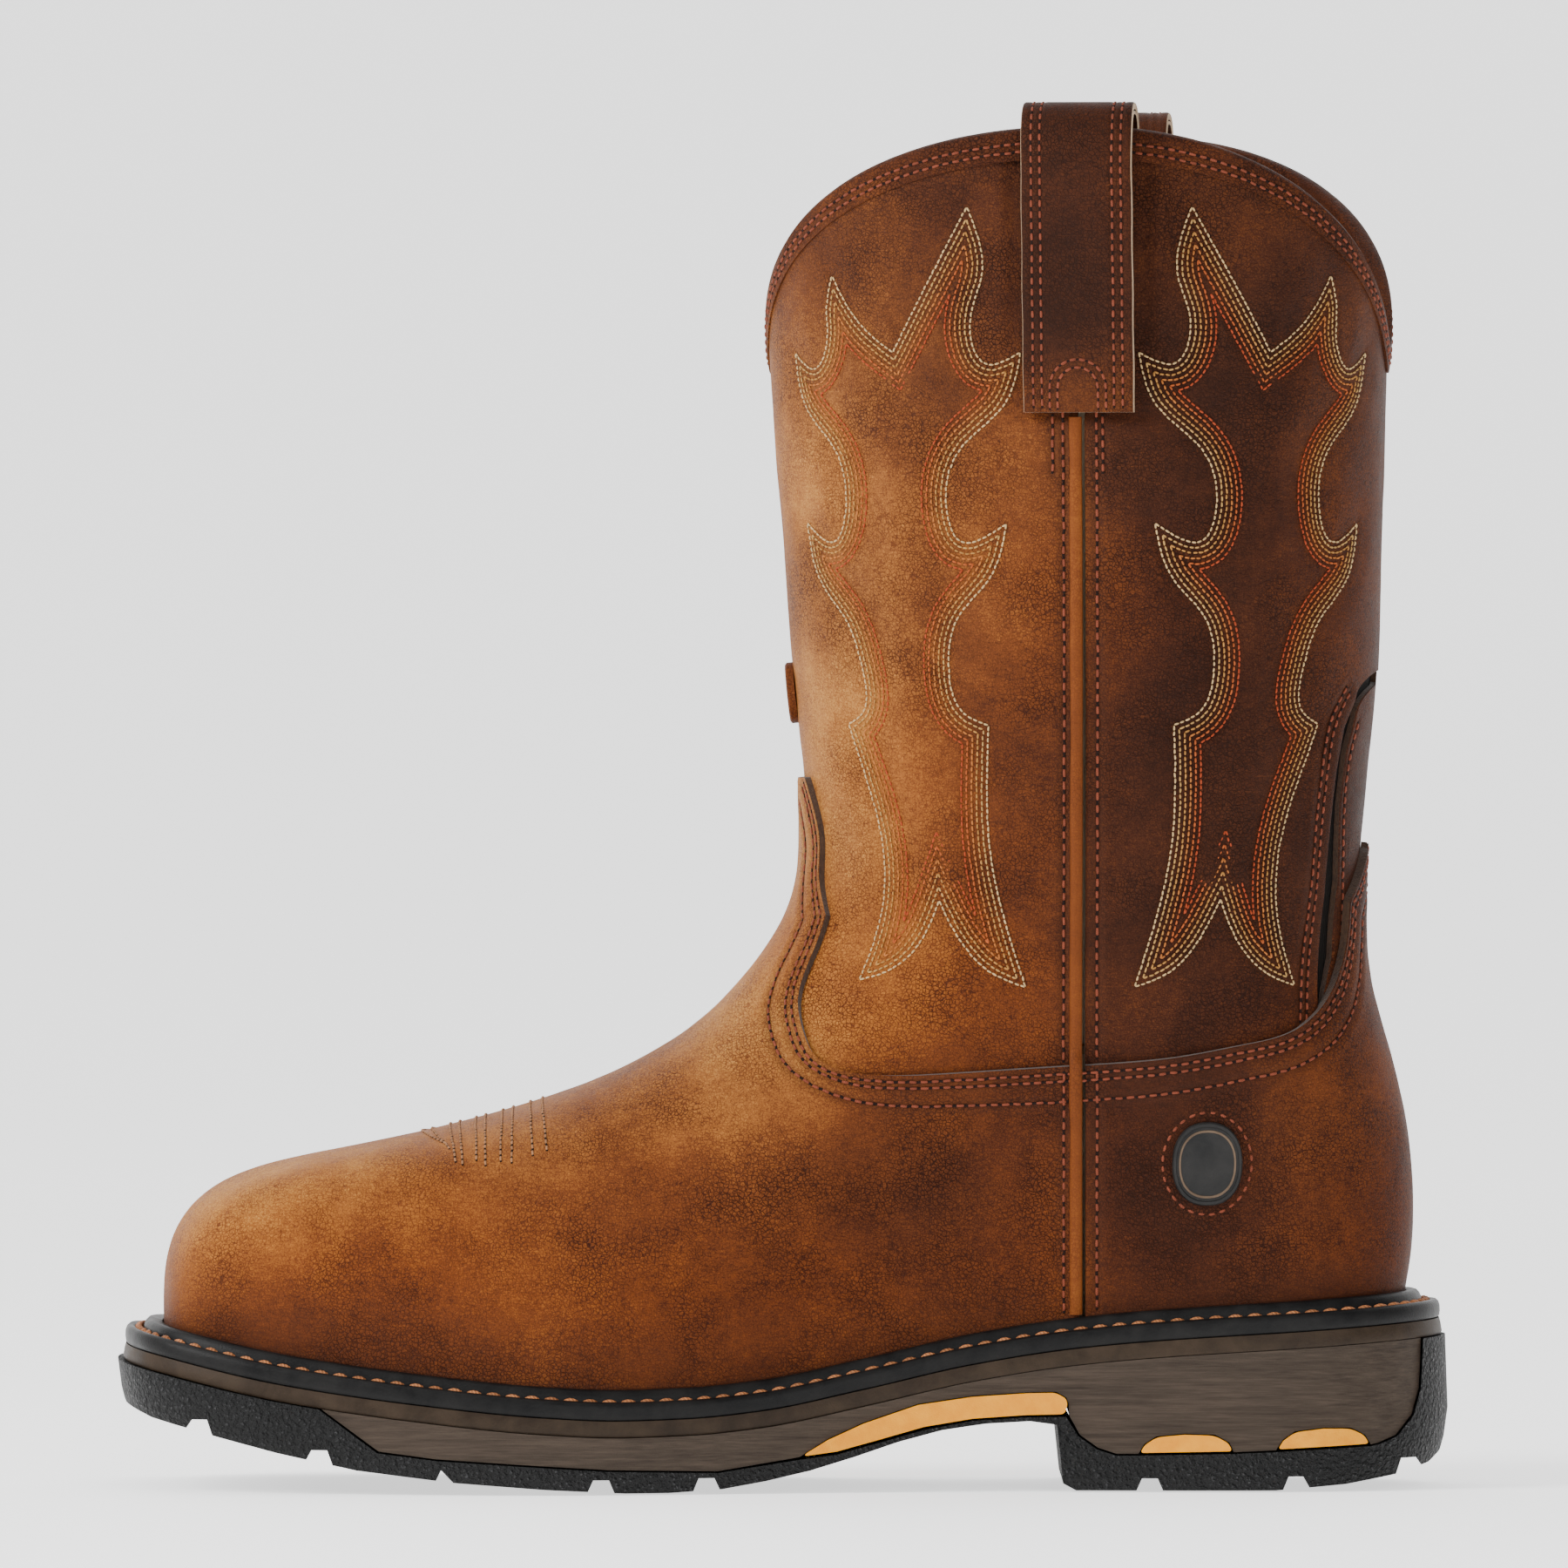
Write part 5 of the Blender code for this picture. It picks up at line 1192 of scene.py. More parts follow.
def leather(name, shift=0.0, mottling=1.0, grain=1.0, scratches=1.0):
    mat = Shader(name, spec=0.07)
    # the tone attribute carries painted light and shade besides the hide's own tone
    light, heat = mat.attr('tone'), mat.attr('warm')
    # uneven dye, from broad clouds to small specks
    clouds = mat.noise(scale=0.028, detail=4, rough=0.6, distort=0.9)
    blots = mat.noise(scale=0.11, detail=5, rough=0.62, distort=0.6)
    specks = mat.noise(scale=0.65, detail=4, rough=0.65, distort=0.3)
    tone = mat.math('ADD', light, shift)
    for pattern, amount in ((clouds, 0.38), (blots, 0.20), (specks, 0.24)):
        tone = mat.vary(tone, pattern, amount * mottling)
    hairs = mat.noise(detail=4, rough=0.7, distort=0.6,
                      vec=mat.stretch((0.42, 0.42, 2.3), rotation=(0.05, 0.2, 0.0)))
    tone = mat.vary(tone, hairs, amount=0.30 * grain)
    # fine grain: pebbles of two sizes with darker creases, and pores
    bent = mat.warped(scale=0.35)
    cell = mat.voronoi(1.15, 'DISTANCE_TO_EDGE', bent)
    small_cell = mat.voronoi(2.5, 'DISTANCE_TO_EDGE', bent)
    crease = mat.span(cell, low=0.0, high=0.12, to_low=1.0, to_high=0.0)
    small_crease = mat.span(small_cell, low=0.0, high=0.12, to_low=1.0, to_high=0.0)
    strength = mat.span(mat.noise(scale=0.06, detail=2, rough=0.5),
                        low=0.35, high=0.7, to_low=0.25, to_high=1.0)
    crease_depth = mat.math('MULTIPLY', crease, strength)
    tone = mat.math('SUBTRACT', tone, mat.math('MULTIPLY', crease_depth, 0.34 * grain))
    tone = mat.math('SUBTRACT', tone, mat.math('MULTIPLY', small_crease, 0.06 * grain))
    pores = mat.noise(scale=3.2, detail=2, rough=0.6)
    tone = mat.vary(tone, pores, amount=0.52 * grain)
    tone = mat.plus(tone, scuff_lines(mat), amount=0.13 * scratches)
    colour = mat.mix(heat, mat.ramp(tone, COOL), mat.ramp(tone, WARM))
    # painted shade: the shade attribute pulls the colour towards shaded leather
    shade = mat.math('MULTIPLY', mat.attr('shade'), 0.75, clamp=True)
    colour = mat.mix(shade, colour, SHADED_LEATHER)
    height = mat.math('MULTIPLY', mat.math('MULTIPLY', crease, strength), -0.9)
    for pattern, amount in ((small_crease, -0.18), (pores, 0.25), (specks, 0.5)):
        height = mat.plus(height, pattern, amount)
    normal = mat.bump(height, strength=0.75 * grain, depth=0.26)
    # faint drawn-in wrinkles
    wrinkles = mat.noise(detail=3, rough=0.6, distort=0.5,
                         vec=mat.stretch((0.10, 0.10, 0.55), rotation=(0.1, 0.15, 0)))
    where = mat.span(mat.noise(scale=0.022, detail=2, rough=0.5), low=0.45, high=0.65)
    normal = mat.bump(mat.math('MULTIPLY', wrinkles, where), strength=0.30, depth=0.5,
                      normal=normal)
    rough = mat.span(mat.blend(blots, 0.5, specks, 0.5),
                     low=0.3, high=0.7, to_low=0.44, to_high=0.62)
    return mat.finish(colour=colour, rough=rough, normal=normal)


def cut_edge(name, dark, light):
    mat = Shader(name, rough=0.85, spec=0.2)
    mottle = mat.noise(scale=1.6, detail=4, rough=0.7, distort=0.5)
    fibres = mat.noise(detail=3, rough=0.7, distort=0.3, vec=mat.stretch((2.5, 2.5, 0.5)))
    colour = mat.ramp(mat.blend(fibres, 0.5, mottle, 0.5), [(0.3, dark), (0.62, light)])
    return mat.finish(colour=colour, normal=mat.bump(fibres, strength=0.7, depth=0.4), sheen=0.2)


def cloth(name, dark, light, weave=1.4):
    mat = Shader(name, rough=0.9, spec=0.2)
    threads = {'Scale': weave, 'Distortion': 1.2, 'Detail': 2.0}
    woven = mat.math('MULTIPLY', mat.wave('DIAGONAL', **threads), mat.wave('Z', **threads))
    clouds = mat.noise(scale=0.08, detail=4, rough=0.6)
    colour = mat.mix(mat.blend(woven, 0.5, clouds, 0.5), dark, light)
    return mat.finish(colour=colour, normal=mat.bump(woven, strength=0.5, depth=0.25),
                      sheen=0.3, sheen_rough=0.5)


def thread_material(name):
    """Twisted thread: plies winding along the stitch."""
    mat = Shader(name, rough=0.6, spec=0.18)
    turned = mat.node('ShaderNodeMapping', {
        'Vector': mat.node('ShaderNodeUVMap').outputs[0], 'Rotation': (0, 0, 0.62),
        'Scale': (1, 1, 1)}).outputs[0]
    plies = mat.wave('X', vec=turned, Scale=1.5, Distortion=0.2, Detail=1.0)
    fibre = mat.noise(scale=5.0, detail=3, rough=0.6)
    tint = mat.attr('tint', 'Color')
    # painted shade: darker between the plies; the fibre noise is the thread's own uneven colour
    shade = mat.vary(mat.plus(0.72, fibre, amount=0.5), plies, amount=0.45, centre=0.6)
    colour = mat.node('ShaderNodeVectorMath', {0: tint, 'Scale': shade},
                      operation='SCALE').outputs[0]
    return mat.finish(colour=colour, normal=mat.bump(plies, strength=0.6, depth=0.2))


def rubber_pebbled(name):
    mat = Shader(name, rough=0.42, spec=0.30)
    bent = mat.warped(scale=0.8)
    pebbles, grit = mat.voronoi(0.85, vec=bent), mat.voronoi(1.9, vec=bent)
    height = mat.blend(grit, -0.4, pebbles, -1.0)
    # painted highlight: pebble peaks lighter than the valleys, more so in broad noise clouds
    highlight_clouds = mat.noise(scale=0.05, detail=4, rough=0.65, distort=0.6)
    peak = mat.span(height, low=-0.55, high=-0.12, kind='SMOOTHSTEP')
    highlight_share = mat.span(highlight_clouds, low=0.30, high=0.62, to_low=0.35, to_high=1.0)
    colour = mat.mix(mat.math('MULTIPLY', highlight_share, peak),
                     (0.0012, 0.0012, 0.0013), (0.052, 0.052, 0.055))
    rough = mat.span(peak, low=0, high=1, to_low=0.60, to_high=0.20)
    return mat.finish(colour=colour, rough=rough,
                      normal=mat.bump(height, strength=1.0, depth=1.5))


def rubber_plain(name, dark, light, rough=0.45, bump=0.25):
    mat = Shader(name, rough=rough, spec=0.15)
    clouds = mat.noise(scale=0.12, detail=5, rough=0.65, distort=0.4)
    grain = mat.noise(scale=2.4, detail=3, rough=0.6)
    colour = mat.mix(mat.span(clouds, low=0.35, high=0.7), dark, light)
    normal = mat.bump(grain, strength=bump, depth=0.25)
    return mat.finish(colour=colour, normal=normal,
                      rough=mat.span(clouds, low=0.3, high=0.7,
                                     to_low=rough - 0.07, to_high=rough + 0.1))


def rubber_streaked(name, dark, light):
    mat = Shader(name, rough=0.55, spec=0.15)
    broad = mat.noise(detail=6, rough=0.72, distort=0.4,
                      vec=mat.stretch((0.035, 0.2, 0.75), rotation=(0, 0.02, 0)))
    thin = mat.noise(detail=4, rough=0.7, distort=0.2, vec=mat.stretch((0.12, 0.4, 2.6)))
    streaks = mat.blend(thin, 0.4, broad, 0.6)
    middle = tuple((a + b) / 2 for a, b in zip(dark, light))
    colour = mat.ramp(streaks, [(0.34, dark), (0.52, middle), (0.68, light)])
    normal = mat.bump(streaks, strength=0.5, depth=0.35)
    normal = mat.bump(mat.noise(scale=2.2, detail=3, rough=0.6), strength=0.25, depth=0.2,
                      normal=normal)
    return mat.finish(colour=colour, normal=normal,
                      rough=mat.span(streaks, low=0.3, high=0.7, to_low=0.5, to_high=0.68))


def amber(name):
    mat = Shader(name, rough=0.38, spec=0.12)
    clouds = mat.noise(scale=0.25, detail=4, rough=0.6)
    grain = mat.noise(scale=3.0, detail=3, rough=0.6)
    colour = mat.ramp(clouds, [(0.3, (0.70, 0.245, 0.006)), (0.7, (0.80, 0.325, 0.012))])
    # painted shade: darker amber where the shade attribute is set
    shade = mat.math('MULTIPLY', mat.attr('shade'), 1.0, clamp=True)
    colour = mat.mix(shade, colour, (0.42, 0.12, 0.02))
    return mat.finish(colour=colour, normal=mat.bump(grain, strength=0.35, depth=0.2))


def metal(name, colour, rough=0.35):
    mat = Shader(name, rough=rough, metal=1.0)
    brushed = mat.noise(detail=3, rough=0.6, vec=mat.stretch((0.05, 2.0, 0.05)))
    return mat.finish(colour=mat.mix(brushed, tuple(x * 0.8 for x in colour), colour),
                      rough=mat.span(brushed, low=0.3, high=0.7,
                                     to_low=rough - 0.08, to_high=rough + 0.1),
                      normal=mat.bump(brushed, strength=0.2, depth=0.1))


def board(name, dark, light):
    mat = Shader(name, rough=0.9, spec=0.15)
    fibres = mat.noise(scale=0.9, detail=5, rough=0.75)
    colour = mat.mix(mat.blend(mat.voronoi(0.7), 0.4, fibres, 0.6), dark, light)
    return mat.finish(colour=colour, normal=mat.bump(fibres, strength=0.5, depth=0.3))


def foam(name, dark, light):
    mat = Shader(name, rough=0.95, spec=0.15)
    cells = mat.voronoi(1.2)
    return mat.finish(colour=mat.mix(cells, dark, light),
                      normal=mat.bump(cells, strength=0.8, depth=0.4))


def elastic_cloth(name):
    mat = Shader(name, rough=0.9, spec=0.1)
    ribs = mat.wave('Y', Scale=0.55, Distortion=0.3)
    cross_threads = mat.wave('Z', Scale=1.6, Distortion=0.5)
    colour = mat.mix(mat.math('MULTIPLY', ribs, cross_threads),
                     (0.006, 0.005, 0.0045), (0.022, 0.018, 0.015))
    return mat.finish(colour=colour, normal=mat.bump(ribs, strength=0.8, depth=0.5))


MATS = {
    'leather': leather('oiled_leather'),
    'strap': leather('strap_leather', shift=-0.02, grain=0.8, scratches=0.8),
    'piping': leather('piping_leather', grain=0.35, mottling=0.5, scratches=0.2),
    'flesh': cut_edge('leather_flesh_side', dark=(0.16, 0.095, 0.055), light=(0.30, 0.20, 0.12)),
    'edge_dark': cut_edge('cut_edge_dark', dark=(0.016, 0.008, 0.005),
                          light=(0.07, 0.034, 0.017)),
    'edge_pale': cut_edge('cut_edge_pale', dark=(0.22, 0.12, 0.055), light=(0.50, 0.34, 0.19)),
    'lining': cloth('lining_cloth', dark=(0.30, 0.22, 0.14), light=(0.46, 0.37, 0.26)),
    'thread': thread_material('stitch_thread'),
    # needle holes: near-black caps at both ends of every stitch, painted shade of the holes
    'hole': rubber_plain('needle_hole_shade', dark=(0.010, 0.005, 0.004), light=(0.016, 0.008, 0.006),
                         rough=0.9),
    'black': rubber_pebbled('outsole_rubber'),
    'welt': rubber_plain('welt_rubber', dark=(0.0035, 0.0035, 0.0037),
                         light=(0.011, 0.0105, 0.010), rough=0.42, bump=0.4),
    'mid': rubber_streaked('midsole_rubber', dark=(0.022, 0.0150, 0.0105),
                           light=(0.070, 0.051, 0.037)),
    'band': rubber_plain('midsole_band_rubber', dark=(0.019, 0.0115, 0.0064),
                         light=(0.040, 0.026, 0.0155), rough=0.5, bump=0.35),
    'amber': amber('amber_insert'),
    'steel': metal('toe_steel', (0.58, 0.58, 0.60)),
    'board': board('insole_board', dark=(0.42, 0.29, 0.17), light=(0.60, 0.46, 0.30)),
    'cork': board('cork_filler', dark=(0.28, 0.17, 0.09), light=(0.50, 0.34, 0.18)),
    'foam': foam('footbed_foam', dark=(0.05, 0.05, 0.055), light=(0.12, 0.12, 0.13)),
    'footbed': cloth('footbed_cloth', dark=(0.16, 0.12, 0.08), light=(0.28, 0.22, 0.15),
                     weave=1.1),
    'stiffener': board('heel_stiffener', dark=(0.62, 0.57, 0.48), light=(0.76, 0.71, 0.62)),
    'elastic': elastic_cloth('elastic_gore'),
    'badge': rubber_plain('badge_rubber', dark=(0.010, 0.010, 0.010),
                          light=(0.022, 0.021, 0.020), rough=0.38),
    'badge_rim': rubber_plain('badge_rim', dark=(0.085, 0.055, 0.035),
                              light=(0.14, 0.095, 0.062), rough=0.45),
}


# ================================================================ upper
def leather_panel(name, sheet, lift_out, lift_in, shade, slot, node):
    points = sheet[0]
    mats = [MATS['leather'], MATS['flesh'], MATS['edge_dark']]
    attrs = leather_attrs(len(points), *tone_and_light_of(points), shade)
    put(shell(name, sheet, lift_out, lift_in, mats, attrs), 'boot', slot, node)


def seam_shade(points, near):
    """Painted shade: darkening along the stitch rows, in their pressed grooves."""
    return 0.55 * bell(near(points), 1.6)


def shaft_front():
    sheet, _, side = column_panel(True, res(190), res(230), shaft=True, edge_shift=0.42,
                                  gap=GAP_FRONT)
    points = sheet[0]
    leather_panel('shaft_front_leather', sheet, SHAFT_OUT + relief_shaft(points, 'front', side),
                  SHAFT_IN, seam_shade(points, near_shaft), 'shaft_leather', 'shaft_front')


def back_grid(cols, up, down):
    """phi and row of one half of the back panel, and how many rows reach the back line."""
    start = 0.5 + SEAM_GAP
    share = np.linspace(0, 1, cols)
    top = top_row(start + share * (1 - start), -1)
    bottom = heel_edge(start + share * (float(cut_phi(9.0)) - start)) + 0.42
    angle = np.radians(np.linspace(0, 90, 25)[1:])
    arch = CUT_TOP_ROW + (CUT_SIDE_ROW - CUT_TOP_ROW) * (1 - np.cos(angle))
    above, beside = np.linspace(0, 1, up), np.linspace(0, 1, down + 1)[1:]
    row = np.array([np.concatenate([top[j] + (CUT_TOP_ROW - top[j]) * above, arch,
                                    CUT_SIDE_ROW + (bottom[j] - CUT_SIDE_ROW) * beside])
                    for j in range(cols)])
    begin = phi_beside_seam(GAP_BACK, row.ravel()).reshape(row.shape)
    phi = begin + share[:, None] * (cut_phi(row) - begin)
    phi[-1, :up] = 1.0
    return phi, row, up


def shaft_back():
    """Back of the shaft, cut out at the rear."""
    phi, row, shared = back_grid(res(170), res(120), res(110))
    cols, rows = row.shape
    halves = [sheet_at(phi.ravel(), row.ravel(), side) for side in (-1, 1)]
    points, norms = (np.concatenate(pair) for pair in zip(*halves))
    side = np.repeat([-1, 1], cols * rows)
    quads = grid_quads(cols, rows)
    # the halves share the back line above the cut-out
    medial = np.arange(cols * rows) + cols * rows
    last = (cols - 1) * rows
    medial[last:last + shared] = np.arange(last, last + shared)
    quads = np.concatenate([quads, medial[quads[:, ::-1]]])
    used = np.zeros(len(points), bool)
    used[quads.ravel()] = True
    quads = (np.cumsum(used) - 1)[quads]
    points, norms, side = points[used], norms[used], side[used]
    leather_panel('shaft_back_leather', (points, norms, quads),
                  SHAFT_OUT + relief_shaft(points, 'back', side), SHAFT_IN,
                  seam_shade(points, near_shaft), 'shaft_leather', 'shaft_back')


def back_strip(edge_phi, rows, cols):
    """A strip down the back, ending just below the heel cover's edge."""
    share = (rows - rows[0]) / (rows[-1] - rows[0])
    table_row = np.linspace(rows[0] - 0.1, 13.5, 300)
    table_phi = edge_phi(table_row)
    across = np.linspace(-1, 1, cols)
    phi, row = np.zeros((cols, len(rows))), np.zeros((cols, len(rows)))
    for j, place in enumerate(np.abs(across)):
        covered = table_row - heel_edge(1 - place * (1 - table_phi)) - 0.55 > 0
        k = int(np.argmax(covered)) if covered.any() else len(table_row) - 1
        row[j] = rows[0] + (table_row[k] - rows[0]) * share
        phi[j] = 1 - place * (1 - np.interp(row[j], table_row, table_phi))
    side = np.repeat(np.where(across <= 0, -1, 1), len(rows))
    return (*sheet_at(phi.ravel(), row.ravel(), side), grid_quads(cols, len(rows)))


HEEL_TIP_ROW = float(heel_edge(1.0))


def backstay():
    top = CUT_TOP_ROW + 0.014
    angle = np.radians(np.linspace(3, 90, 18))
    rows = np.concatenate([top + (STAY_SIDE_ROW - top) * (1 - np.cos(angle)),
                           np.linspace(STAY_SIDE_ROW, HEEL_TIP_ROW + 1.6, res(70))[1:]])
    sheet = back_strip(stay_phi, rows, 2 * res(44) + 1)
    points = sheet[0]
    relief = swell(points) - STAY_GROOVE * bell(near_shaft(points), 0.8) - STAY_DROP
    leather_panel('backstay_leather', sheet, SHAFT_OUT + relief, SHAFT_IN,
                  seam_shade(points, near_shaft), 'shaft_leather', 'backstay')


def elastic_gore():
    rows = np.concatenate([[CUT_TOP_ROW - 0.25],
                           np.linspace(CUT_TOP_ROW - 0.03, CUT_TOP_ROW + 0.22, 26),
                           np.linspace(CUT_SIDE_ROW, HEEL_TIP_ROW + 1.5, res(60))])
    sheet = back_strip(lambda row: np.minimum(cut_phi(row), 0.90) - 0.03, rows,
                       2 * res(60) + 1)
    points = sheet[0]
    # the cloth bulges into the slit above the backstay
    tries = np.linspace(CUT_TOP_ROW, STAY_SIDE_ROW, 400)
    stay_top = tries[np.argmax(stay_phi(tries) < 0.9995)]
    slit_top, slit_bottom = surface([1.0, 1.0], [CUT_TOP_ROW, stay_top], -1)[:, 2]
    bulge = (1.15 * bell(points[:, 1], 2.0) * smooth((points[:, 2] - slit_bottom + 0.5) / 0.5)
             * smooth((slit_top - 0.1 - points[:, 2]) / 0.4))
    put(shell('elastic_gore_cloth', sheet, -1.95 + bulge, -2.5, [MATS['elastic']] * 3,
              rim_drop=0), 'boot', 'elastic', 'elastic_gore')


def foot_cover(name, node, front, per_side, count, gap):
    """Vamp or heel cover, with painted shade along the stitches, a painted shadow line at the welt
    and painted shade low above it.
    """
    sheet, row, _ = column_panel(front, per_side, count, shaft=False, edge_shift=0.0, gap=gap)
    points = sheet[0]
    # painted shade: a thin shadow line at the feather line and broad shade low above the welt
    shade = np.maximum(seam_shade(points, near_vamp), 0.9 * bell(row - 15.05, 0.28))
    shade = np.maximum(shade, 0.55 * smooth((row - 13.3) / 1.9))
    leather_panel(name, sheet, vamp_out(points) + relief_vamp(points),
                  VAMP_IN - 1.0 * vamp_close(points), shade, 'vamp_leather', node)


def lining(node, front, shaft, edge_shift):
    sheet, _, _ = column_panel(front, res(70), res(70), shaft, edge_shift, gap=0.03,
                               end=UPPER_END - 0.05)
    points = sheet[0]
    share = smooth((points[:, 2] - 195.0) / 50.0)
    lift_out = LINING_OUT + (COLLAR_OUT - LINING_OUT) * share
    lift_in = LINING_IN + (COLLAR_IN - LINING_IN) * share + 0.25 * value_noise(points, 22.0, 4)
    put(shell(node + '_cloth', sheet, lift_out, lift_in, [MATS['lining']] * 3, rim_drop=0),
        'boot', 'lining', node)


shaft_front()
shaft_back()
backstay()
elastic_gore()
foot_cover('vamp_leather', 'vamp', True, res(230), res(250), GAP_FRONT)
foot_cover('heel_cover_leather', 'heel_cover', False, res(150), res(190), GAP_BACK)
lining('shaft_lining_front', front=True, shaft=True, edge_shift=-0.3)
lining('shaft_lining_back', front=False, shaft=True, edge_shift=-0.3)
lining('vamp_lining', front=True, shaft=False, edge_shift=-0.1)
lining('heel_lining', front=False, shaft=False, edge_shift=-0.1)


# ---------------------------------------------------------------- side piping
def side_piping(side, word):
    """A bead down the side seam that steps up onto the vamp."""
    row = np.linspace(single_row(STRAP_BOTTOM - 1.0, side), 14.86, res(320))
    centre, normal = sheet_at(np.full(len(row), 0.5), row, side)
    back = unit(np.cross(normal, np.gradient(centre, axis=0)))
    back *= np.sign(back[:, 0])[:, None]         # points to the heel
    step = smooth((row - EDGE_SEAM_ROW + 0.30) / 0.3) * (vamp_out(centre) - 0.25)
    # half round section, (towards the heel, outwards)
    section = [(-1.0 - 1.45 * math.cos(angle), 0.15 + 1.05 * math.sin(angle) ** 0.8)
               for angle in np.linspace(0, math.pi, 11)] + [(0.45, -0.6), (-2.45, -0.6)]
    width, height = np.array(section).T
    uneven = (1 + 0.06 * value_noise(centre, 9.0, 2))[:, None]
    rings = (centre[:, None] + back[:, None] * (width * uneven)[..., None]
             + normal[:, None] * (height * uneven + step[:, None])[..., None])
    # the lightness follows the patches' painted light and shade, softened
    tone, _ = tone_and_light_of(rings.reshape(-1, 3))
    attrs = leather_attrs(len(tone), 0.48 + 0.35 * (tone - 0.4), 0.75)
    put(swept('side_piping_bead_' + word, rings, [MATS['piping']], attrs=attrs),
        'boot', 'piping_leather', 'side_piping_' + word)


for side, word in SIDES:
    side_piping(side, word)


# ---------------------------------------------------------------- collar binding
BIND_OUT, BIND_IN, BIND_T = 0.12, COLLAR_IN - 0.2, 0.55
BIND_DEPTH = 5.8
# outer face from its lower to its upper edge: (share of the height, puff beside the stitches)
BIND_PUFF = ((0.12, 0.0), (0.25, 0.05), (0.33, -0.14), (0.42, 0.05), (0.55, 0.06),
             (0.68, -0.14), (0.8, 0.04), (0.92, 0.0))


def binding_ring(top, low, normal):
    """Section of the binding folded over the top edge."""
    up = np.array([0, 0, 1.0])
    ring = [low + normal * (BIND_OUT - 0.1), low + normal * (BIND_OUT + BIND_T * 0.85)]
    for share, puff in BIND_PUFF:
        ring.append(low + (top - low) * share + normal * (BIND_OUT + BIND_T + puff))
    middle, half = (BIND_OUT + BIND_IN) / 2, (BIND_OUT - BIND_IN) / 2 + BIND_T
    for angle in np.linspace(0.15, math.pi - 0.15, 7):
        ring.append(top + normal * (middle + half * math.cos(angle))
                    + up * (0.2 + 1.35 * math.sin(angle)))
    return ring + [top + normal * (BIND_IN - BIND_T), low + normal * (BIND_IN - BIND_T * 0.85),
                   low + normal * (BIND_IN + 0.1), top + normal * (BIND_IN + 0.1) + up * 0.35,
                   top + normal * (BIND_OUT - 0.1) + up * 0.35]


def collar_binding():
    rings, share = [], np.linspace(0, 1, res(170))
    for side, phi in ((-1, share), (1, share[::-1][1:-1])):
        top, normal = sheet_at(phi, top_row(phi, side), side)
        low = surface(phi, top_row(phi, side, BIND_DEPTH), side)
        rings += [binding_ring(*place) for place in zip(top, low, normal)]
    rings = np.array(rings)
    # the lightness follows the patches' painted light and shade, made darker
    tone, warm = tone_and_light_of(rings.reshape(-1, 3))
    attrs = leather_attrs(len(tone), tone * 0.72 + 0.07, warm + 0.18)
    put(swept('collar_binding_leather', rings, [MATS['leather']], closed=True, attrs=attrs),
        'boot', 'collar_leather', 'collar_binding')


collar_binding()


# ================================================================ pull straps
def strap_frame(side):
    """Foot of the strap on the seam, its outward and sideways directions, lean of the seam."""
    rows = [single_row(z, side) for z in (STRAP_BOTTOM, 309.0)]
    foot, head = surface([0.5, 0.5], rows, side)
    out = normals([0.5], [single_row(280.0, side)], side)[0]
    out[2] = 0
    out /= np.linalg.norm(out)
    sideways = np.array([out[1], -out[0], 0.0]) * side
    return foot, out, sideways, (head - foot) @ out / (head[2] - foot[2])


def strap_legs(strap, z):
    """Distance out of the outer and the inner leg's inner face, at heights z."""
    foot, _, _, lean = strap
    base, rise = (z - foot[2]) * lean, z - STRAP_BOTTOM
    return (base + STRAP_GAP + SLOPE_OUT * rise,
            base + COLLAR_IN - STRAP_GAP - 0.4 - SLOPE_IN * rise)


LEG_STATIONS = 60


def strap_path(strap):
    """Inner face from the outer lower end over the fold: (out, height, normal out, normal up)."""
    z = np.linspace(STRAP_BOTTOM, ARCH_Z, LEG_STATIONS)
    outer, inner = strap_legs(strap, z)
    one, zero = np.ones(len(z)), np.zeros(len(z))
    middle, half = (outer[-1] + inner[-1]) / 2, (outer[-1] - inner[-1]) / 2
    rise = STRAP_TOP - STRAP_T - STRAP_BACK_T - STRAP_PLAY - ARCH_Z
    angle = np.linspace(0, math.pi, 37)[1:-1]
    cosine, sine = np.cos(angle), np.sin(angle)
    normal = unit(np.stack([np.copysign(np.abs(cosine) ** (4 / 3), cosine) / half,
                            sine ** (4 / 3) / rise], 1))
    fold = np.column_stack([middle + half * np.copysign(np.abs(cosine) ** (2 / 3), cosine),
                            ARCH_Z + rise * sine ** (2 / 3), normal])
    return np.concatenate([np.stack([outer, z, one, zero], 1), fold,
                           np.stack([inner, z, -one, zero], 1)[::-1]])


def strap_points(strap, side, path, across, depth, edge_wave=0.004):
    """Points of the strap at stations of its path, across its width, depth above the face."""
    foot, out, sideways, _ = strap
    distance, z, normal_out, normal_up = np.moveaxis(path, -1, 0)
    ripple = 0.22 * np.sin(z * 0.11 + across * 0.18 + side) * np.where(normal_out > 0, 1, 0.4)
    distance = (distance + normal_out * depth - across * across / 175.0
                + ripple * normal_out * 0.6)
    wide = across * (1 + edge_wave * np.sin(z * 0.35))
    points = foot + out * distance[..., None] + sideways * wide[..., None]
    points[..., 2] = z + normal_up * depth
    return points


def strap_section(low, high):
    """(across, depth) of a strap layer with soft edges and stitch grooves; its face mats."""
    half = STRAP_W / 2
    across = np.linspace(-half + 0.5, half - 0.5, 61)
    groove = sum(0.22 * bell(across - row, 0.55) for row in STRAP_ROWS)
    edge = [(half - 0.12, high - 0.22), (half, high - 0.55), (half, low + 0.35),
            (half - 0.15, low)]
    other = [(-wide, depth) for wide, depth in edge[::-1]]
    section = np.concatenate([np.stack([across, high - groove], 1), edge, other])
    face_mats = np.zeros(len(section))
    face_mats[61:68] = 1     # cut edges
    face_mats[64] = 0        # inner face
    return section.T, face_mats


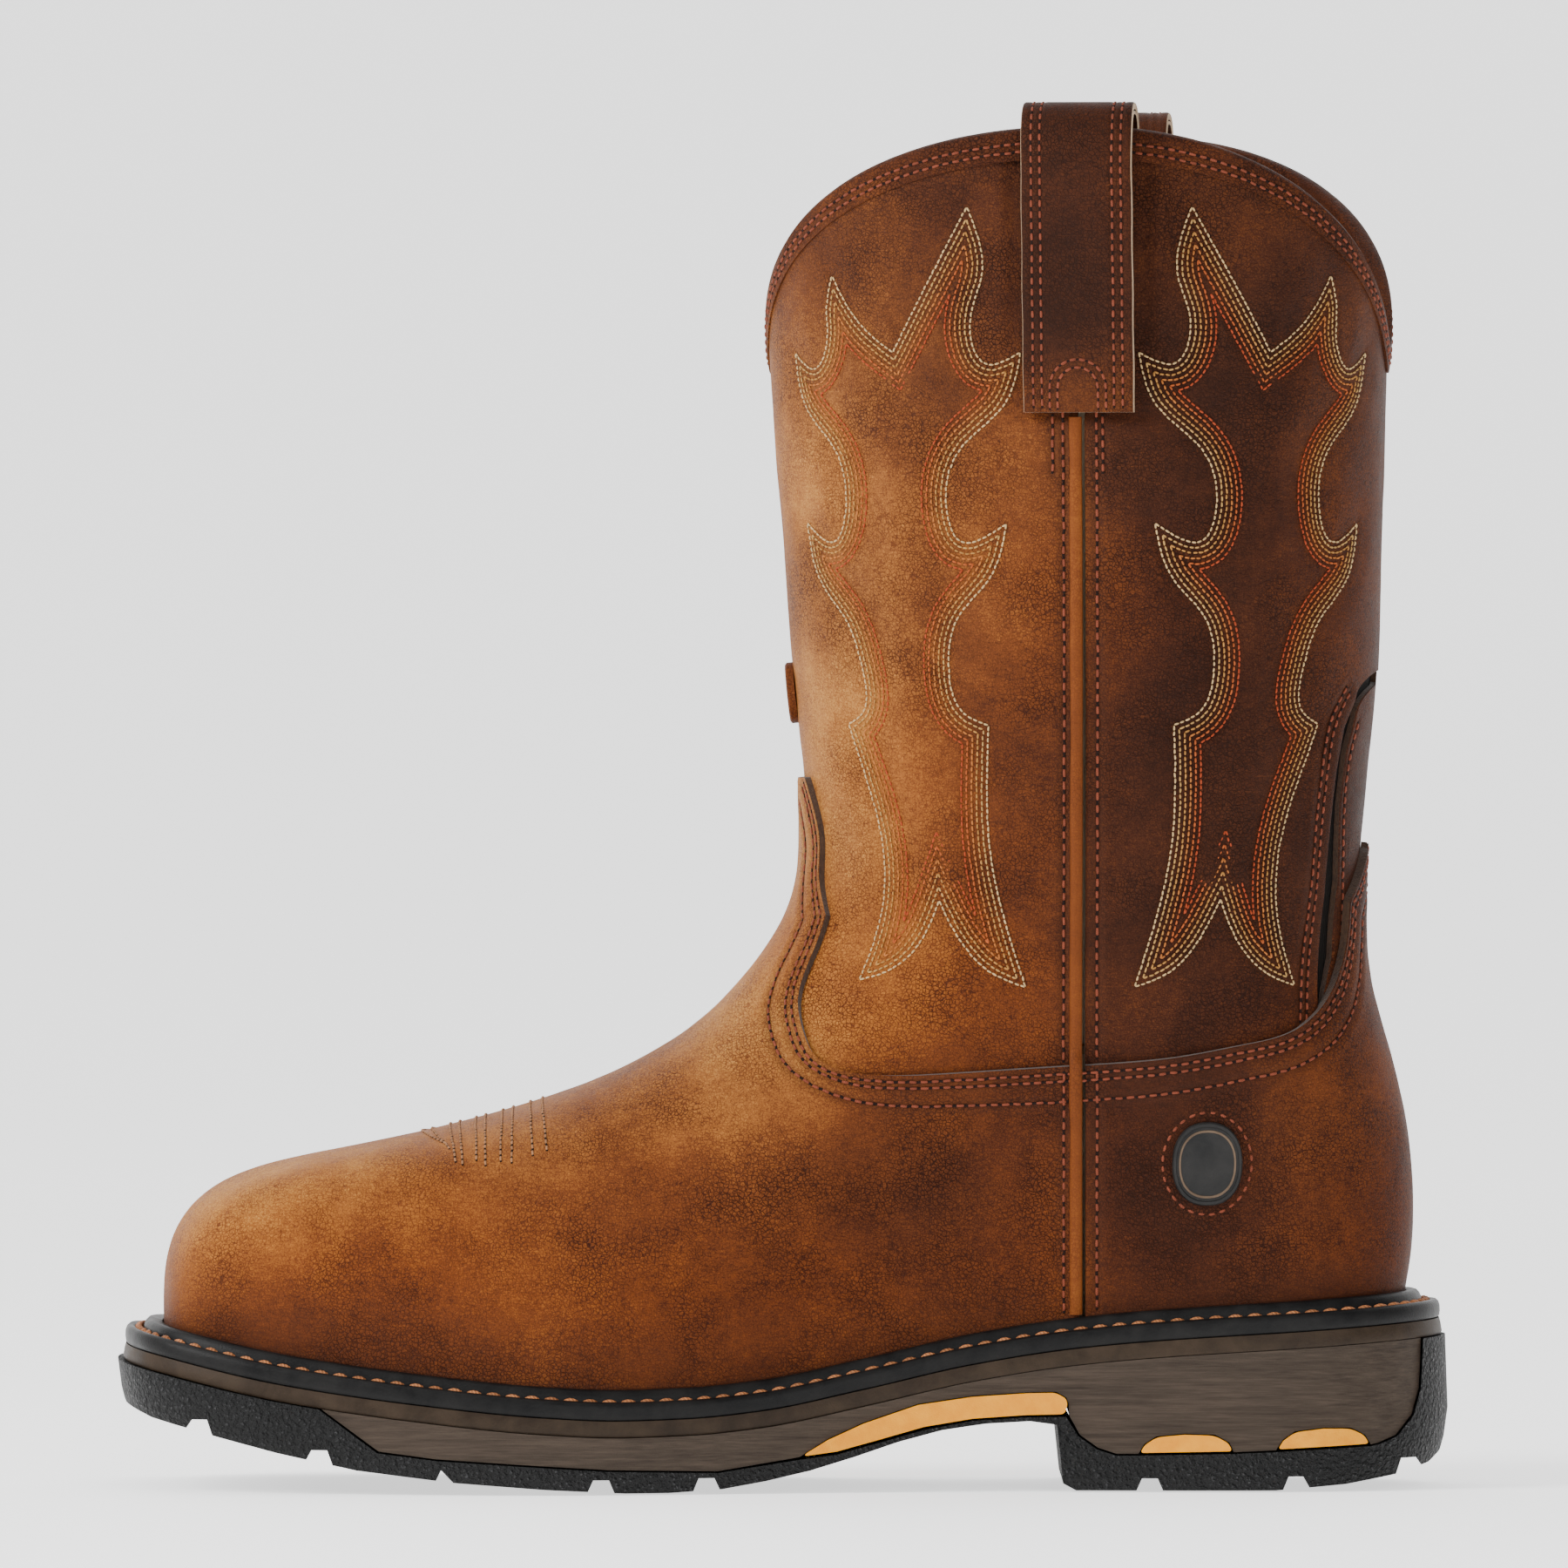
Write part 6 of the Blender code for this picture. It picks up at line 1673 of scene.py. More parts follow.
def strap_layer(side, word, part, low, high, node):
    strap = strap_frame(side)
    (across, depth), face_mats = strap_section(low, high)
    rings = strap_points(strap, side, strap_path(strap)[:, None], across, depth)
    points = rings.reshape(-1, 3)
    clouds = value_noise(points, 30.0, 8)
    tone = 0.17 + 0.05 * clouds + 0.18 * bell(points[:, 2] - 248, 12)
    put(swept(part + word, rings, [MATS['strap'], MATS['edge_pale'], MATS['edge_pale']],
              attrs=leather_attrs(len(points), tone, 0.42 + 0.2 * clouds),
              face_mats=face_mats, cap_mat=2), 'strap_' + word, 'strap_leather', node + word)


for side, word in SIDES:
    strap_layer(side, word, 'pull_strap_leather_', STRAP_BACK_T + 0.12,
                STRAP_BACK_T + STRAP_PLAY + STRAP_T, 'pull_strap_')
    strap_layer(side, word, 'pull_strap_backing_leather_', 0.0, STRAP_BACK_T,
                'pull_strap_backing_')


# ================================================================ stitches
RUST = (0.215, 0.050, 0.024)
TOE_TINT = (0.36, 0.17, 0.075)
# from the outer row inwards
FLAME_TINTS = [(0.66, 0.45, 0.21), (0.54, 0.31, 0.10), (0.50, 0.235, 0.058),
               (0.50, 0.165, 0.036), (0.48, 0.105, 0.024), (0.42, 0.062, 0.018)]
# rings along one stitch: (share of its length, thickness, height), the last two in radii
CORD = np.array([(0.0, 0.35, -0.55), (0.14, 0.92, 0.0), (0.38, 1.08, 0.35),
                 (0.62, 1.08, 0.35), (0.86, 0.92, 0.0), (1.0, 0.35, -0.55)])
HOLE_SIDES = 7


def needle_holes(starts, ends, along, norms, radius):
    """Points and triangles of a small pit at both ends of every stitch; the pit is coloured
    near-black as painted shade of the needle hole.
    """
    points = np.concatenate([starts - along * (radius * 0.35), ends + along * (radius * 0.35)])
    norms, along = np.concatenate([norms, norms]), np.concatenate([along, along])
    across = np.cross(norms, along)
    size = HOLE_SIDES
    ring = [points + along * (radius * 1.25 * math.cos(angle))
            + across * (radius * 1.15 * math.sin(angle)) + norms * (radius * 0.10)
            for angle in np.linspace(0, 2 * math.pi, size, endpoint=False)]
    tip, cap = points + norms * (-radius * 1.6), points + norms * (radius * 0.32)
    verts = np.stack(ring + [tip, cap], 1)
    tris = [(size, (a + 1) % size, a) for a in range(size)]
    tris += [(size + 1, a, (a + 1) % size) for a in range(size)]
    base = (np.arange(len(points)) * (size + 2))[:, None, None]
    return verts.reshape(-1, 3), (base + np.array(tris)[None]).reshape(-1, 3)


def stitch_mesh(name, starts, ends, norms, radius, tints, holes=False, sides=6):
    """One mesh of separate stitches: each a short cord that dives at both ends."""
    share, thick, high = CORD.T
    count = len(starts)
    length = np.linalg.norm(ends - starts, axis=1)[:, None]
    along = (ends - starts) / length
    norms = unit(norms - (norms * along).sum(1)[:, None] * along)
    across = np.cross(norms, along)
    angle = np.linspace(0, 2 * math.pi, sides, endpoint=False)
    centre = (starts[:, None] + along[:, None] * (length * share)[..., None]
              + norms[:, None] * (radius * high)[:, None])
    thick = radius * thick[:, None]
    rings = (centre[:, :, None]
             + across[:, None, None] * (thick * np.cos(angle))[..., None]
             + norms[:, None, None] * (thick * 0.85 * np.sin(angle))[..., None])
    verts = rings.reshape(-1, 3)
    per = len(CORD) * sides
    quads = [(k * sides + a, k * sides + (a + 1) % sides,
              (k + 1) * sides + (a + 1) % sides, (k + 1) * sides + a)
             for k in range(len(CORD) - 1) for a in range(sides)]
    caps = [tuple(range(sides))[::-1], tuple(range(per - sides, per))]
    base = (np.arange(count) * per)[:, None, None]
    faces = [(base + np.array(quads)[None]).reshape(-1, 4),
             (base + np.array(caps)[None]).reshape(-1, sides)]
    uvs = np.zeros((count, len(CORD), sides, 2))
    uvs[..., 0] = (share * length / (radius * 5))[..., None]
    uvs[..., 1] = np.arange(sides) / sides
    uvs = uvs.reshape(-1, 2)
    tints = np.repeat(tints, per, axis=0)
    mats, face_mats = [MATS['thread']], np.zeros(len(faces[0]) + len(faces[1]))
    if holes:
        hole_verts, tris = needle_holes(starts, ends, along, norms, radius)
        faces.append(tris + len(verts))
        verts = np.concatenate([verts, hole_verts])
        mats.append(MATS['hole'])
        face_mats = np.concatenate([face_mats, np.ones(len(tris))])
        tints = np.concatenate([tints, np.zeros((len(hole_verts), 3))])
        uvs = np.concatenate([uvs, np.zeros((len(hole_verts), 2))])
    return mesh_object(name, verts, faces, mats, face_mats, 0, {'tint': tints}, uvs)


def walk(points, norms, pitch, dash, slack=0.0):
    """Start, end and normal of every stitch along a line of points."""
    arc = arc_length(points)
    count = max(int(round((arc[-1] - slack) / pitch)), 1)
    real = arc[-1] / count
    start = (np.arange(count) + 0.5) * real - dash * real / pitch / 2
    end = start + dash * real / pitch
    return (interp_rows(start, arc, points), interp_rows(end, arc, points),
            interp_rows((start + end) / 2, arc, norms))


def stitch_rows(name, rows, lift, pitch, dash, radius, tints=(RUST,), holes=True):
    """Stitches along rows on the upper; lift(points, side) is their height over the surface."""
    rng = np.random.default_rng(7)
    lines = [(k, line) for k, row in enumerate(rows) for line in row if len(line) > 2]
    every = np.concatenate([line for _, line in lines])
    side = every[:, 2].astype(int)
    points, norms = sheet_at(every[:, 0], every[:, 1], side)
    points = points + norms * lift(points, side)[:, None]
    stitches, colours, first = [], [], 0
    for k, line in lines:
        part = slice(first, first + len(line))
        first += len(line)
        stitches.append(walk(points[part], norms[part], pitch, dash, slack=0.25))
        tint = np.asarray(tints[k % len(tints)])[None]
        vary = rng.uniform(-0.16, 0.12, (len(stitches[-1][0]), 1))
        colours.append(np.clip(tint * (1 + vary), 0, 1))
    starts, ends, norms = (np.concatenate(group) for group in zip(*stitches))
    starts = starts + rng.normal(0, 0.05, starts.shape)
    ends = ends + rng.normal(0, 0.05, ends.shape)
    put(stitch_mesh(name, starts, ends, norms, radius, np.concatenate(colours), holes),
        'boot', 'thread')


def lift_flame(points, side):
    return swell(points) - SHAFT_DROP - FLAME_GROOVE + 0.14


def lift_vamp(points, side):
    return vamp_out(points) + swell(points) - VAMP_GROOVE + 0.12


def lift_stay(points, side):
    return swell(points) - STAY_DROP - STAY_GROOVE + 0.14


def lift_shaft(points, side):
    """Height of the stitches in the shaft's leather, which rises off the flame rows."""
    distance = np.zeros(len(points))
    for half in (-1, 1):
        here = side == half
        if here.any():
            distance[here] = np.maximum(near_flame[('front', half)](points[here], 12.0),
                                        near_flame[('back', half)](points[here], 12.0))
    return swell(points) - SHAFT_DROP - SHAFT_GROOVE + 0.14 + rise_off_flame(distance)


def lift_collar(points, side):
    return np.full(len(points), BIND_OUT + BIND_T - 0.02)


def lift_toe(points, side):
    return VAMP_OUT + swell(points) + 0.06


for (which, side), rows in FLAMES.items():
    stitch_rows('flame_stitching_%s_%s' % (which, dict(SIDES)[side]), rows, lift_flame,
                pitch=1.35, dash=1.08, radius=0.205, tints=FLAME_TINTS, holes=False)
stitch_rows('vamp_edge_stitching', vamp_rows, lift_vamp, pitch=2.6, dash=1.9, radius=0.30)
stitch_rows('heel_cover_edge_stitching', heel_rows, lift_vamp, pitch=2.6, dash=1.9, radius=0.30)
stitch_rows('side_seam_stitching_upper', seam_rows_upper + strap_leg_rows, lift_shaft,
            pitch=2.8, dash=2.0, radius=0.31)
stitch_rows('side_seam_stitching_lower', seam_rows_lower, lift_vamp,
            pitch=2.8, dash=2.0, radius=0.31)
stitch_rows('rear_cut_stitching', cut_rows, lift_shaft, pitch=2.5, dash=1.85, radius=0.29)
stitch_rows('backstay_stitching', stay_rows, lift_stay, pitch=2.5, dash=1.85, radius=0.29)

# rows along the top of the collar
collar_phi = np.linspace(0.0, 1.0, 260)
collar_rows = [[with_side(np.stack([collar_phi, top_row(collar_phi, side, drop)], 1), side)]
               for drop in (2.0, 3.9) for side in (-1, 1)]
stitch_rows('collar_stitching', collar_rows, lift_collar, pitch=2.5, dash=1.85, radius=0.29)


def strap_stitching(side, word):
    """Rows along the strap's edges, and two arches at the foot of its outer leg."""
    strap = strap_frame(side)
    out, up = strap[1], np.array([0, 0, 1.0])
    depth = STRAP_BACK_T + STRAP_PLAY + STRAP_T - 0.2
    path = strap_path(strap)[1:LEG_STATIONS + 18]
    norms = out * path[:, 2:3] + up * path[:, 3:4]
    stitches = [walk(strap_points(strap, side, path, across, depth), norms, 2.5, 1.8)
                for across in STRAP_ROWS]
    angle = np.linspace(0, math.pi, 60)
    low, centre = STRAP_BOTTOM + 0.6, STRAP_BOTTOM + 5.6
    for radius in (4.6, 6.4):
        across = np.concatenate([np.full(20, -radius), -radius * np.cos(angle),
                                 np.full(20, radius)])
        z = np.concatenate([np.linspace(low, centre, 20), centre + radius * np.sin(angle),
                            np.linspace(centre, low, 20)])
        path = np.stack([strap_legs(strap, z)[0], z, np.ones(len(z)), np.zeros(len(z))], 1)
        points = strap_points(strap, side, path, across, depth + 0.16, edge_wave=0.0)
        stitches.append(walk(points, np.broadcast_to(out, points.shape), 2.2, 1.7))
    starts, ends, norms = (np.concatenate(group) for group in zip(*stitches))
    vary = np.random.default_rng(3).uniform(-0.16, 0.12, (len(starts), 1))
    put(stitch_mesh('pull_strap_stitching_' + word, starts, ends, norms, 0.29,
                    np.array(RUST)[None] * (1 + vary), holes=True), 'strap_' + word, 'thread')


for side, word in SIDES:
    strap_stitching(side, word)

# ================================================================ sole
RING_COUNT = res(420)    # points from toe to heel on each side


def even_phis(side):
    """phi of points evenly spaced along one half of the outline."""
    dense = np.linspace(0, 1, 4001)
    arc = arc_length(np.stack(outline(dense, side, 0.0), 1))
    return np.interp(np.linspace(0, arc[-1], RING_COUNT), arc, dense)


RING_PHI = ((-1, even_phis(-1)), (1, even_phis(1)[::-1][1:-1]))


def ring_points(inset, z_of_x):
    """A loop parallel to the outline; inset is a number or a function of x."""
    points = []
    for side, phi in RING_PHI:
        edge_x, _ = outline(phi, side, 0.0)
        x, y = outline(phi, side, inset(edge_x) if callable(inset) else inset)
        points.append(np.stack([x, y, z_of_x(x)], 1))
    return np.concatenate(points)


def plate(name, levels, mat, sharp=35):
    """A solid between stacked loops, given from the bottom up as (inset, height of x)."""
    rings = [ring_points(inset, z_of_x) for inset, z_of_x in levels]
    size = len(rings[0])
    k, i = np.arange(len(rings) - 1)[:, None] * size, np.arange(size)[None]
    j = (i + 1) % size
    walls = np.stack([(k + i).ravel(), (k + j).ravel(), (k + size + j).ravel(),
                      (k + size + i).ravel()], 1)
    # bottom and top: strips from side to side, with a triangle at toe and heel
    tris, quads = [], []
    for base, flip in ((0, True), ((len(rings) - 1) * size, False)):
        for a in range(RING_COUNT - 1):
            face = list(dict.fromkeys([base + a, base + a + 1, base + (size - a - 1) % size,
                                       base + (size - a) % size]))
            (quads if len(face) == 4 else tris).append(face[::-1] if flip else face)
    made = mesh_object(name, np.concatenate(rings),
                       [walls, np.array(quads), np.array(tris)], [mat], sharp=sharp)
    face_outwards(made.data)
    return made


def wall_tool(name, low, middle, top, mat):
    """The sole's outer wall as a solid; low, middle and top are insets."""
    levels = ((low + 2.0, -3.0), (low, 3.0), (middle, 9.0), (top, 26.0), (top, 60.0))
    return plate(name, [(inset, lambda x, lift=lift: flare_z(x) + lift)
                        for inset, lift in levels], mat, sharp=0)


def prism(name, outline_xz, mat, half_width=75.0):
    count = len(outline_xz)
    verts = [(x, y, z) for y in (-half_width, half_width) for x, z in outline_xz]
    faces = [tuple(range(count)), tuple(range(count, 2 * count))[::-1]]
    faces += [(i, (i + 1) % count, (i + 1) % count + count, i + count) for i in range(count)]
    mesh = bpy.data.meshes.new(name)
    mesh.from_pydata([tuple(float(value) * MM for value in vert) for vert in verts], [], faces)
    face_outwards(mesh)
    mesh.materials.append(mat)
    return link(name, mesh)


def wall_piece(name, outline_xz, mat, tool, bevel, segments, node, slot):
    """A side profile cut to the sole's wall, with softened edges."""
    piece = prism(name, outline_xz, mat)
    boolean = piece.modifiers.new('b', 'BOOLEAN')
    boolean.operation, boolean.object, boolean.solver = 'INTERSECT', tool, 'EXACT'
    bpy.context.view_layer.update()
    depsgraph = bpy.context.evaluated_depsgraph_get()
    result = bpy.data.meshes.new_from_object(piece.evaluated_get(depsgraph))
    piece.modifiers.clear()
    old, piece.data = piece.data, result
    bpy.data.meshes.remove(old)
    edge = piece.modifiers.new('edge', 'BEVEL')
    edge.width, edge.segments = bevel * MM, segments
    edge.limit_method, edge.angle_limit = 'ANGLE', math.radians(35)
    edge.use_clamp_overlap = True
    piece.data.shade_smooth()
    piece.data.set_sharp_from_angle(angle=math.radians(40))
    put(piece, 'boot', slot, node)


# side view of the midsole's sidewall, (x, z)
SIDE_LOW = [(-92.0, 9.6), (-79.0, 7.9), (-60.6, 6.7), (-40.0, 5.4), (-15.0, 4.9)]
ARCH_TOP = [(3.5, 7.9), (9.8, 11.9), (18.0, 15.6), (30.5, 19.8), (43.0, 21.6), (55.4, 22.4),
            (62.0, 22.5), (64.3, 21.2), (64.8, 19.8)]
ARCH_LOW = [(64.1, 17.2), (55.0, 17.0), (43.0, 16.2), (32.0, 14.4), (22.0, 11.6), (12.0, 8.9)]
HEEL_LOW = [(65.0, 17.0), (67.4, 12.7), (71.5, 9.8), (75.7, 8.4)]
WINDOW_FRONT = [(80.7, 8.4), (82.0, 10.6), (84.8, 12.4), (91.0, 13.0), (98.1, 12.8),
                (101.4, 11.0), (102.4, 8.8)]
WINDOW_REAR = [(112.0, 9.2), (113.6, 11.6), (116.3, 13.5), (123.0, 14.3), (129.2, 14.2),
               (132.4, 12.6), (133.8, 10.3)]
HEEL_BACK = [(135.4, 10.6), (139.6, 12.3), (143.3, 16.8), (145.0, 22.6), (145.4, 28.0)]
# upper edge of the outsole, between the ends that follow the midsole band
OUTSOLE_TOP = [
    (-92.3, 9.2), (-79.0, 7.5), (-60.6, 6.3), (-40.0, 5.0), (-15.0, 4.5), (3.5, 7.3),
    (12.0, 8.4), (22.0, 11.1), (32.0, 13.9), (43.0, 15.9), (55.0, 16.7), (64.3, 16.8),
    (67.0, 12.4), (71.3, 9.4), (75.6, 8.0), (80.7, 8.0), (102.4, 8.4), (112.0, 8.8),
    (133.8, 9.9), (135.6, 10.2), (140.0, 12.0), (143.8, 16.6), (145.5, 22.5), (145.9, 28.0)]
# underside of the heel from back to breast, then the x of stations that follow the ground line
HEEL_GROUND = [(152.9, 13.0), (151.5, 8.8), (147.5, 5.6), (140, 3.4), (128, 1.3), (112, 0.0),
               (66.5, 0.0), (63.6, 1.6), (62.2, 15.0)]
GROUND_X = (56, 46, 36, 26, 16, 6, -4, -14, -26, -36, -54, -75, -97, -115, -129, -144, -150.5,
            -154)
GROOVES = [142.7, 116.7, 83.3, -17.6, -41.5, -76.0, -105.5, -133.0]   # x between the lugs
GROOVE_HALF_MOUTH, GROOVE_HALF_FLOOR, GROOVE_DEPTH = 3.0, 1.8, 2.8


def on_band(x_values, lift):
    """Points along the underside of the midsole band."""
    return [(x, float(band_z(x)) + lift) for x in x_values]


def shrink(points, distance):
    """A closed polygon moved inwards."""
    points = np.array(points, float)
    edge = np.roll(points, -1, 0) - points
    if np.sum(cross2(points, np.roll(points, -1, 0))) < 0:
        distance = -distance
    normal = np.stack([-edge[:, 1], edge[:, 0]], 1) / np.hypot(*edge.T)[:, None]
    corner = normal + np.roll(normal, 1, 0)
    size = np.maximum(np.einsum('ij,ij->i', corner, corner), 0.5)
    return points + corner / size[:, None] * 2 * distance


def rounded(points, radius, steps=4):
    """A polygon with its sharper corners rounded."""
    out = []
    for k, corner in enumerate(points):
        before, after = points[k - 1] - corner, points[(k + 1) % len(points)] - corner
        size_before, size_after = np.hypot(*before), np.hypot(*after)
        before, after = before / size_before, after / size_after
        if before @ after < -0.92:
            out.append(corner)
            continue
        cut = min(radius, size_before * 0.42, size_after * 0.42)
        for t in np.linspace(0, 1, steps + 1):
            out.append((1 - t) ** 2 * (corner + before * cut) + 2 * t * (1 - t) * corner
                       + t ** 2 * (corner + after * cut))
    return out


def lug_bottom():
    """Underside from heel to toe, with the grooves between the lugs."""
    points = HEEL_GROUND + [(x, float(ground_z(x))) for x in GROUND_X]
    grooved = []
    for (start_x, start_z), (end_x, end_z) in zip(points, points[1:]):
        slope = (end_z - start_z) / (end_x - start_x)
        grooved.append((start_x, start_z))
        for groove in GROOVES:
            if end_x < groove <= start_x:
                middle = start_z + slope * (groove - start_x)
                mouth, floor_z = GROOVE_HALF_MOUTH, middle + GROOVE_DEPTH
                grooved += [(groove + mouth, middle + slope * mouth),
                            (groove + GROOVE_HALF_FLOOR, floor_z),
                            (groove - GROOVE_HALF_FLOOR, floor_z),
                            (groove - mouth, middle - slope * mouth)]
    grooved.append(points[-1])
    # where a groove reaches over a station, points that would turn back are left out
    clean = [grooved[0]]
    for point in grooved[1:]:
        if point[0] < clean[-1][0] - 0.2:
            clean.append(point)
    return clean


black_wall = wall_tool('tool_black', 0.9, 0.0, 0.6, MATS['black'])
brown_wall = wall_tool('tool_brown', 1.4, 0.7, 1.4, MATS['mid'])
amber_wall = wall_tool('tool_amber', 0.5, 0.1, 0.8, MATS['amber'])

sidewall = (on_band(np.linspace(-105.0, 145.6, 60), -0.14) + HEEL_BACK[::-1]
            + WINDOW_REAR[::-1] + WINDOW_FRONT[::-1] + HEEL_LOW[::-1] + ARCH_TOP[::-1]
            + SIDE_LOW[::-1])
wall_piece('midsole_sidewall_rubber', sidewall, MATS['mid'], brown_wall, 0.35, 2,
           'midsole_sidewall', 'midsole_rubber')
for node, profile in (('arch_insert', ARCH_TOP + ARCH_LOW), ('heel_insert_front', WINDOW_FRONT),
                      ('heel_insert_rear', WINDOW_REAR)):
    wall_piece(node + '_rubber', rounded(shrink(profile, 0.22), 2.0), MATS['amber'], amber_wall,
               0.55, 3, node, 'amber_insert')

outsole_top = (on_band([-154.0, *np.linspace(-150.0, -105.6, 5)], -OUTSOLE_GAP) + OUTSOLE_TOP
               + on_band([146.1, 154.0], -OUTSOLE_GAP))
wall_piece('outsole_pebbled', outsole_top + lug_bottom(), MATS['black'], black_wall, 1.1, 3,
           'outsole', 'outsole_rubber')
for tool in (black_wall, brown_wall, amber_wall):
    bpy.data.objects.remove(tool, do_unlink=True)

band = plate('midsole_band_ring', [(1.55, band_z), (1.35, lambda x: band_z(x) + 0.5),
                                   (1.65, lambda x: band_z(x) + 2.4),
                                   (2.0, lambda x: welt_z(x) - 0.06)], MATS['band'])
put(band, 'boot', 'midsole_rubber', 'midsole_band')


# ---------------------------------------------------------------- welt
def under_upper(x):
    """Inset of the welt's inner face, just inside the upper."""
    return upper_inset(x) - VAMP_OUT - 0.2


# section, (inset, height over the underside), from the lower outer edge round to the inside
WELT_SECTION = [
    (2.35, 0.0), (1.95, 0.4), (1.8, 1.4), (1.85, 2.7), (2.15, 3.6), (2.7, 4.15), (3.5, 4.3),
    (4.05, 4.1), (4.35, 3.45), (5.0, 3.2), (5.7, 3.4), (6.0, 4.1), (6.15, 5.0), (6.5, 5.9),
    (7.1, 6.6), (7.9, 6.9), (under_upper, 6.75), (under_upper, 0.1)]
welt_rings = np.stack([ring_points(inset, lambda x: welt_z(x) + height)
                       for inset, height in WELT_SECTION], 1)
put(swept('welt_rubber_ring', welt_rings, [MATS['welt']], closed=True, sharp=50),
    'boot', 'welt_rubber', 'welt')


def welt_stitches():
    """Separate slanted stitches in the welt's groove."""
    path = ring_points(5.0, lambda x: welt_z(x) + 3.95)
    path = np.concatenate([path, path[:1]])
    arc = arc_length(path)
    count = int(arc[-1] / 4.4)
    middle = (np.arange(count) + 0.5) * arc[-1] / count

    def point(place):
        return interp_rows(place % arc[-1], arc, path)

    centre, along = point(middle), unit(point(middle + 0.5) - point(middle - 0.5))
    up = np.tile([0, 0, 1.0], (count, 1))
    out = unit(np.cross(along, up))
    slant = along * 1.95 + out * 0.45
    vary = np.random.default_rng(5).uniform(-0.3, 0.25, (count, 1))
    tints = np.array([0.36, 0.135, 0.05])[None] * (1 + vary)
    put(stitch_mesh('welt_stitches', centre - slant, centre + slant, up * 0.85 + out * 0.35,
                    0.72, tints, sides=8), 'boot', 'thread', 'welt_stitching')


welt_stitches()


# ================================================================ badge and front patch
def local_frame(phi, row):
    """Centre, outward, sideways and upward directions at a place on the lateral surface."""
    centre, out = (value[0] for value in sheet_at([phi], [row], -1))
    up = np.array([0, 0, 1.0]) - out * out[2]
    up /= np.linalg.norm(up)
    return centre, out, np.cross(out, up), up


def oval(name, place, half_width, half_height, section, mats, step_mats, attrs=None):
    """A flat oval; section is (share of its size, height), step_mats one for each step."""
    centre, out, sideways, up = local_frame(*place)
    angle = np.linspace(0, 2 * math.pi, 72, endpoint=False)
    cosine, sine = np.cos(angle), np.sin(angle)
    power = 2 / 2.3
    wide = (np.copysign(np.abs(cosine) ** power, cosine) * half_width)[:, None]
    tall = (np.copysign(np.abs(sine) ** power, sine) * half_height)[:, None]
    rings = [centre + sideways * (wide * share) + up * (tall * share) + out * lift
             for share, lift in section]
    return swept(name, rings, mats, attrs=attrs, face_mats=np.array(step_mats)[:, None])


BADGE_PLACE = side_view_vamp.locate([(96.4, 74.4)])[0]
# (share of the size, height over the vamp)
BADGE_SECTION = [(1.0, -0.9), (1.0, 0.9), (0.97, 1.3), (0.90, 1.35), (0.88, 1.05), (0.82, 1.05),
                 (0.81, 1.22), (0.77, 1.22), (0.76, 1.05), (0.4, 1.12), (0.05, 1.15)]
badge = oval('heel_badge_oval', BADGE_PLACE, 8.0, 9.6,
             [(share, VAMP_OUT + lift) for share, lift in BADGE_SECTION],
             [MATS['badge'], MATS['badge_rim']], [0, 0, 0, 0, 0, 1, 1, 1, 0, 0])
put(badge, 'boot', 'badge_rubber', 'heel_badge')

PATCH_SECTION = [(1.0, -0.3), (1.0, 1.2), (0.93, 1.6), (0.8, 1.55), (0.76, 1.35), (0.7, 1.55),
                 (0.05, 1.7)]
patch = oval('front_patch_leather', (0.0, single_row(181.5, -1, phi=0.0)), 6.0, 7.0,
             PATCH_SECTION, [MATS['strap']], [0] * 6,
             leather_attrs(len(PATCH_SECTION) * 72, tone=0.46, warm=0.6))
put(patch, 'boot', 'strap_leather', 'front_patch')


def badge_stitching():
    """A ring of stitches round the badge."""
    centre, out, sideways, up = local_frame(*BADGE_PLACE)
    angle = np.linspace(0, 2 * math.pi, 240)[:, None]
    ring = centre + sideways * (10.2 * np.cos(angle)) + up * (11.8 * np.sin(angle))
    places = side_view_vamp.locate((ring + out * VAMP_OUT)[:, [0, 2]])
    stitch_rows('badge_stitching', [[with_side(places, -1)]], lift_vamp,
                pitch=2.5, dash=1.95, radius=0.34)


badge_stitching()

# short rows over the ridge of the vamp: (x, height of both ends, bend of the ends to the heel)
TOE_ROWS = ((-82.5, 75.2, 6.0), (-80.2, 74.6, 4.5), (-76.0, 72.6, 1.6), (-73.8, 72.2, 1.0),
            (-70.0, 73.4, 0.4), (-67.8, 72.4, 0.2), (-63.8, 73.6, -0.4), (-61.4, 73.2, -0.2),
            (-57.4, 74.6, 0.6), (-54.6, 75.6, 1.0))


def toe_row(x, low, bend):
    halves = []
    for side in (1, -1):
        fan = np.linspace(0.004, 0.46, 110)
        heights = surface(fan, row_at_x(fan, side, x), side)[:, 2]
        wide = float(np.interp(low, heights[::-1], fan[::-1]))
        phi = np.linspace(wide, 0.004, 60) if side > 0 else np.linspace(0.0, wide, 60)
        row = row_at_x(phi, side, x + bend * (phi / wide) ** 2)
        halves.append(with_side(np.stack([phi, row], 1), side))
    return [np.concatenate(halves)]


stitch_rows('toe_stitching', [toe_row(*row) for row in TOE_ROWS], lift_toe,
            pitch=2.0, dash=1.5, radius=0.26, tints=(TOE_TINT,))

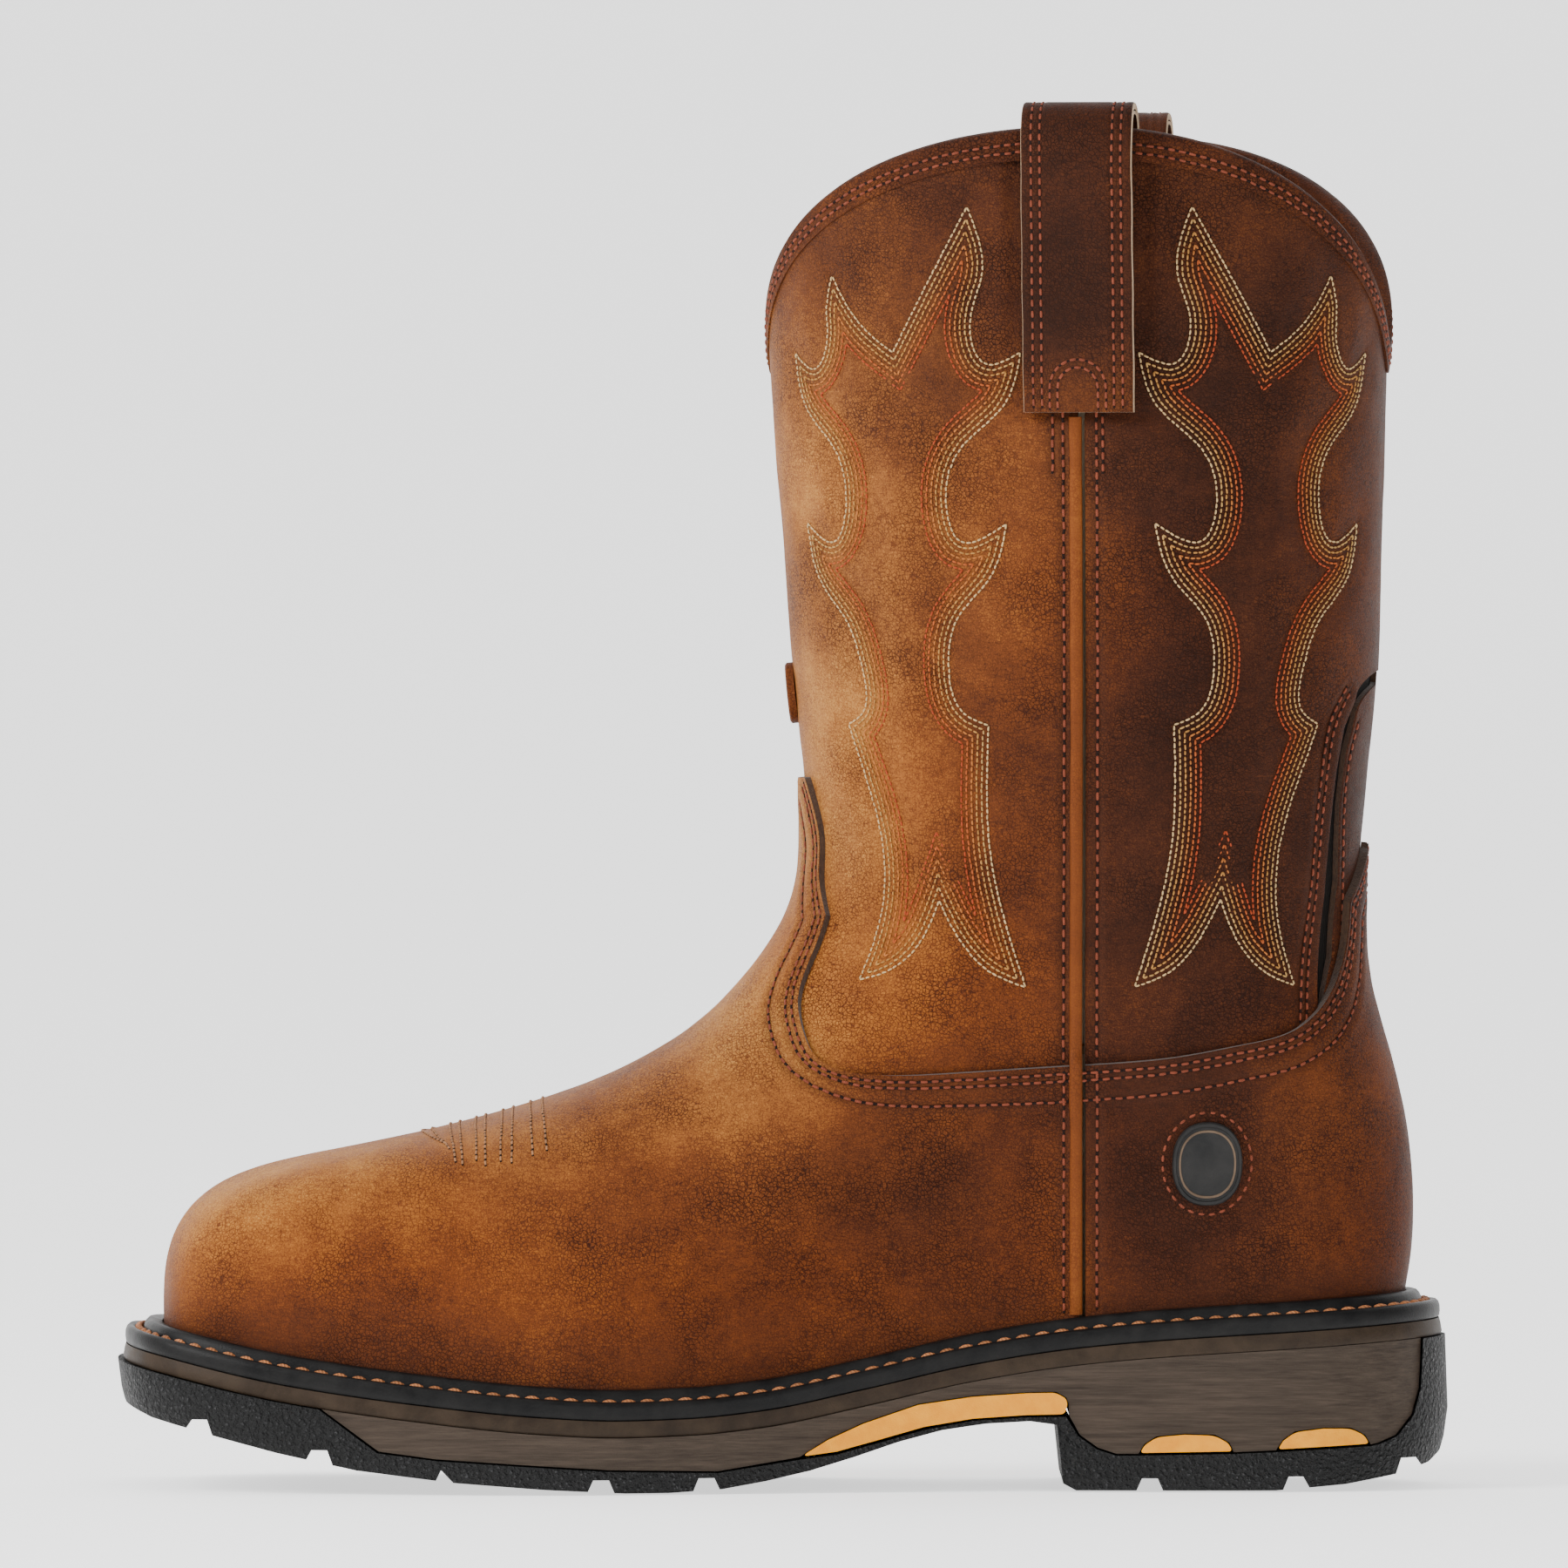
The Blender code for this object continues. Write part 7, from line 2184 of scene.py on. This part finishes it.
# ================================================================ inner CAD pieces kept as shapes
for node, mat in (('bottom_filler', 'cork'), ('steel_shank', 'steel'), ('insole_board', 'board'),
                  ('footbed_foam', 'foam'), ('footbed_cover', 'footbed'),
                  ('steel_toe_cap', 'steel'), ('toe_cap_edge_strip', 'foam'),
                  ('heel_stiffener', 'stiffener')):
    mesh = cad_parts[node].data
    mesh.materials.clear()
    mesh.materials.append(MATS[mat])
    mesh.polygons.foreach_set('material_index', np.zeros(len(mesh.polygons), np.int32))
    mesh.shade_smooth()
    mesh.set_sharp_from_angle(angle=math.radians(35))


# ================================================================ stage, light and camera (m)
def floor_paper():
    """Glowing white paper, clear from behind so that it never hides the boot."""
    mat = bpy.data.materials.new('floor_paper')
    mat.use_nodes = True
    tree = mat.node_tree
    bsdf = tree.nodes['Principled BSDF']
    bsdf.inputs['Base Color'].default_value = (0.88, 0.88, 0.88, 1)
    bsdf.inputs['Emission Color'].default_value = (1, 1, 1, 1)
    bsdf.inputs['Emission Strength'].default_value = 1.15
    bsdf.inputs['Roughness'].default_value = 0.9
    facing = tree.nodes.new('ShaderNodeNewGeometry')
    clear = tree.nodes.new('ShaderNodeBsdfTransparent')
    both = tree.nodes.new('ShaderNodeMixShader')
    tree.links.new(facing.outputs['Backfacing'], both.inputs[0])
    tree.links.new(bsdf.outputs[0], both.inputs[1])
    tree.links.new(clear.outputs[0], both.inputs[2])
    tree.links.new(both.outputs[0], tree.nodes['Material Output'].inputs['Surface'])
    return mat


def floor():
    """A sheet that curves up behind the boot."""
    radius, depth, half_width, drop = 1.2, 2.2, 7.0, 0.0004
    mat = floor_paper()
    profile = [(-6.0, 0.0)]
    profile += [(depth + radius * math.sin(angle), radius * (1 - math.cos(angle)))
                for angle in np.linspace(0, math.pi / 2, 24)]
    profile += [(depth + radius, 7.0)]
    mesh = bpy.data.meshes.new('floor')
    mesh.from_pydata([(x, y, z - drop) for y, z in profile for x in (-half_width, half_width)],
                     [], [(2 * k, 2 * k + 1, 2 * k + 3, 2 * k + 2)
                          for k in range(len(profile) - 1)])
    mesh.materials.append(mat)
    mesh.shade_smooth()
    link('floor', mesh)


def aim(thing, place, target):
    thing.location = place
    thing.rotation_mode = 'QUATERNION'
    thing.rotation_quaternion = (Vector(target) - Vector(place)).to_track_quat('-Z', 'Y')


def lamp(name, place, target, size, power, size_y=None):
    data = bpy.data.lights.new(name, 'AREA')
    data.energy, data.color = power, (1, 1, 1)
    data.size = size
    if size_y:
        data.shape, data.size_y = 'RECTANGLE', size_y
    made = bpy.data.objects.new(name, data)
    aim(made, place, target)
    bpy.context.scene.collection.objects.link(made)


def camera():
    """Looks at the lateral side from -y."""
    place, target = Vector((0.0, -4.5, 0.210)), Vector((0.0, 0.0, 0.1605))
    sensor, view_width = 36.0, 0.360
    data = bpy.data.cameras.new('camera')
    made = link('camera', data)
    aim(made, place, target)
    data.sensor_width = sensor
    data.lens = sensor * (place - target).length / view_width
    data.clip_start, data.clip_end = 0.05, 50
    bpy.context.scene.camera = made


floor()

world = bpy.data.worlds.new('studio')
bpy.context.scene.world = world
world.use_nodes = True
background = world.node_tree.nodes['Background']
background.inputs['Color'].default_value = (1, 1, 1, 1)
background.inputs['Strength'].default_value = 0.42

lamp('key', place=(-1.4, -0.8, 1.15), target=(0, 0, 0.12), size=0.8, power=42, size_y=1.1)
lamp('fill', place=(0.7, -2.0, 0.9), target=(0, 0, 0.15), size=1.1, power=15)
lamp('top', place=(-0.3, 0.0, 1.9), target=(0, 0, 0.1), size=1.2, power=8)
camera()

bpy.context.view_layer.update()
